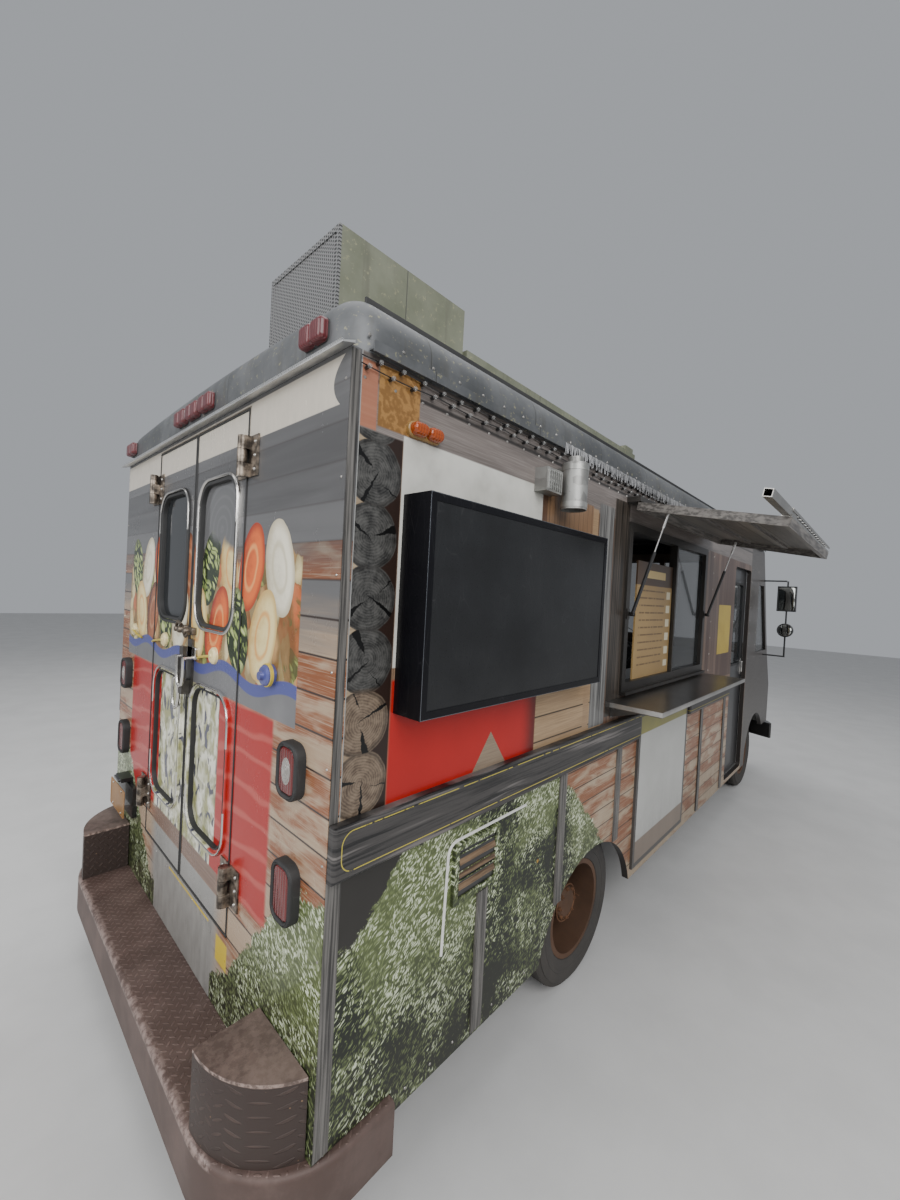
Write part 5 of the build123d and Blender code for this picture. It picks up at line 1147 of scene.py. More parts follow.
@dataclass(frozen=True)
class TreadPlate:
    """Painted or bare tread plate, its bars worn brighter."""

    name: str
    colour: Colour
    worn: Colour
    pitch: float = 0.026
    metallic: float = 0.2
    upright: bool = False

    def material(self) -> bpy.types.Material:
        """The plate as a material."""
        material, g, shader = start_material(self.name)
        x, y, z = where(g)
        first, second = (y, z) if self.upright else (x, y)
        bars = g.group(Groups.tread, Along=first, Across=second, Pitch=self.pitch).outputs["Bar"]
        weather = g.weather(0.45)
        patchy = g.rise(g.noise(g.vector(x, y, z), 7.0, 4.0), 0.4, 0.68)
        wear = g.times(bars, g.plus(0.25, g.times(patchy, 0.6)))
        colour = g.mix(wear, self.colour, self.worn)
        g.feed(shader, "Base Color", g.mix(weather.dirt, colour, (0.05, 0.04, 0.034)))
        g.feed(shader, "Roughness", g.minus(0.62, g.times(wear, 0.25)))
        g.feed(shader, "Normal", g.bump(bars, 0.7, 0.002))
        shader.inputs["Metallic"].default_value = self.metallic
        return material


@dataclass(frozen=True)
class Lens:
    """A moulded lamp lens with fine ribs."""

    name: str
    colour: Colour
    ribs: float = 420.0
    rough: float = 0.14

    def material(self) -> bpy.types.Material:
        """The lens as a material."""
        material, g, shader = start_material(self.name)
        spot = g.add("ShaderNodeTexCoord").outputs["Object"]
        parts = g.add("ShaderNodeSeparateXYZ", {0: spot})
        run = g.plus(parts.outputs["Y"], parts.outputs["X"])
        wave = g.math("SINE", g.times(run, self.ribs))
        weather = g.weather(0.25)
        colour = g.mix(g.rise(wave, -1.0, 1.0), scaled(self.colour, 0.72), self.colour)
        g.feed(shader, "Base Color", g.mix(g.times(0.5, weather.dirt), colour, (0.08, 0.05, 0.04)))
        g.feed(shader, "Roughness", g.plus(self.rough, g.times(weather.dirt, 0.4)))
        g.feed(shader, "Normal", g.bump(wave, 0.35, 0.001))
        shader.inputs["Coat Weight"].default_value = 0.25
        return material


@dataclass(frozen=True)
class Glass:
    """Window glass: dark and glossy, with a little dust."""

    name: str
    tint: Colour = (0.035, 0.04, 0.042)
    clear: float = 0.55

    def material(self) -> bpy.types.Material:
        """The glass as a material."""
        material, g, shader = start_material(self.name)
        weather = g.weather(0.35)
        spot = g.add("ShaderNodeTexCoord").outputs["Object"]
        g.feed(shader, "Base Color", g.mix(weather.dirt, self.tint, (0.16, 0.15, 0.14)))
        g.feed(shader, "Roughness", g.plus(0.03, g.times(g.noise(spot, 5.0), 0.05)))
        alpha = g.math("ADD", 1.0 - self.clear, g.times(weather.dirt, 0.5), clamp=True)
        g.feed(shader, "Alpha", alpha)
        shader.inputs["Coat Weight"].default_value = 1.0
        shader.inputs["Coat Roughness"].default_value = 0.02
        return material


# Modelling: pieces are drawn flat on a face, as right, up and out, and then set on the truck
class Facing(Enum):
    """The faces that pieces are drawn on: the way right, up and out of each."""

    REAR = ((0, -1, 0), (0, 0, 1), (-1, 0, 0))
    FRONT = ((0, 1, 0), (0, 0, 1), (1, 0, 0))
    RIGHT = ((1, 0, 0), (0, 0, 1), (0, -1, 0))
    LEFT = ((-1, 0, 0), (0, 0, 1), (0, 1, 0))
    TOP = ((1, 0, 0), (0, 1, 0), (0, 0, 1))

    def matrix(self, origin: Vector) -> Matrix:
        """The move from the flat drawing to the truck."""
        turn = Matrix([Vector(way) for way in self.value]).transposed()
        return Matrix.Translation(origin) @ turn.to_4x4()


def reset() -> None:
    """Leaves edit mode with nothing selected."""
    if bpy.context.mode != "OBJECT":
        bpy.ops.object.mode_set(mode="OBJECT")
    bpy.ops.object.select_all(action="DESELECT")


def take(obj: Object) -> None:
    """Selects one object alone and makes it active."""
    reset()
    obj.select_set(True)
    bpy.context.view_layer.objects.active = obj


def opened(obj: Object) -> None:
    """Opens one object in edit mode with all of it selected."""
    take(obj)
    bpy.ops.object.mode_set(mode="EDIT")
    bpy.ops.mesh.select_mode(type="VERT")
    bpy.ops.mesh.select_all(action="SELECT")


def pick(kind: str, test: Test) -> None:
    """Selects points, edges or faces of the open mesh.

    Args:
        kind: VERT, EDGE or FACE.
        test: takes each one's middle and its normal, or an edge's direction.
    """
    bpy.ops.mesh.select_mode(type=kind)
    bpy.ops.mesh.select_all(action="DESELECT")
    mesh = bmesh.from_edit_mesh(bpy.context.edit_object.data)
    if kind == "FACE":
        found = [(f, f.calc_center_median(), f.normal) for f in mesh.faces]
    elif kind == "EDGE":
        found = [(e, (e.verts[0].co + e.verts[1].co) / 2, e.verts[1].co - e.verts[0].co) for e in mesh.edges]
    else:
        found = [(v, v.co, v.normal) for v in mesh.verts]
    for item, spot, way in found:
        if test(spot, way):
            item.select_set(True)
    mesh.select_flush(True)
    bmesh.update_edit_mesh(bpy.context.edit_object.data)


def settle(obj: Object, matrix: Matrix | None = None) -> Object:
    """Puts a piece's place into its mesh.

    Args:
        obj: the piece.
        matrix: a move to make first.

    Returns:
        The piece, at the origin and unturned.
    """
    take(obj)
    if matrix is not None:
        obj.matrix_world = matrix @ obj.matrix_world
    bpy.ops.object.transform_apply(location=True, rotation=True, scale=True)
    return obj


def flat(u: tuple[float, float], v: tuple[float, float], w: float, corner: float, segments: int) -> Object:
    """A flat face with rounded corners, open in edit mode."""
    reset()
    bpy.ops.mesh.primitive_plane_add(size=1.0, location=((u[0] + u[1]) / 2, (v[0] + v[1]) / 2, w))
    obj = bpy.context.object
    obj.scale = (u[1] - u[0], v[1] - v[0], 1.0)
    settle(obj)
    opened(obj)
    if corner:
        bpy.ops.mesh.bevel(offset=corner, segments=segments, affect="VERTICES")
        bpy.ops.mesh.select_all(action="SELECT")
    return obj


def thicken(obj: Object, w: tuple[float, float], ease: float, steps: int) -> Object:
    """Draws the open flat face out and eases its front edges."""
    bpy.ops.mesh.select_all(action="SELECT")
    bpy.ops.mesh.extrude_region_move(TRANSFORM_OT_translate={"value": (0.0, 0.0, w[1] - w[0])})
    bpy.ops.mesh.select_all(action="SELECT")
    bpy.ops.mesh.normals_make_consistent(inside=False)
    if ease:
        pick("EDGE", lambda spot, way: abs(spot.z - w[1]) < 1e-5)
        bpy.ops.mesh.bevel(offset=ease, segments=steps, affect="EDGES")
    reset()
    return obj


def slab(u: tuple[float, float], v: tuple[float, float], w: tuple[float, float], corner: float = 0.0,
         ease: float = 0.0015, segments: int = 5, steps: int = 2) -> Object:
    """A plate with rounded corners and eased front edges.

    Args:
        u: its left and right ends.
        v: its lower and upper ends.
        w: its back and front.
        corner: the radius of its corners.
        ease: the size of its eased edges.
        segments: the steps round a corner.
        steps: the steps over an eased edge.

    Returns:
        The plate.
    """
    obj = flat(u, v, w[0], corner, segments)
    return thicken(obj, w, ease, steps)


def ring(u: tuple[float, float], v: tuple[float, float], w: tuple[float, float], rim: float,
         corner: float = 0.0, ease: float = 0.0015, segments: int = 8, steps: int = 2) -> Object:
    """A plate as slab gives, open inside its rim."""
    obj = flat(u, v, w[0], corner, segments)
    bpy.ops.mesh.inset(thickness=rim, depth=0.0)
    bpy.ops.mesh.delete(type="FACE")
    return thicken(obj, w, ease, steps)


def turned(points: Sequence[tuple[float, float]], steps: int = 32, start: float = 0.0) -> Object:
    """A piece turned on a lathe.

    Args:
        points: its outline as radius and height out of the face.
        steps: the steps round it.
        start: where the first step stands, in degrees.

    Returns:
        The piece, round the out axis.
    """
    reset()
    bpy.ops.mesh.primitive_plane_add(size=0.01)
    obj = bpy.context.object
    opened(obj)
    bpy.ops.mesh.merge(type="CENTER")
    place = Vector((points[0][0], 0.0, points[0][1]))
    bpy.ops.transform.translate(value=place)
    for radius, height in points[1:]:
        step = Vector((radius, 0.0, height)) - place
        bpy.ops.mesh.extrude_region_move(TRANSFORM_OT_translate={"value": step})
        place += step
    bpy.ops.mesh.select_all(action="SELECT")
    bpy.ops.mesh.spin(steps=steps, angle=math.tau, center=(0.0, 0.0, 0.0), axis=(0.0, 0.0, 1.0))
    bpy.ops.mesh.select_all(action="SELECT")
    bpy.ops.mesh.remove_doubles(threshold=1e-5)
    bpy.ops.mesh.select_all(action="SELECT")
    bpy.ops.mesh.normals_make_consistent(inside=False)
    reset()
    if start:
        settle(obj, Matrix.Rotation(math.radians(start), 4, "Z"))
    return obj


def pipe(points: Sequence[Sequence[float]], radius: float, sides: int = 8) -> Object:
    """A round bar through points, closed at its ends."""
    curve = bpy.data.curves.new("bar", "CURVE")
    curve.dimensions = "3D"
    spline = curve.splines.new("POLY")
    spline.points.add(len(points) - 1)
    for point, spot in zip(spline.points, points):
        point.co = (*spot, 1.0)
    curve.bevel_depth = radius
    curve.bevel_resolution = max(0, sides // 4 - 1)
    curve.use_fill_caps = True
    obj = bpy.data.objects.new("bar", curve)
    bpy.context.scene.collection.objects.link(obj)
    take(obj)
    bpy.ops.object.convert(target="MESH")
    obj = bpy.context.object
    opened(obj)
    bpy.ops.mesh.remove_doubles(threshold=1e-5)
    bpy.ops.mesh.select_all(action="SELECT")
    bpy.ops.mesh.normals_make_consistent(inside=False)
    reset()
    return obj


def joined(*objects: Object) -> Object:
    """Several meshes made one."""
    reset()
    for obj in objects:
        obj.select_set(True)
    bpy.context.view_layer.objects.active = objects[0]
    if len(objects) > 1:
        bpy.ops.object.join()
    return bpy.context.view_layer.objects.active


def copied(obj: Object, moves: Sequence[Matrix]) -> Object:
    """Copies of a mesh at each move, made one; the first one is used up."""
    copies = []
    for move in moves:
        other = bpy.data.objects.new(obj.name, obj.data.copy())
        other.data.transform(move)
        bpy.context.scene.collection.objects.link(other)
        copies.append(other)
    mesh = obj.data
    bpy.data.objects.remove(obj)
    bpy.data.meshes.remove(mesh)
    return joined(*copies)


def ends(a: float, b: float) -> tuple[float, float]:
    """Two ends in rising order."""
    return min(a, b), max(a, b)


def shift(u: float, v: float, w: float = 0.0) -> Matrix:
    """A move without a turn."""
    return Matrix.Translation((u, v, w))


def done(obj: Object, name: str, material: bpy.types.Material, body: str = "truck_body",
         smooth: float = 35.0, replaces: Sequence[str] = ()) -> Object:
    """Names, smooths, dresses and mounts a finished piece.

    Args:
        obj: the piece.
        name: its name.
        material: its finish.
        body: the CAD body that it rides on.
        smooth: edges flatter than this are shaded smooth, in degrees.
        replaces: the CAD nodes that it stands for.

    Returns:
        The piece.
    """
    take(obj)
    bpy.ops.object.shade_smooth_by_angle(angle=math.radians(smooth))
    obj.name = obj.data.name = name
    obj.data.materials.clear()
    obj.data.materials.append(material)
    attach(obj, body)
    if replaces:
        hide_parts(*replaces)
    log.info("%s: %d faces on %s", name, len(obj.data.polygons), body)
    return obj


def dress(node: str, material: bpy.types.Material) -> None:
    """Gives a CAD node its finish."""
    obj = frame["nodes"][node]
    for item in obj.material_slots:
        item.material = material


# Finishes
class Paints:
    """Every finish that more than one sub-assembly uses."""

    chrome: bpy.types.Material
    rubber: bpy.types.Material
    black: bpy.types.Material
    steel: bpy.types.Material
    zinc: bpy.types.Material
    bronze: bpy.types.Material
    glass: bpy.types.Material
    aluminium: bpy.types.Material
    screw: bpy.types.Material

    @classmethod
    def build(cls) -> None:
        """Builds each finish once."""
        cls.chrome = Finish("worn_chrome", (0.62, 0.6, 0.57), 0.2, 1.0, 0.1, 0.35, scratches=0.3).material()
        cls.rubber = Finish("black_rubber", (0.018, 0.018, 0.018), 0.62, 0.0, 0.3, 0.5, grain=0.25).material()
        cls.black = Finish("black_paint", (0.012, 0.012, 0.013), 0.32, 0.0, 0.3, 0.4, coat=0.3).material()
        cls.steel = Finish("bare_steel", (0.36, 0.35, 0.33), 0.36, 1.0, 0.2, 0.4, scratches=0.5).material()
        cls.zinc = Weathered("galvanised", (0.55, 0.56, 0.56), (0.26, 0.27, 0.28)).material()
        cls.bronze = Finish("hinge_bronze", (0.17, 0.14, 0.11), 0.42, 0.85, 0.3, 0.4,
                            scratches=0.8).material()
        cls.glass = Glass("window_glass").material()
        cls.aluminium = Finish("bright_aluminium", (0.78, 0.77, 0.75), 0.28, 1.0, 0.1, 0.3,
                               scratches=0.5).material()
        cls.screw = Finish("screw_steel", (0.45, 0.43, 0.4), 0.35, 0.95, 0.2, 0.4).material()


@dataclass
class Shell:
    """The finishes of the CAD pieces that stay as they are."""

    deck: Colour = (0.22, 0.22, 0.215)
    deck_worn: Colour = (0.5, 0.5, 0.49)

    def dress(self) -> None:
        """Gives each CAD node its finish."""
        underbody = Finish("underbody_black", (0.02, 0.018, 0.016), 0.7, 0.2, 0.4, 0.7,
                           (0.09, 0.06, 0.04)).material()
        plastic = Finish("grey_plastic", (0.07, 0.07, 0.072), 0.55, 0.0, 0.15, 0.3, grain=0.4).material()
        table: dict[bpy.types.Material, tuple[str, ...]] = {
            PrintedSide("right_wrap", Side.RIGHT).material(): ("side_panel_right",),
            PrintedSide("left_wrap", Side.LEFT).material(): ("side_panel_left",),
            PrintedRear().material(): ("rear_wall", "rear_door_left", "rear_door_right"),
            PrintedRear("window_film", film=True).material(): ("rear_door_glass_left",
                                                               "rear_door_glass_right"),
            RoofPaint("roof_sheet", (0.15, 0.155, 0.16), (0.07, 0.074, 0.078), 0.62,
                      metallic=0.35).material(): ("roof_shell",),
            RoofPaint("roof_box_paint", (0.205, 0.215, 0.155), (0.125, 0.135, 0.09), 1.02, 0.19,
                      0.1).material(): ("roof_boxes",),
            Finish("front_paint", (0.2, 0.15, 0.11), 0.35, 0.0, 0.15, 0.35,
                   coat=0.3).material(): ("front_cowl",),
            Finish("cab_door_paint", (0.03, 0.03, 0.032), 0.4, 0.0, 0.2, 0.4, coat=0.2).material():
                ("cab_door_left", "cab_door_right", "cab_door_tracks"),
            Mouldings().material(): ("side_mouldings",),
            StepPaint().material(): ("rear_step",),
            BoardFaces().material(): ("boards",),
            WallFittings().material(): ("wall_fittings",),
            Boarding("hatch_boards").material(): ("serving_hatch",),
            Finish("window_frame_dark", (0.06, 0.055, 0.05), 0.4, 0.7, 0.3,
                   0.35).material(): ("serving_frame", "hatch_header"),
            Finish("cabinet_black", (0.003, 0.003, 0.0045), 0.3, 0.0, 0.2, 0.1,
                   gloss=0.25).material(): ("screen_cabinet",),
            Finish("screen_black", (0.014, 0.0145, 0.0155), 0.3, 0.0, 0.25, 0.08,
                   gloss=0.3).material(): ("screen_glass",),
            Finish("shelf_stainless", (0.2, 0.19, 0.18), 0.3, 0.9, 0.2, 0.35,
                   scratches=0.8).material(): ("serving_shelf",),
            Finish("kitchen_stainless", (0.5, 0.5, 0.49), 0.35, 0.9, 0.1, 0.25,
                   scratches=0.6).material(): ("kitchen_fittings",),
            Finish("seat_pedestal", (0.03, 0.03, 0.032), 0.6).material(): ("driver_seat",),
            Finish("rusty_rim", (0.085, 0.05, 0.035), 0.62, 0.35, 0.45, 0.5, (0.14, 0.07, 0.035),
                   0.5).material():
                ("front_rim_left", "front_rim_right", "rear_rims_left", "rear_rims_right"),
            Finish("engine_cast", (0.12, 0.12, 0.12), 0.65, 0.6, 0.3, 0.7,
                   grain=0.6).material(): ("engine_block",),
            Finish("lamp_clear", (0.6, 0.62, 0.62), 0.12, 0.0, 0.1, 0.2, coat=1.0).material(): ("headlamps",),
            Lens("red_lens_plain", (0.35, 0.02, 0.015)).material(): ("body_lamps",),
            TreadPlate("deck_plate", self.deck, self.deck_worn, 0.03, 0.7).material(): ("floor_pan",),
            plastic: ("dashboard", "engine_cover"),
            underbody: ("chassis_frame", "underbody_fittings", "front_axle", "rear_axle", "knuckle_left",
                        "knuckle_right"),
            Paints.black: ("front_bumper", "front_grille", "door_mirrors", "plate_bracket", "strut_barrels"),
            Paints.aluminium: ("strut_rods",),
            Paints.steel: ("hatch_rail",),
            Paints.glass: ("cab_door_glass_left", "cab_door_glass_right", "fixed_glass"),
        }
        for material, nodes in table.items():
            for node in nodes:
                dress(node, material)
                log.info("%s is finished as %s", node, material.name)


@dataclass
class RearFace:
    """The rear's window surrounds, door seals, hinge screws and lamps."""

    window_sides: tuple[float, float] = (0.082, 0.456)
    upper_window: tuple[float, float] = (1.955, 2.555)
    lower_window: tuple[float, float] = (1.07, 1.68)
    window_corner: float = 0.09
    lamp_middle: float = 0.985
    lamp_width: float = 0.126
    upper_lamp: tuple[float, float] = (1.483, 1.66)
    lower_lamp: tuple[float, float] = (1.096, 1.288)
    markers: tuple[float, ...] = (-0.99, -0.115, 0.045, 0.205, 1.09)
    marker_z: float = 2.915
    hinge_z: tuple[float, float] = (0.932, 2.535)

    def build(self) -> None:
        """Builds every piece on the rear."""
        self.face = Facing.REAR.matrix(at(0.0, 0.0, 0.0))
        for side, name in ((1, "right"), (-1, "left")):
            self.surrounds(side, f"rear_door_{name}", name)
            self.screws(side, name)
            self.seal(side, f"rear_door_{name}", name)
        self.tail_lamps()
        self.marker_row()

    def surrounds(self, side: int, body: str, name: str) -> None:
        """The rims, bright bends and gaskets of one door's windows."""
        gaskets = []
        u = tuple(sorted(side * edge for edge in self.window_sides))
        wrap = PrintedRear(f"rim_wrap_{name}", True).material()
        # Columns: window, material, slot, name
        rims = ((self.upper_window, Paints.rubber if side < 0 else Paints.chrome,
                 "tyre_rubber" if side < 0 else "bare_frame", "upper"),
                (self.lower_window, wrap, "printed_panel", "lower"))
        for v, material, slot, level in rims:
            rim = ring((u[0] - 0.026, u[1] + 0.026), (v[0] - 0.026, v[1] + 0.026), (0.0, 0.01), 0.013,
                       self.window_corner + 0.026, 0.004, 10, 3)
            done(settle(rim, self.face), f"{level}_window_rim_{name}", material, body)
            thick = 0.014 if level == "upper" else 0.007
            gaskets.append(ring((u[0] - thick + 0.004, u[1] + thick - 0.004),
                                (v[0] - thick + 0.004, v[1] + thick - 0.004), (-0.022, 0.006),
                                thick, self.window_corner + thick - 0.004, 0.002, 10, 2))
        across, up = sum(u) / 2, sum(self.lower_window) / 2
        half_turn = shift(across, up) @ Matrix.Rotation(math.pi, 4, "Z") @ shift(-across, -up)
        bright = joined(*[self.bend(u, v) for v in (self.upper_window, self.lower_window)],
                        settle(self.bend(u, self.lower_window), half_turn))
        done(settle(bright, self.face), f"window_bright_bends_{name}", Paints.chrome, body)
        done(settle(joined(*gaskets), self.face), f"window_gaskets_{name}", Paints.rubber,
             body)

    def bend(self, u: tuple[float, float], v: tuple[float, float]) -> Object:
        """The bright strip that runs over the top of one window's rim and down past its bends.

        Args:
            u: the window's edges across the door.
            v: its bottom and top.

        Returns:
            The strip as one mesh.
        """
        turn = self.window_corner + 0.02
        top, left, right = v[1] + 0.02, u[0] - 0.02, u[1] + 0.02
        path = [(left, top - turn - 0.09, 0.009)]
        for middle, first in ((left + turn, 180.0), (right - turn, 90.0)):
            for step in range(7):
                angle = math.radians(first - step * 15.0)
                path.append((middle + turn * math.cos(angle), top - turn + turn * math.sin(angle), 0.009))
        path.append((right, top - turn - 0.09, 0.009))
        return pipe(path, 0.0045)

    def screws(self, side: int, name: str) -> None:
        """The screws of one side's hinges, on both leaves."""
        fixed, moving = [], []
        for low in self.hinge_z:
            for rise in (0.025, 0.075, 0.125):
                fixed.append(shift(side * 0.606, low + rise, 0.006))
                moving.append(shift(side * 0.49, low + rise, 0.006))
        for moves, body, kind in ((fixed, "truck_body", "fixed"), (moving, f"rear_door_{name}", "moving")):
            head = turned(((0.0, 0.0065), (0.0028, 0.006), (0.0058, 0.0035), (0.0072, 0.0), (0.0072, -0.004)),
                          12)
            done(settle(copied(head, moves), self.face), f"hinge_screws_{kind}_{name}", Paints.screw,
                 body)

    def seal(self, side: int, body: str, name: str) -> None:
        """The dark seal round a door's edge."""
        u = ends(side * 0.004, side * 0.538)
        done(settle(ring(u, (0.793, 2.798), (-0.006, 0.0035), 0.009, 0.0, 0.002), self.face),
             f"door_seal_{name}", Paints.rubber, body)

    def tail_lamps(self) -> None:
        """The four tail lamps: rubber bezels and lenses, and clear round centres in the upper two."""
        bezels, lenses, centres = [], [], []
        half = self.lamp_width / 2
        for middle in (-self.lamp_middle, self.lamp_middle):
            for v in (self.upper_lamp, self.lower_lamp):
                u = (middle - half, middle + half)
                bezels.append(ring(u, v, (0.0, 0.036), 0.017, 0.045, 0.009, 8, 4))
                lenses.append(slab((u[0] + 0.016, u[1] - 0.016), (v[0] + 0.016, v[1] - 0.016), (0.0, 0.032),
                                   0.028, 0.007, 6, 3))
            rings = ((0.0, 0.036), (0.008, 0.0365), (0.01, 0.035), (0.018, 0.0365), (0.02, 0.035),
                     (0.028, 0.0355), (0.03, 0.033), (0.036, 0.033), (0.038, 0.03))
            tall = Matrix.Diagonal((0.72, 1.15, 1.0, 1.0))
            centres.append(settle(turned(rings, 32), shift(middle, sum(self.upper_lamp) / 2) @ tall))
        done(settle(joined(*bezels), self.face), "tail_lamp_bezels", Paints.rubber)
        red = Lens("tail_lens", (0.13, 0.003, 0.003)).material()
        clear = Lens("reverse_lens", (0.3, 0.28, 0.26), 900.0).material()
        done(settle(joined(*lenses), self.face), "tail_lamp_lenses", red,
             replaces=("body_lamps",))
        done(settle(joined(*centres), self.face), "tail_lamp_centres", clear)

    def marker_row(self) -> None:
        """The ribbed marker lamps along the roof's edge, each with two lobes on a base."""
        lobe = slab((-0.034, 0.034), (-0.036, 0.034), (-0.002, 0.031), 0.016, 0.013, 6, 4)
        pairs = [shift(-middle + step, self.marker_z, 0.0) for middle in self.markers
                 for step in (-0.033, 0.033)]
        lens = Lens("marker_lens", (0.12, 0.014, 0.018), 520.0, 0.3).material()
        done(settle(copied(lobe, pairs), self.face), "marker_lenses", lens)
        base = slab((-0.07, 0.07), (-0.038, 0.036), (-0.012, 0.004), 0.02, 0.002)
        spots = [shift(-middle, self.marker_z) for middle in self.markers]
        done(settle(copied(base, spots), self.face), "marker_bases", Paints.rubber)


@dataclass
class RearTrim:
    """The small pieces on the rear: drip lip, latches, lock covers, number plate and bolts."""

    rail_z: float = 2.822
    rail_half: float = 1.19
    lock_z: float = 1.838
    # Columns: left of the centreline, way the bar points, length of the bar, body
    covers: tuple[tuple[float, int, float, str], ...] = (
        (0.9, -1, 0.16, "truck_body"), (0.34, 1, 0.2, "rear_door_left"), (-0.3, 1, 0.17, "rear_door_right"))
    plate: tuple[float, float, float, float] = (0.718, 1.022, 0.8, 0.952)

    def build(self) -> None:
        """Builds every small piece on the rear."""
        self.face = Facing.REAR.matrix(at(0.0, 0.0, 0.0))
        self.drip_lip()
        self.latches()
        self.lock_covers()
        self.number_plate()
        self.screws()

    def drip_lip(self) -> None:
        """The rolled lip of the drip rail."""
        lip = pipe([at(-0.037, y, self.rail_z) for y in (-self.rail_half, 0.0, self.rail_half)], 0.0065, 16)
        done(lip, "drip_rail_lip", Paints.aluminium)

    def latches(self) -> None:
        """The dark linkage above, the bright bracket and the two hanging loops of the handles."""
        parts = [slab((-0.09, -0.012), (1.9, 1.935), (0.0, 0.022), 0.006, 0.003)]
        for u, v, radius in ((-0.075, 1.917, 0.012), (-0.03, 1.917, 0.015)):
            parts.append(settle(turned(((0.0, 0.044), (radius * 0.8, 0.043), (radius, 0.038), (radius, 0.02)),
                                       20), shift(u, v)))
        parts.append(pipe([(-0.09, 1.93, 0.03), (-0.06, 1.952, 0.034), (-0.02, 1.94, 0.03)], 0.007))
        done(settle(joined(*parts), self.face), "latch_linkage_left", Paints.bronze,
             "rear_door_left")
        parts = [slab((0.012, 0.084), (1.9, 1.932), (0.0, 0.02), 0.006, 0.003),
                 settle(turned(((0.0, 0.042), (0.012, 0.041), (0.015, 0.036), (0.015, 0.018)), 20),
                        shift(0.034, 1.915)),
                 pipe([(0.02, 1.9, 0.03), (0.05, 1.893, 0.034), (0.075, 1.91, 0.03)], 0.007)]
        done(settle(joined(*parts), self.face), "latch_linkage_right", Paints.bronze,
             "rear_door_right")
        for side, body, name, low, out in ((1, "rear_door_right", "right", 1.674, 0.052),
                                           (-1, "rear_door_left", "left", 1.555, 0.032)):
            far, near = side * 0.094, side * 0.016
            loop = [(far, low + 0.13, out), (far, low + 0.05, out), (far - side * 0.012, low + 0.012, out),
                    ((far + near) / 2, low, out), (near + side * 0.012, low + 0.012, out),
                    (near, low + 0.05, out), (near, low + 0.13, out)]
            posts = [pipe([(u, low + 0.128, 0.0), (u, low + 0.128, out + 0.003)], 0.008, 12)
                     for u in (far, near)]
            bracket = slab(ends(far + side * 0.016, near - side * 0.008), (low + 0.118, low + 0.175),
                           (0.0, 0.012), 0.01, 0.003)
            done(settle(joined(pipe(loop, 0.0075, 12), bracket, *posts), self.face), f"handle_loop_{name}",
                 Paints.chrome, body)

    def lock_covers(self) -> None:
        """The cream round covers with their yellow bars, and the blue and yellow round lock on the right."""
        cream = Finish("lock_cover", (0.62, 0.52, 0.26), 0.35, coat=0.3).material()
        yellow = Finish("key_bar", (0.55, 0.42, 0.06), 0.4, 0.2).material()
        for index, (middle, way, reach, body) in enumerate(self.covers):
            dome = turned(((0.0, 0.021), (0.008, 0.021), (0.01, 0.017), (0.026, 0.016), (0.034, 0.009),
                           (0.036, 0.0)), 32)
            done(settle(dome, self.face @ shift(-middle, self.lock_z)), f"lock_cover_{index + 1}", cream,
                 body)
            bar = pipe([(-middle, self.lock_z, 0.014),
                        (-middle - way * reach * 0.7, self.lock_z - 0.02, 0.016),
                        (-middle - way * reach, self.lock_z - 0.032, 0.006)], 0.0055, 12)
            done(settle(bar, self.face), f"lock_bar_{index + 1}", yellow, body)
        blue = Finish("blue_lock", (0.09, 0.1, 0.3), 0.3, 0.3, coat=0.4).material()
        body = turned(((0.0, 0.046), (0.014, 0.046), (0.016, 0.034), (0.03, 0.033), (0.036, 0.026),
                       (0.036, 0.0)), 32)
        done(settle(body, self.face @ shift(0.8, self.lock_z)), "round_lock", blue)
        band = turned(((0.0365, 0.022), (0.04, 0.021), (0.04, 0.011), (0.0365, 0.01)), 32)
        done(settle(band, self.face @ shift(0.8, self.lock_z)), "round_lock_band", yellow)

    def number_plate(self) -> None:
        """A blank number plate with a rolled rim, four bolts and its small lamp."""
        left, right, low, high = self.plate
        face = self.face @ shift(0.0, 0.0, 0.06)
        sheet = slab((-right, -left), (low, high), (0.0, 0.0015), 0.012, 0.0004)
        rim = ring((-right, -left), (low, high), (0.001, 0.0032), 0.005, 0.012, 0.0008)
        plate = Finish("blank_plate", (0.3, 0.15, 0.045), 0.4, 0.2, 0.2, 0.6).material()
        done(settle(joined(sheet, rim), face), "number_plate", plate)
        middle = (left + right) / 2
        heads = [shift(-middle + u, (low + high) / 2 + v, 0.0015) for u in (-0.0889, 0.0889)
                 for v in (-0.0603, 0.0603)]
        head = turned(((0.0, 0.005), (0.004, 0.0045), (0.0062, 0.002), (0.0062, 0.0)), 12)
        done(settle(copied(head, heads), face), "plate_bolts", Paints.screw)
        hood = slab((-middle - 0.05, -middle + 0.05), (0.975, 0.994), (-0.02, 0.012), 0.008, 0.004)
        done(settle(hood, face), "plate_lamp", Paints.black)

    def screws(self) -> None:
        """The small screws along the sill and the corner posts."""
        head = turned(((0.0, 0.0025), (0.003, 0.0022), (0.0045, 0.0), (0.0045, -0.002)), 8)
        moves = [shift(-0.34 + index * 0.17, 0.76, 0.0) for index in range(5)]
        moves += [shift(side * 1.16, 0.78 + index * 0.28, 0.0) for side in (-1, 1) for index in range(8)]
        done(settle(copied(head, moves), self.face), "rear_wall_screws", Paints.screw)


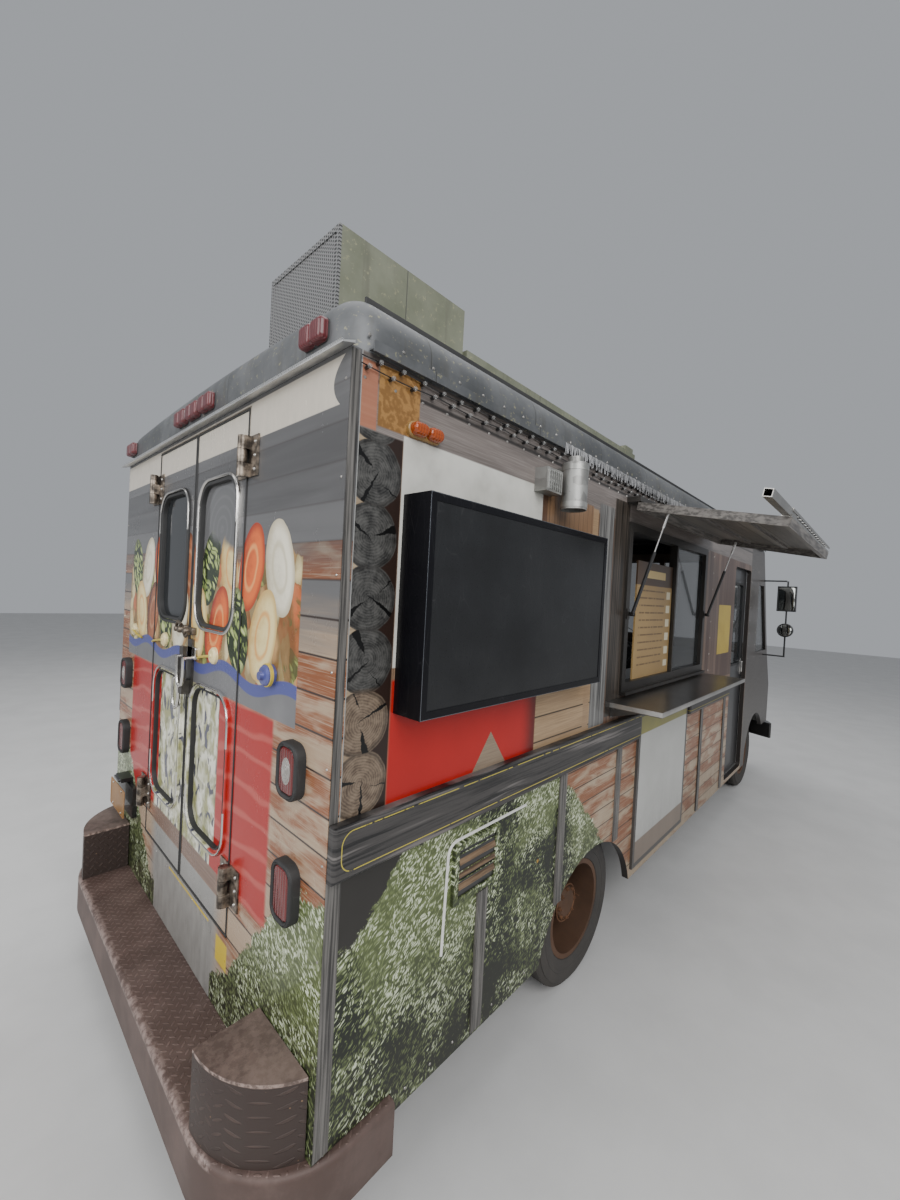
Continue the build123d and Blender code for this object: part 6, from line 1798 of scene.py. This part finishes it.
@dataclass
class SideTrim:
    """The small pieces on the serving side: lamp, light string, fringe, louvres, trim and screws."""

    wall: float = -1.18
    bulb_pitch: float = 0.088
    string_end: float = 3.56
    string_z: tuple[float, float] = (2.79, 2.818)
    fringe: tuple[float, float] = (1.14, 3.6)
    louvre: tuple[float, float, float, float] = (0.572, 0.788, 1.012, 1.188)

    def build(self) -> None:
        """Builds every small piece on the serving side."""
        self.face = Facing.RIGHT.matrix(at(0.0, self.wall, 0.0))
        self.amber_lamp()
        self.light_string()
        self.hanging_fringe()
        self.louvres()
        self.white_trim()
        self.rivets()
        self.lamp_box()
        self.strips()

    def strips(self) -> None:
        """The bright angle round the shelf's edge and the dark strip that stands along the roof's bend."""
        steel = Finish("shelf_edge", (0.42, 0.41, 0.39), 0.3, 0.85, 0.25, 0.3).material()
        front = slab((1.757, 3.599), (1.566, 1.5905), (0.3085, 0.3125), 0.0, 0.0012)
        end = slab((1.7535, 1.7575), (1.566, 1.5905), (0.03, 0.312), 0.0, 0.0012)
        done(settle(joined(front, end), self.face), "shelf_edge", steel)
        strip = slab((0.09, 5.8), (2.992, 3.034), (-0.008, 0.002), 0.0, 0.003)
        bend = Facing.RIGHT.matrix(at(0.0, -1.11, 0.0))
        done(settle(strip, bend), "roof_edge_strip", Paints.rubber)

    def amber_lamp(self) -> None:
        """The amber marker lamp: a rim and two ribbed lobes."""
        rim = slab((0.214, 0.362), (2.634, 2.684), (0.0, 0.014), 0.0245, 0.005, 8, 3)
        base = Finish("lamp_rim", (0.3, 0.17, 0.05), 0.35, coat=0.4).material()
        done(settle(rim, self.face), "side_lamp_rim", base)
        lobes = [slab((u - 0.033, u + 0.033), (2.638, 2.68), (0.012, 0.04), 0.0205, 0.014, 8, 5)
                 for u in (0.254, 0.322)]
        amber = Lens("amber_lens", (0.36, 0.06, 0.006), 560.0).material()
        done(settle(joined(*lobes), self.face), "side_lamp_lenses", amber,
             replaces=("body_lamps",))

    def sag(self, x: float, row: int) -> float:
        """How far a wire hangs between its clips."""
        return 0.007 * abs(math.sin(x * 9.0 + row * 1.3))

    def light_string(self) -> None:
        """Two thin wires under the gutter with small clear bulbs on short sockets."""
        wires, spots = [], []
        for row, z in enumerate(self.string_z):
            count = int(self.string_end / 0.04)
            wires.append(pipe([(0.03 + index * 0.04, z - self.sag(0.03 + index * 0.04, row), 0.008)
                               for index in range(count)],
                              0.0022, 4))
            for index in range(int((self.string_end - 0.06) / self.bulb_pitch)):
                x = 0.05 + row * 0.04 + index * self.bulb_pitch
                spots.append(shift(x, z - self.sag(x, row) - 0.006, 0.02))
        done(settle(joined(*wires), self.face), "light_string_wires", Paints.black)
        socket = turned(((0.0, -0.004), (0.006, -0.004), (0.0065, -0.014), (0.004, -0.02), (0.0, -0.02)), 8)
        bulb = turned(((0.0, 0.0095), (0.0045, 0.008), (0.0078, 0.003), (0.0072, -0.002), (0.004, -0.005)),
                      10)
        done(settle(copied(socket, spots), self.face), "light_string_sockets", Paints.black)
        done(settle(copied(bulb, spots), self.face), "light_string_bulbs",
             Glass("bulb_glass", (0.36, 0.36, 0.35), 0.72).material())

    def hanging_fringe(self) -> None:
        """The dense pale fringe that hangs from the gutter's lip."""
        strand = slab((-0.0019, 0.0019), (-0.046, 0.0), (-0.001, 0.001), 0.0, 0.0)
        start, end = self.fringe
        count = int((end - start) / 0.0095)
        moves = []
        for index in range(count):
            turn = math.radians(18.0 * math.sin(index * 2.4))
            lean = math.radians(13.0 * math.sin(index * 1.7))
            reach = 1.0 + 0.25 * math.sin(index * 3.1)
            moves.append(shift(start + index * 0.0095, 2.855,
                               0.0285 + 0.002 * math.sin(index * 5.3)) @ Matrix.Rotation(turn, 4, "Y")
                         @ Matrix.Rotation(lean, 4, "Z") @ Matrix.Diagonal((1.0, reach, 1.0, 1.0)))
        pale = Finish("pale_fringe", (0.33, 0.33, 0.335), 0.45, 0.0, 0.3, 0.35).material()
        done(settle(copied(strand, moves), self.face), "gutter_fringe", pale)

    def louvres(self) -> None:
        """The slats of the low louvre, over a black back that is painted shade for the inside of the vent."""
        left, right, low, high = self.louvre
        # Painted shade: the black plate behind the slats stands for the shadow inside the vent.
        back = slab((left, right), (low, high), (0.0, 0.0098), 0.004, 0.0005)
        done(settle(back, self.face), "louvre_shade_back", Paints.black)
        slat = slab((left, right), (-0.012, 0.012), (-0.0012, 0.0012), 0.0, 0.0006)
        moves = [shift(0.0, low + 0.04 + index * 0.047, 0.0125) @ Matrix.Rotation(math.radians(-22.0), 4, "X")
                 for index in range(3)]
        wood = Boarding("slat_boards", (0.2, 0.13, 0.075), (0.06, 0.035, 0.02), 0.03).material()
        done(settle(copied(slat, moves), self.face), "louvre_slats", wood)

    def white_trim(self) -> None:
        """The white strips round the low door: up, round the corner and forwards, and a short second one."""
        white = Finish("white_trim", (0.72, 0.71, 0.68), 0.4, 0.0, 0.1, 0.45).material()
        corner = [(0.516 + 0.045 * (1 - math.cos(a)), 1.184 + 0.045 * math.sin(a), 0.004)
                  for a in (0.0, 0.39, 0.79, 1.18, 1.571)]
        first = pipe([(0.504, 0.826, 0.004), *corner, (1.011, 1.231, 0.004)], 0.0055, 8)
        second = pipe([(0.57, 0.998, 0.004), (0.79, 1.0, 0.004)], 0.0045, 8)
        done(settle(joined(first, second), self.face), "white_edging", white)

    def rivets(self) -> None:
        """Rows of rivets along the seams."""
        head = turned(((0.0, 0.0032), (0.0035, 0.0026), (0.0055, 0.0), (0.0055, -0.001)), 8)
        moves = [shift(0.05 + 0.115 * index, 2.755) for index in range(38)]
        moves += [shift(0.12 + 0.12 * index, 0.44) for index in range(9)]
        moves += [shift(x, 0.62 + 0.11 * index) for x in (2.33, 3.28, 4.5) for index in range(6)]
        moves += [shift(x, 1.6 + 0.14 * index) for x in (3.76, 5.3, 5.62) for index in range(8)]
        done(settle(copied(head, moves), self.face), "side_rivets", Paints.screw)

    def lamp_box(self) -> None:
        """The upright ridges on the lamp box and the bands round the lamp."""
        ridge = slab((-0.0035, 0.0035), (2.608, 2.692), (-0.004, 0.006), 0.0, 0.002)
        moves = [shift(0.958 + index * 0.0165, 0.0, 0.062) for index in range(7)]
        zinc = Weathered("lamp_zinc", (0.5, 0.5, 0.48), (0.3, 0.3, 0.28), dirt=0.3).material()
        done(settle(copied(ridge, moves), self.face), "lamp_box_ridges", zinc)
        band = turned(((0.0575, -0.012), (0.0598, -0.011), (0.0598, 0.011), (0.0575, 0.012)), 40)
        moves = [Matrix.Translation(at(1.148, -1.258, z)) for z in (2.565, 2.728)]
        done(copied(band, moves), "lamp_bands", zinc)


@dataclass
class Screen:
    """The outdoor screen's thin grey metal edge line, a painted highlight that stands for the reflection along
    the black bezel's corner.
    """

    u: tuple[float, float] = (0.2202, 1.4118)
    v: tuple[float, float] = (1.7552, 2.4488)
    depth: float = 0.125

    def build(self) -> None:
        """Builds the screen's small pieces."""
        face = Facing.RIGHT.matrix(at(0.0, -1.18, 0.0))
        # Painted highlight: this thin ring's grey metal colour stands for the reflection along the screen
        # bezel's corner; the bezel itself is black.
        edge = Finish("screen_sheen", (0.16, 0.17, 0.19), 0.22, 0.8, 0.1, 0.2).material()
        line = ring(self.u, self.v, (self.depth - 0.002, self.depth + 0.0006), 0.0022, 0.0, 0.0004, 4, 1)
        done(settle(line, face), "screen_sheen_line", edge)


@dataclass
class HatchTrim:
    """The serving hatch's edge angles and hinge screws."""

    hinge: tuple[float, float] = (-1.238, 2.717)
    tilt: float = 10.8
    span: tuple[float, float] = (1.9, 3.598)
    reach: float = 0.7
    skin: float = 0.0025

    def build(self) -> None:
        """Builds the hatch's small pieces in its open place."""
        lean = math.radians(self.tilt)
        out, down = Vector((0.0, -math.cos(lean), -math.sin(lean))), Vector((0.0, math.sin(lean),
                                                                             -math.cos(lean)))
        turn = Matrix([Vector((1.0, 0.0, 0.0)), out, down]).transposed().to_4x4()
        face = Matrix.Translation(at(0.0, *self.hinge)) @ turn
        steel = Finish("hatch_steel", (0.2, 0.19, 0.18), 0.4, 0.85, 0.2, 0.4, scratches=0.6).material()
        skin = self.skin
        angles = [slab((self.span[0] + 0.03, self.span[1] - 0.03), (v, v + 0.03), (skin, skin + 0.002), 0.0,
                       0.0006) for v in (0.03, 0.66)]
        done(settle(joined(*angles), face), "hatch_angles", steel, "serving_hatch")
        head = turned(((0.0, 0.004), (0.005, 0.0034), (0.007, 0.0), (0.007, -0.002)), 10)
        moves = [shift(self.span[0] + 0.06 + index * 0.1315, self.reach - 0.028, skin) for index in range(13)]
        done(settle(copied(head, moves), face), "hatch_screws", Paints.screw, "serving_hatch")


@dataclass
class Cab:
    """The cab's outer pieces: mirror glasses, door handles and window rubbers."""

    mirror_side: float = 1.395
    flat_place: tuple[float, float] = (6.098, 2.29)
    round_place: tuple[float, float] = (6.102, 1.915)
    door_window: tuple[float, float, float, float] = (4.623, 5.157, 1.56, 2.4)
    door_face: float = 1.132

    def build(self) -> None:
        """Builds both sides."""
        silver = Finish("mirror_silver", (0.3, 0.31, 0.3), 0.04, 1.0, 0.02, 0.15, scratches=0.1,
                        grain=0.0).material()
        for side, name in ((-1, "right"), (1, "left")):
            self.mirrors(side, name, silver)
            self.door(side, name)

    def mirrors(self, side: int, name: str, silver: bpy.types.Material) -> None:
        """The flat and round glasses with their rims, facing back."""
        turn = Matrix.Rotation(math.radians(side * 6.0), 4, "Z")
        x, z = self.flat_place
        back = Matrix(((0, 0, -1, 0), (-1, 0, 0, 0), (0, 1, 0, 0), (0, 0, 0, 1)))
        flat_face = Matrix.Translation(at(x, side * self.mirror_side, z)) @ turn @ back
        glass = slab((-0.083, 0.083), (-0.137, 0.137), (0.017, 0.0195), 0.022, 0.0005)
        done(settle(glass, flat_face), f"flat_mirror_{name}", silver)
        rim = ring((-0.094, 0.094), (-0.149, 0.149), (0.012, 0.023), 0.012, 0.028, 0.004, 6, 3)
        done(settle(rim, flat_face), f"flat_mirror_rim_{name}", Paints.black)
        x, z = self.round_place
        round_face = Matrix.Translation(at(x, side * self.mirror_side, z)) @ turn @ back
        glass = turned(((0.0, 0.022), (0.03, 0.0212), (0.055, 0.019), (0.071, 0.0155), (0.071, 0.012)), 40)
        done(settle(glass, round_face), f"round_mirror_{name}", silver)
        rim = turned(((0.068, 0.0145), (0.07, 0.0205), (0.076, 0.022), (0.081, 0.018), (0.0815, 0.008)), 40)
        done(settle(rim, round_face), f"round_mirror_rim_{name}", Paints.black)

    def door(self, side: int, name: str) -> None:
        """The rubber round the window, the handle and the lock of a sliding door."""
        body = f"cab_door_{name}"
        facing = Facing.RIGHT if side < 0 else Facing.LEFT
        face = facing.matrix(at(0.0, side * self.door_face, 0.0))
        left, right, low, high = self.door_window
        u = (left, right) if side < 0 else (-right, -left)
        rubber = ring((u[0] - 0.016, u[1] + 0.016), (low - 0.016, high + 0.016), (-0.004, 0.0025), 0.022,
                      0.062, 0.0015, 8, 2)
        done(settle(rubber, face), f"door_window_rubber_{name}", Paints.rubber, body)
        place = (5.196, 5.222) if side < 0 else (-5.222, -5.196)
        plate = slab(place, (1.43, 1.6), (-0.002, 0.003), 0.008, 0.001)
        pull = slab((place[0] + 0.005, place[1] - 0.005), (1.455, 1.575), (0.0, 0.02), 0.006, 0.004, 5, 3)
        lock = settle(turned(((0.0, 0.005), (0.009, 0.005), (0.011, 0.003), (0.011, 0.0)), 20),
                      shift(sum(place) / 2, 1.37))
        done(settle(joined(plate, pull, lock), face), f"cab_door_handle_{name}", Paints.chrome,
             body)


@dataclass
class Front:
    """The front: windshield rubber, wipers, grille bars, lamp bezels, turn lamps and bumper bolts."""

    foot: tuple[float, float] = (6.4, 1.6)
    top: tuple[float, float] = (5.887, 2.83)
    glass_edge: float = 1.07
    glass_z: tuple[float, float] = (1.69, 2.73)
    nose: float = 6.64
    headlamp: tuple[float, float, float, float] = (0.64, 0.94, 0.85, 1.04)

    def build(self) -> None:
        """Builds every small piece on the front."""
        self.face = Facing.FRONT.matrix(at(self.nose, 0.0, 0.0))
        self.windshield()
        self.lamps()
        self.grille()
        self.bumper()

    def windshield(self) -> None:
        """The rubber round both panes and two wipers, on the slope of the windshield."""
        x, z = self.foot
        up = Vector((self.top[0] - x, 0.0, self.top[1] - z)).normalized()
        across = Vector((0.0, 1.0, 0.0))
        turn = Matrix([across, up, across.cross(up)]).transposed().to_4x4()
        face = Matrix.Translation(at(x, 0.0, z)) @ turn
        low, high = ((height - z) / up.z for height in self.glass_z)
        rubbers = [ring(ends(side * 0.004, side * (self.glass_edge + 0.014)), (low - 0.014, high + 0.014),
                        (-0.01, 0.006), 0.026, 0.03, 0.004, 6, 3) for side in (-1, 1)]
        done(settle(joined(*rubbers), face), "windshield_rubber", Paints.rubber)
        parts = []
        for side in (-1, 1):
            foot = Vector((side * 0.42, low - 0.055, 0.0))
            parts.append(settle(turned(((0.0, 0.035), (0.012, 0.034), (0.016, 0.026), (0.018, 0.0)), 20),
                                Matrix.Translation(foot)))
            tip = Vector((side * 0.8, low + 0.2, 0.014))
            parts.append(pipe([foot + Vector((0.0, 0.0, 0.028)), (foot + tip) / 2 + Vector((0.0, 0.0, 0.026)),
                               tip + Vector((0.0, 0.0, 0.01))], 0.005))
            way = Vector((side * 0.09, 0.22, 0.0))
            parts.append(pipe([tip - way, tip, tip + way], 0.0045))
        done(settle(joined(*parts), face), "wipers", Paints.black)

    def lamps(self) -> None:
        """The headlamps' bezels with their round reflectors, and the amber turn lamps beside them."""
        near, far, low, high = self.headlamp
        bezels, rounds, ambers = [], [], []
        for side in (-1, 1):
            u = ends(side * (near - 0.012), side * (far + 0.012))
            bezels.append(ring(u, (low - 0.012, high + 0.012), (-0.002, 0.018), 0.018, 0.02, 0.005, 6, 3))
            for middle in (near + 0.075, far - 0.075):
                rounds.append(shift(side * middle, (low + high) / 2, 0.0))
            u = ends(side * 0.975, side * 1.055)
            ambers.append(slab(u, (low + 0.02, high - 0.02), (-0.004, 0.018), 0.02, 0.009, 6, 4))
        done(settle(joined(*bezels), self.face), "headlamp_bezels", Paints.chrome)
        reflector = turned(((0.0, 0.014), (0.03, 0.0138), (0.055, 0.0125), (0.064, 0.011), (0.066, 0.015),
                            (0.07, 0.015), (0.071, 0.008)), 36)
        clear = Lens("headlamp_lens", (0.7, 0.72, 0.72), 300.0, 0.08).material()
        done(settle(copied(reflector, rounds), self.face), "headlamp_lenses", clear)
        done(settle(joined(*ambers), self.face), "turn_lamps", Lens("turn_lens", (0.7, 0.2, 0.02)).material())

    def grille(self) -> None:
        """Level bars with a bright rim."""
        bar = slab((-0.53, 0.53), (-0.007, 0.007), (-0.03, -0.002), 0.003, 0.003)
        moves = [shift(0.0, 0.775 + index * 0.0375) for index in range(9)]
        done(settle(copied(bar, moves), self.face), "grille_bars", Paints.steel)
        rim = ring((-0.552, 0.552), (0.733, 1.122), (-0.002, 0.008), 0.016, 0.02, 0.003, 6, 3)
        done(settle(rim, self.face), "grille_rim", Paints.chrome)

    def bumper(self) -> None:
        """Four round-headed bolts and a rubber strip along the bumper."""
        face = self.face @ shift(0.0, 0.0, 0.15)
        head = turned(((0.0, 0.008), (0.008, 0.007), (0.014, 0.003), (0.016, -0.002)), 16)
        moves = [shift(side * u, 0.61) for side in (-1, 1) for u in (0.42, 0.75)]
        strip = slab((-0.84, 0.84), (0.535, 0.57), (-0.008, -0.0003), 0.01, 0.003)
        done(settle(strip, face), "bumper_strip", Paints.rubber)
        done(settle(copied(head, [move @ shift(0.0, 0.0, -0.008) for move in moves]), face), "bumper_bolts",
             Paints.screw)


@dataclass
class RoofTrim:
    """The roof's rivets, the cooler's fan guard and rim, and the small cap on the duct."""

    cooler: tuple[float, float, float, float, float] = (0.18, 0.864, -0.795, -0.27, 3.468)
    duct: tuple[float, float, float] = (0.894, 2.89, 3.3)

    def build(self) -> None:
        """Builds every small piece on the roof."""
        self.rivet_rows()
        self.fan()
        self.duct_cap()

    def rivet_rows(self) -> None:
        """Rivets along both gutters and up the rear edge."""
        outline = ((0.0, 0.003), (0.004, 0.0024), (0.006, 0.0), (0.006, -0.001))
        for side, facing, name in ((-1, Facing.RIGHT, "right"), (1, Facing.LEFT, "left")):
            face = facing.matrix(at(0.0, side * 1.18, 0.0))
            moves = [shift(-side * (0.06 + 0.13 * index), 2.882) for index in range(44)]
            done(settle(copied(turned(outline, 8), moves), face), f"roof_rivets_{name}", Paints.screw)
        head = turned(outline, 8)
        moves = [shift(-1.1 + 0.1 * index, 2.85) for index in range(23)]
        done(settle(copied(head, moves), Facing.REAR.matrix(at(0.0, 0.0, 0.0))), "roof_rivets_rear",
             Paints.screw)

    def fan(self) -> None:
        """The round guard over the cooler's fan, in rings on four spokes."""
        x0, x1, y0, y1, top = self.cooler
        middle = ((x0 + x1) / 2, (y0 + y1) / 2)
        rings = [turned(((r, -0.003), (r + 0.003, 0.0), (r + 0.006, -0.003)), 40)
                 for r in (0.05, 0.085, 0.12, 0.155, 0.19)]
        spokes = [pipe([(0.04 * c, 0.04 * s, -0.004), (0.2 * c, 0.2 * s, -0.004)], 0.004)
                  for c, s in ((1, 0), (0, 1), (-1, 0), (0, -1))]
        done(settle(joined(*rings, *spokes), Facing.TOP.matrix(at(*middle, top))), "fan_guard", Paints.steel)
        rim = ring((x0 + 0.004, x1 - 0.004), (y0 + 0.004, y1 - 0.004), (-0.003, 0.0), 0.012, 0.01, 0.001, 4,
                   1)
        done(settle(rim, Facing.TOP.matrix(at(0.0, 0.0, top))), "cooler_rim", Paints.zinc)

    def duct_cap(self) -> None:
        """A small round cap at the duct's front end."""
        _, x1, top = self.duct
        cap = turned(((0.0, 0.05), (0.03, 0.048), (0.05, 0.038), (0.052, 0.03), (0.04, 0.028), (0.04, 0.0)),
                     28)
        done(settle(cap, Facing.TOP.matrix(at(x1 - 0.12, -0.55, top - 0.001))), "duct_cap", Paints.zinc)


@dataclass
class WheelTrim:
    """The wheels' nuts, hub rings and valves."""

    nuts: int = 8
    # Columns: body, place along the truck, how far out the disc stands, circle of nuts, rings
    discs: tuple[tuple[str, float, float, float, tuple[float, ...]], ...] = (
        ("front_wheel", 5.9, 1.0243, 0.14, (0.112, 0.166)), ("rear_wheels", 1.72, 0.8833, 0.14,
                                                             (0.112, 0.166)),
        ("rear_wheels", 1.72, 1.0337, 0.08, (0.055, 0.1)))

    def build(self) -> None:
        """Builds the trim on all four outer rims."""
        rusty = Finish("rusty_nut", (0.16, 0.085, 0.05), 0.6, 0.5, 0.4, 0.5, (0.2, 0.09, 0.04)).material()
        for side, facing, name in ((-1, Facing.RIGHT, "right"), (1, Facing.LEFT, "left")):
            for index, (end, x, disc, circle, radii) in enumerate(self.discs):
                face = facing.matrix(at(x, side * disc, 0.405))
                nuts = self.nuts_and_rings(circle, radii)
                done(settle(nuts, face), f"wheel_nuts_{name}_{index + 1}", rusty,
                     f"{end}_{name}")

    def nuts_and_rings(self, circle: float, radii: tuple[float, ...]) -> Object:
        """The nuts on their circle, the rings pressed in the disc and the valve."""
        nut = turned(((0.0, 0.03), (0.006, 0.03), (0.0065, 0.02), (0.0145, 0.0195), (0.0165, 0.016),
                      (0.0165, 0.0)), 6)
        scale = Matrix.Scale(min(1.0, circle / 0.14 + 0.1), 4)
        turns = [Matrix.Rotation(math.tau * index / self.nuts, 4, "Z") @ shift(circle, 0.0) @ scale
                 for index in range(self.nuts)]
        rings = [turned(((r - 0.004, -0.001), (r, 0.003), (r + 0.004, -0.001)), 48) for r in radii]
        valve = pipe([(circle * 1.43, 0.0, -0.015), (circle * 1.45, 0.0, 0.02)], 0.004)
        return joined(copied(nut, turns), *rings, valve)


@dataclass
class Wheels:
    """The tyres with their tread."""

    radius: float = 0.405
    rim: float = 0.248
    width: float = 0.215
    ribs: int = 5
    steps: int = 80

    def outline(self) -> list[tuple[float, float]]:
        """The tyre's closed outline as radius and distance inwards from its outer face."""
        r, w = self.radius, self.width
        wall = [(self.rim + 0.001, 0.022), (self.rim + 0.014, 0.021), (self.rim + 0.018, 0.012),
                (self.rim + 0.04, 0.006),
                (self.rim + 0.06, 0.0035), (self.rim + 0.062, 0.0015), (self.rim + 0.078, 0.0015),
                (self.rim + 0.08, 0.0035),
                (r - 0.05, 0.0), (r - 0.03, 0.006), (r - 0.012, 0.016), (r - 0.004, 0.024)]
        tread = []
        land = (w - 0.064) / self.ribs
        for index in range(self.ribs):
            a, b = 0.032 + index * land, 0.032 + (index + 1) * land
            tread += [(r, a + 0.004), (r, b - 0.004)]
            if index < self.ribs - 1:
                tread += [(r - 0.008, b - 0.002), (r - 0.008, b + 0.002)]
        other = [(radius, w - inwards) for radius, inwards in reversed(wall)]
        return wall + tread + other + [wall[0]]

    def tyre(self) -> Object:
        """One tyre with shoulder blocks, its outer face at height 0."""
        obj = turned([(radius, -inwards) for radius, inwards in self.outline()], self.steps)
        opened(obj)
        sector = math.tau / self.steps

        def gap(spot: Vector, way: Vector) -> bool:
            """Every other face over the shoulders."""
            distance = math.hypot(spot.x, spot.y)
            turn = int((math.atan2(spot.y, spot.x) % math.tau) / sector)
            on_shoulder = self.radius - 0.03 < distance < self.radius - 0.003
            return turn % 2 == 0 and on_shoulder and (spot.z > -0.03 or spot.z < -self.width + 0.03)

        pick("FACE", gap)
        bpy.ops.mesh.inset(thickness=0.0025, depth=-0.004, use_individual=False)
        reset()
        return obj

    def build(self) -> None:
        """Builds all six tyres in place."""
        rubber = self.rubber()
        for side, facing, name in ((-1, Facing.RIGHT, "right"), (1, Facing.LEFT, "left")):
            front = settle(self.tyre(), facing.matrix(at(5.9, side * 1.075, 0.405)))
            done(front, f"front_tread_{name}", rubber, f"front_wheel_{name}", 30.0,
                 (f"front_tyre_{name}",))
            outer = settle(self.tyre(), facing.matrix(at(1.72, side * 1.105, 0.405)))
            inner = settle(self.tyre(), facing.matrix(at(1.72, side * 0.85, 0.405)))
            done(joined(outer, inner), f"rear_treads_{name}", rubber, f"rear_wheels_{name}",
                 30.0, (f"rear_tyres_{name}",))

    def rubber(self) -> bpy.types.Material:
        """Road-worn tyre rubber."""
        return Finish("tyre_rubber", (0.02, 0.02, 0.021), 0.72, 0.0, 0.25, 0.55, (0.075, 0.065, 0.055), 0.3,
                      0.3, 160.0).material()


@dataclass
class DriverSeat:
    """The driver's seat: two padded cushions on a steel pedestal."""

    middle: tuple[float, float] = (5.15, 0.52)

    def build(self) -> None:
        """Builds the pedestal and both cushions."""
        x, y = self.middle
        vinyl = Finish("seat_vinyl", (0.028, 0.028, 0.03), 0.5, 0.0, 0.2, 0.25, grain=0.5,
                       grain_scale=420.0).material()
        base = settle(slab((-0.15, 0.15), (-0.13, 0.13), (0.0, 0.36), 0.03, 0.01),
                      Facing.TOP.matrix(at(x, y, 0.7805)))
        done(base, "seat_pedestal", Paints.black, replaces=("driver_seat",))
        cushion = self.pad((0.46, 0.45, 0.1), 0.03)
        settle(cushion, Facing.TOP.matrix(at(x, y, 1.205)))
        done(cushion, "seat_cushion", vinyl, replaces=("driver_seat",))
        back = self.pad((0.1, 0.43, 0.6), 0.03)
        settle(back, Facing.TOP.matrix(at(x - 0.215, y, 1.56)) @ Matrix.Rotation(math.radians(-8), 4, "Y"))
        done(back, "seat_back", vinyl, replaces=("driver_seat",))

    def pad(self, size: tuple[float, float, float], crown: float) -> Object:
        """A crowned cushion with pulled-in sides."""
        reset()
        bpy.ops.mesh.primitive_cube_add(size=1.0)
        obj = bpy.context.object
        obj.scale = size
        settle(obj)
        opened(obj)
        bpy.ops.mesh.subdivide(number_cuts=3)
        reset()
        half = Vector(size) / 2
        for vertex in obj.data.vertices:
            share = [vertex.co[i] / half[i] for i in range(3)]
            for i in range(3):
                j, k = (i + 1) % 3, (i + 2) % 3
                bulge = (1 - share[j] ** 2) * (1 - share[k] ** 2)
                vertex.co[i] += share[i] * crown * bulge * 0.4
        soft = obj.modifiers.new("soft", "SUBSURF")
        soft.levels = soft.render_levels = 2
        take(obj)
        bpy.ops.object.modifier_apply(modifier=soft.name)
        return obj


@dataclass
class Studio:
    """The floor, the lights and the camera at the photograph's viewing angle."""

    eye: tuple[float, float, float] = (-0.757, -2.320, 2.145)
    yaw: float = 43.193
    pitch: float = -0.806
    roll: float = -3.029
    lens: float = 14.137

    def build(self) -> None:
        """Sets up the studio."""
        self.floor()
        self.lights()
        self.camera()

    def floor(self) -> None:
        """A wide pale floor."""
        reset()
        bpy.ops.mesh.primitive_plane_add(size=60.0, location=(0.0, 0.0, 0.0))
        obj = bpy.context.object
        obj.name = obj.data.name = "studio_floor"
        finish = Finish("studio_floor", (0.56, 0.555, 0.545), 0.8, variation=0.04, dirt=0.0, scratches=0.0,
                        grain=0.02)
        obj.data.materials.append(finish.material())

    def lights(self) -> None:
        """A soft sky and four wide soft boxes."""
        world = bpy.data.worlds.new("studio")
        bpy.context.scene.world = world
        world.use_nodes = True
        back = world.node_tree.nodes["Background"]
        back.inputs[0].default_value = (0.9, 0.94, 1.0, 1.0)
        back.inputs[1].default_value = 0.42
        table: tuple[tuple[str, tuple[float, float, float], float, float], ...] = (
            ("key", (-3.0, -8.0, 7.0), 7.0, 900.0),
            ("rear_fill", (-8.0, 1.0, 5.0), 7.0, 560.0),
            ("top", (2.0, 0.0, 9.5), 8.0, 380.0),
            ("far_fill", (8.0, 7.0, 5.0), 8.0, 300.0),
        )
        for name, (x, y, z), size, power in table:
            data = bpy.data.lights.new(name, "AREA")
            data.energy = power
            data.size = size
            lamp = bpy.data.objects.new(name, data)
            bpy.context.scene.collection.objects.link(lamp)
            lamp.location = at(x, y, z)
            lamp.rotation_euler = (at(2.6, 0.0, 1.4) - lamp.location).to_track_quat("-Z", "Y").to_euler()

    def camera(self) -> None:
        """The camera at the place and angle of the photograph."""
        yaw, pitch, roll = (math.radians(angle) for angle in (self.yaw, self.pitch, self.roll))
        ahead = Vector((math.cos(yaw) * math.cos(pitch), math.sin(yaw) * math.cos(pitch), math.sin(pitch)))
        right = Vector((math.sin(yaw), -math.cos(yaw), 0.0))
        down = ahead.cross(right)
        turned_right = right * math.cos(roll) + down * math.sin(roll)
        turned_down = down * math.cos(roll) - right * math.sin(roll)
        data = bpy.data.cameras.new("photo_camera")
        data.sensor_fit = "VERTICAL"
        data.sensor_height = 36.0
        data.lens = self.lens
        data.clip_start, data.clip_end = 0.05, 200.0
        camera = bpy.data.objects.new("photo_camera", data)
        bpy.context.scene.collection.objects.link(camera)
        turn = Matrix([turned_right, -turned_down, -ahead]).transposed()
        camera.matrix_world = Matrix.Translation(at(*self.eye)) @ turn.to_4x4()
        bpy.context.scene.camera = camera


def main() -> None:
    """Builds every sub-assembly in order."""
    logging.basicConfig(level=logging.INFO, format="%(name)s: %(message)s")
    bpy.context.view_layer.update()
    Groups.build()
    Paints.build()
    Shell().dress()
    RearFace().build()
    RearTrim().build()
    SideTrim().build()
    Screen().build()
    HatchTrim().build()
    Cab().build()
    Front().build()
    RoofTrim().build()
    Wheels().build()
    WheelTrim().build()
    DriverSeat().build()
    Studio().build()


if __name__ == "__main__":
    main()
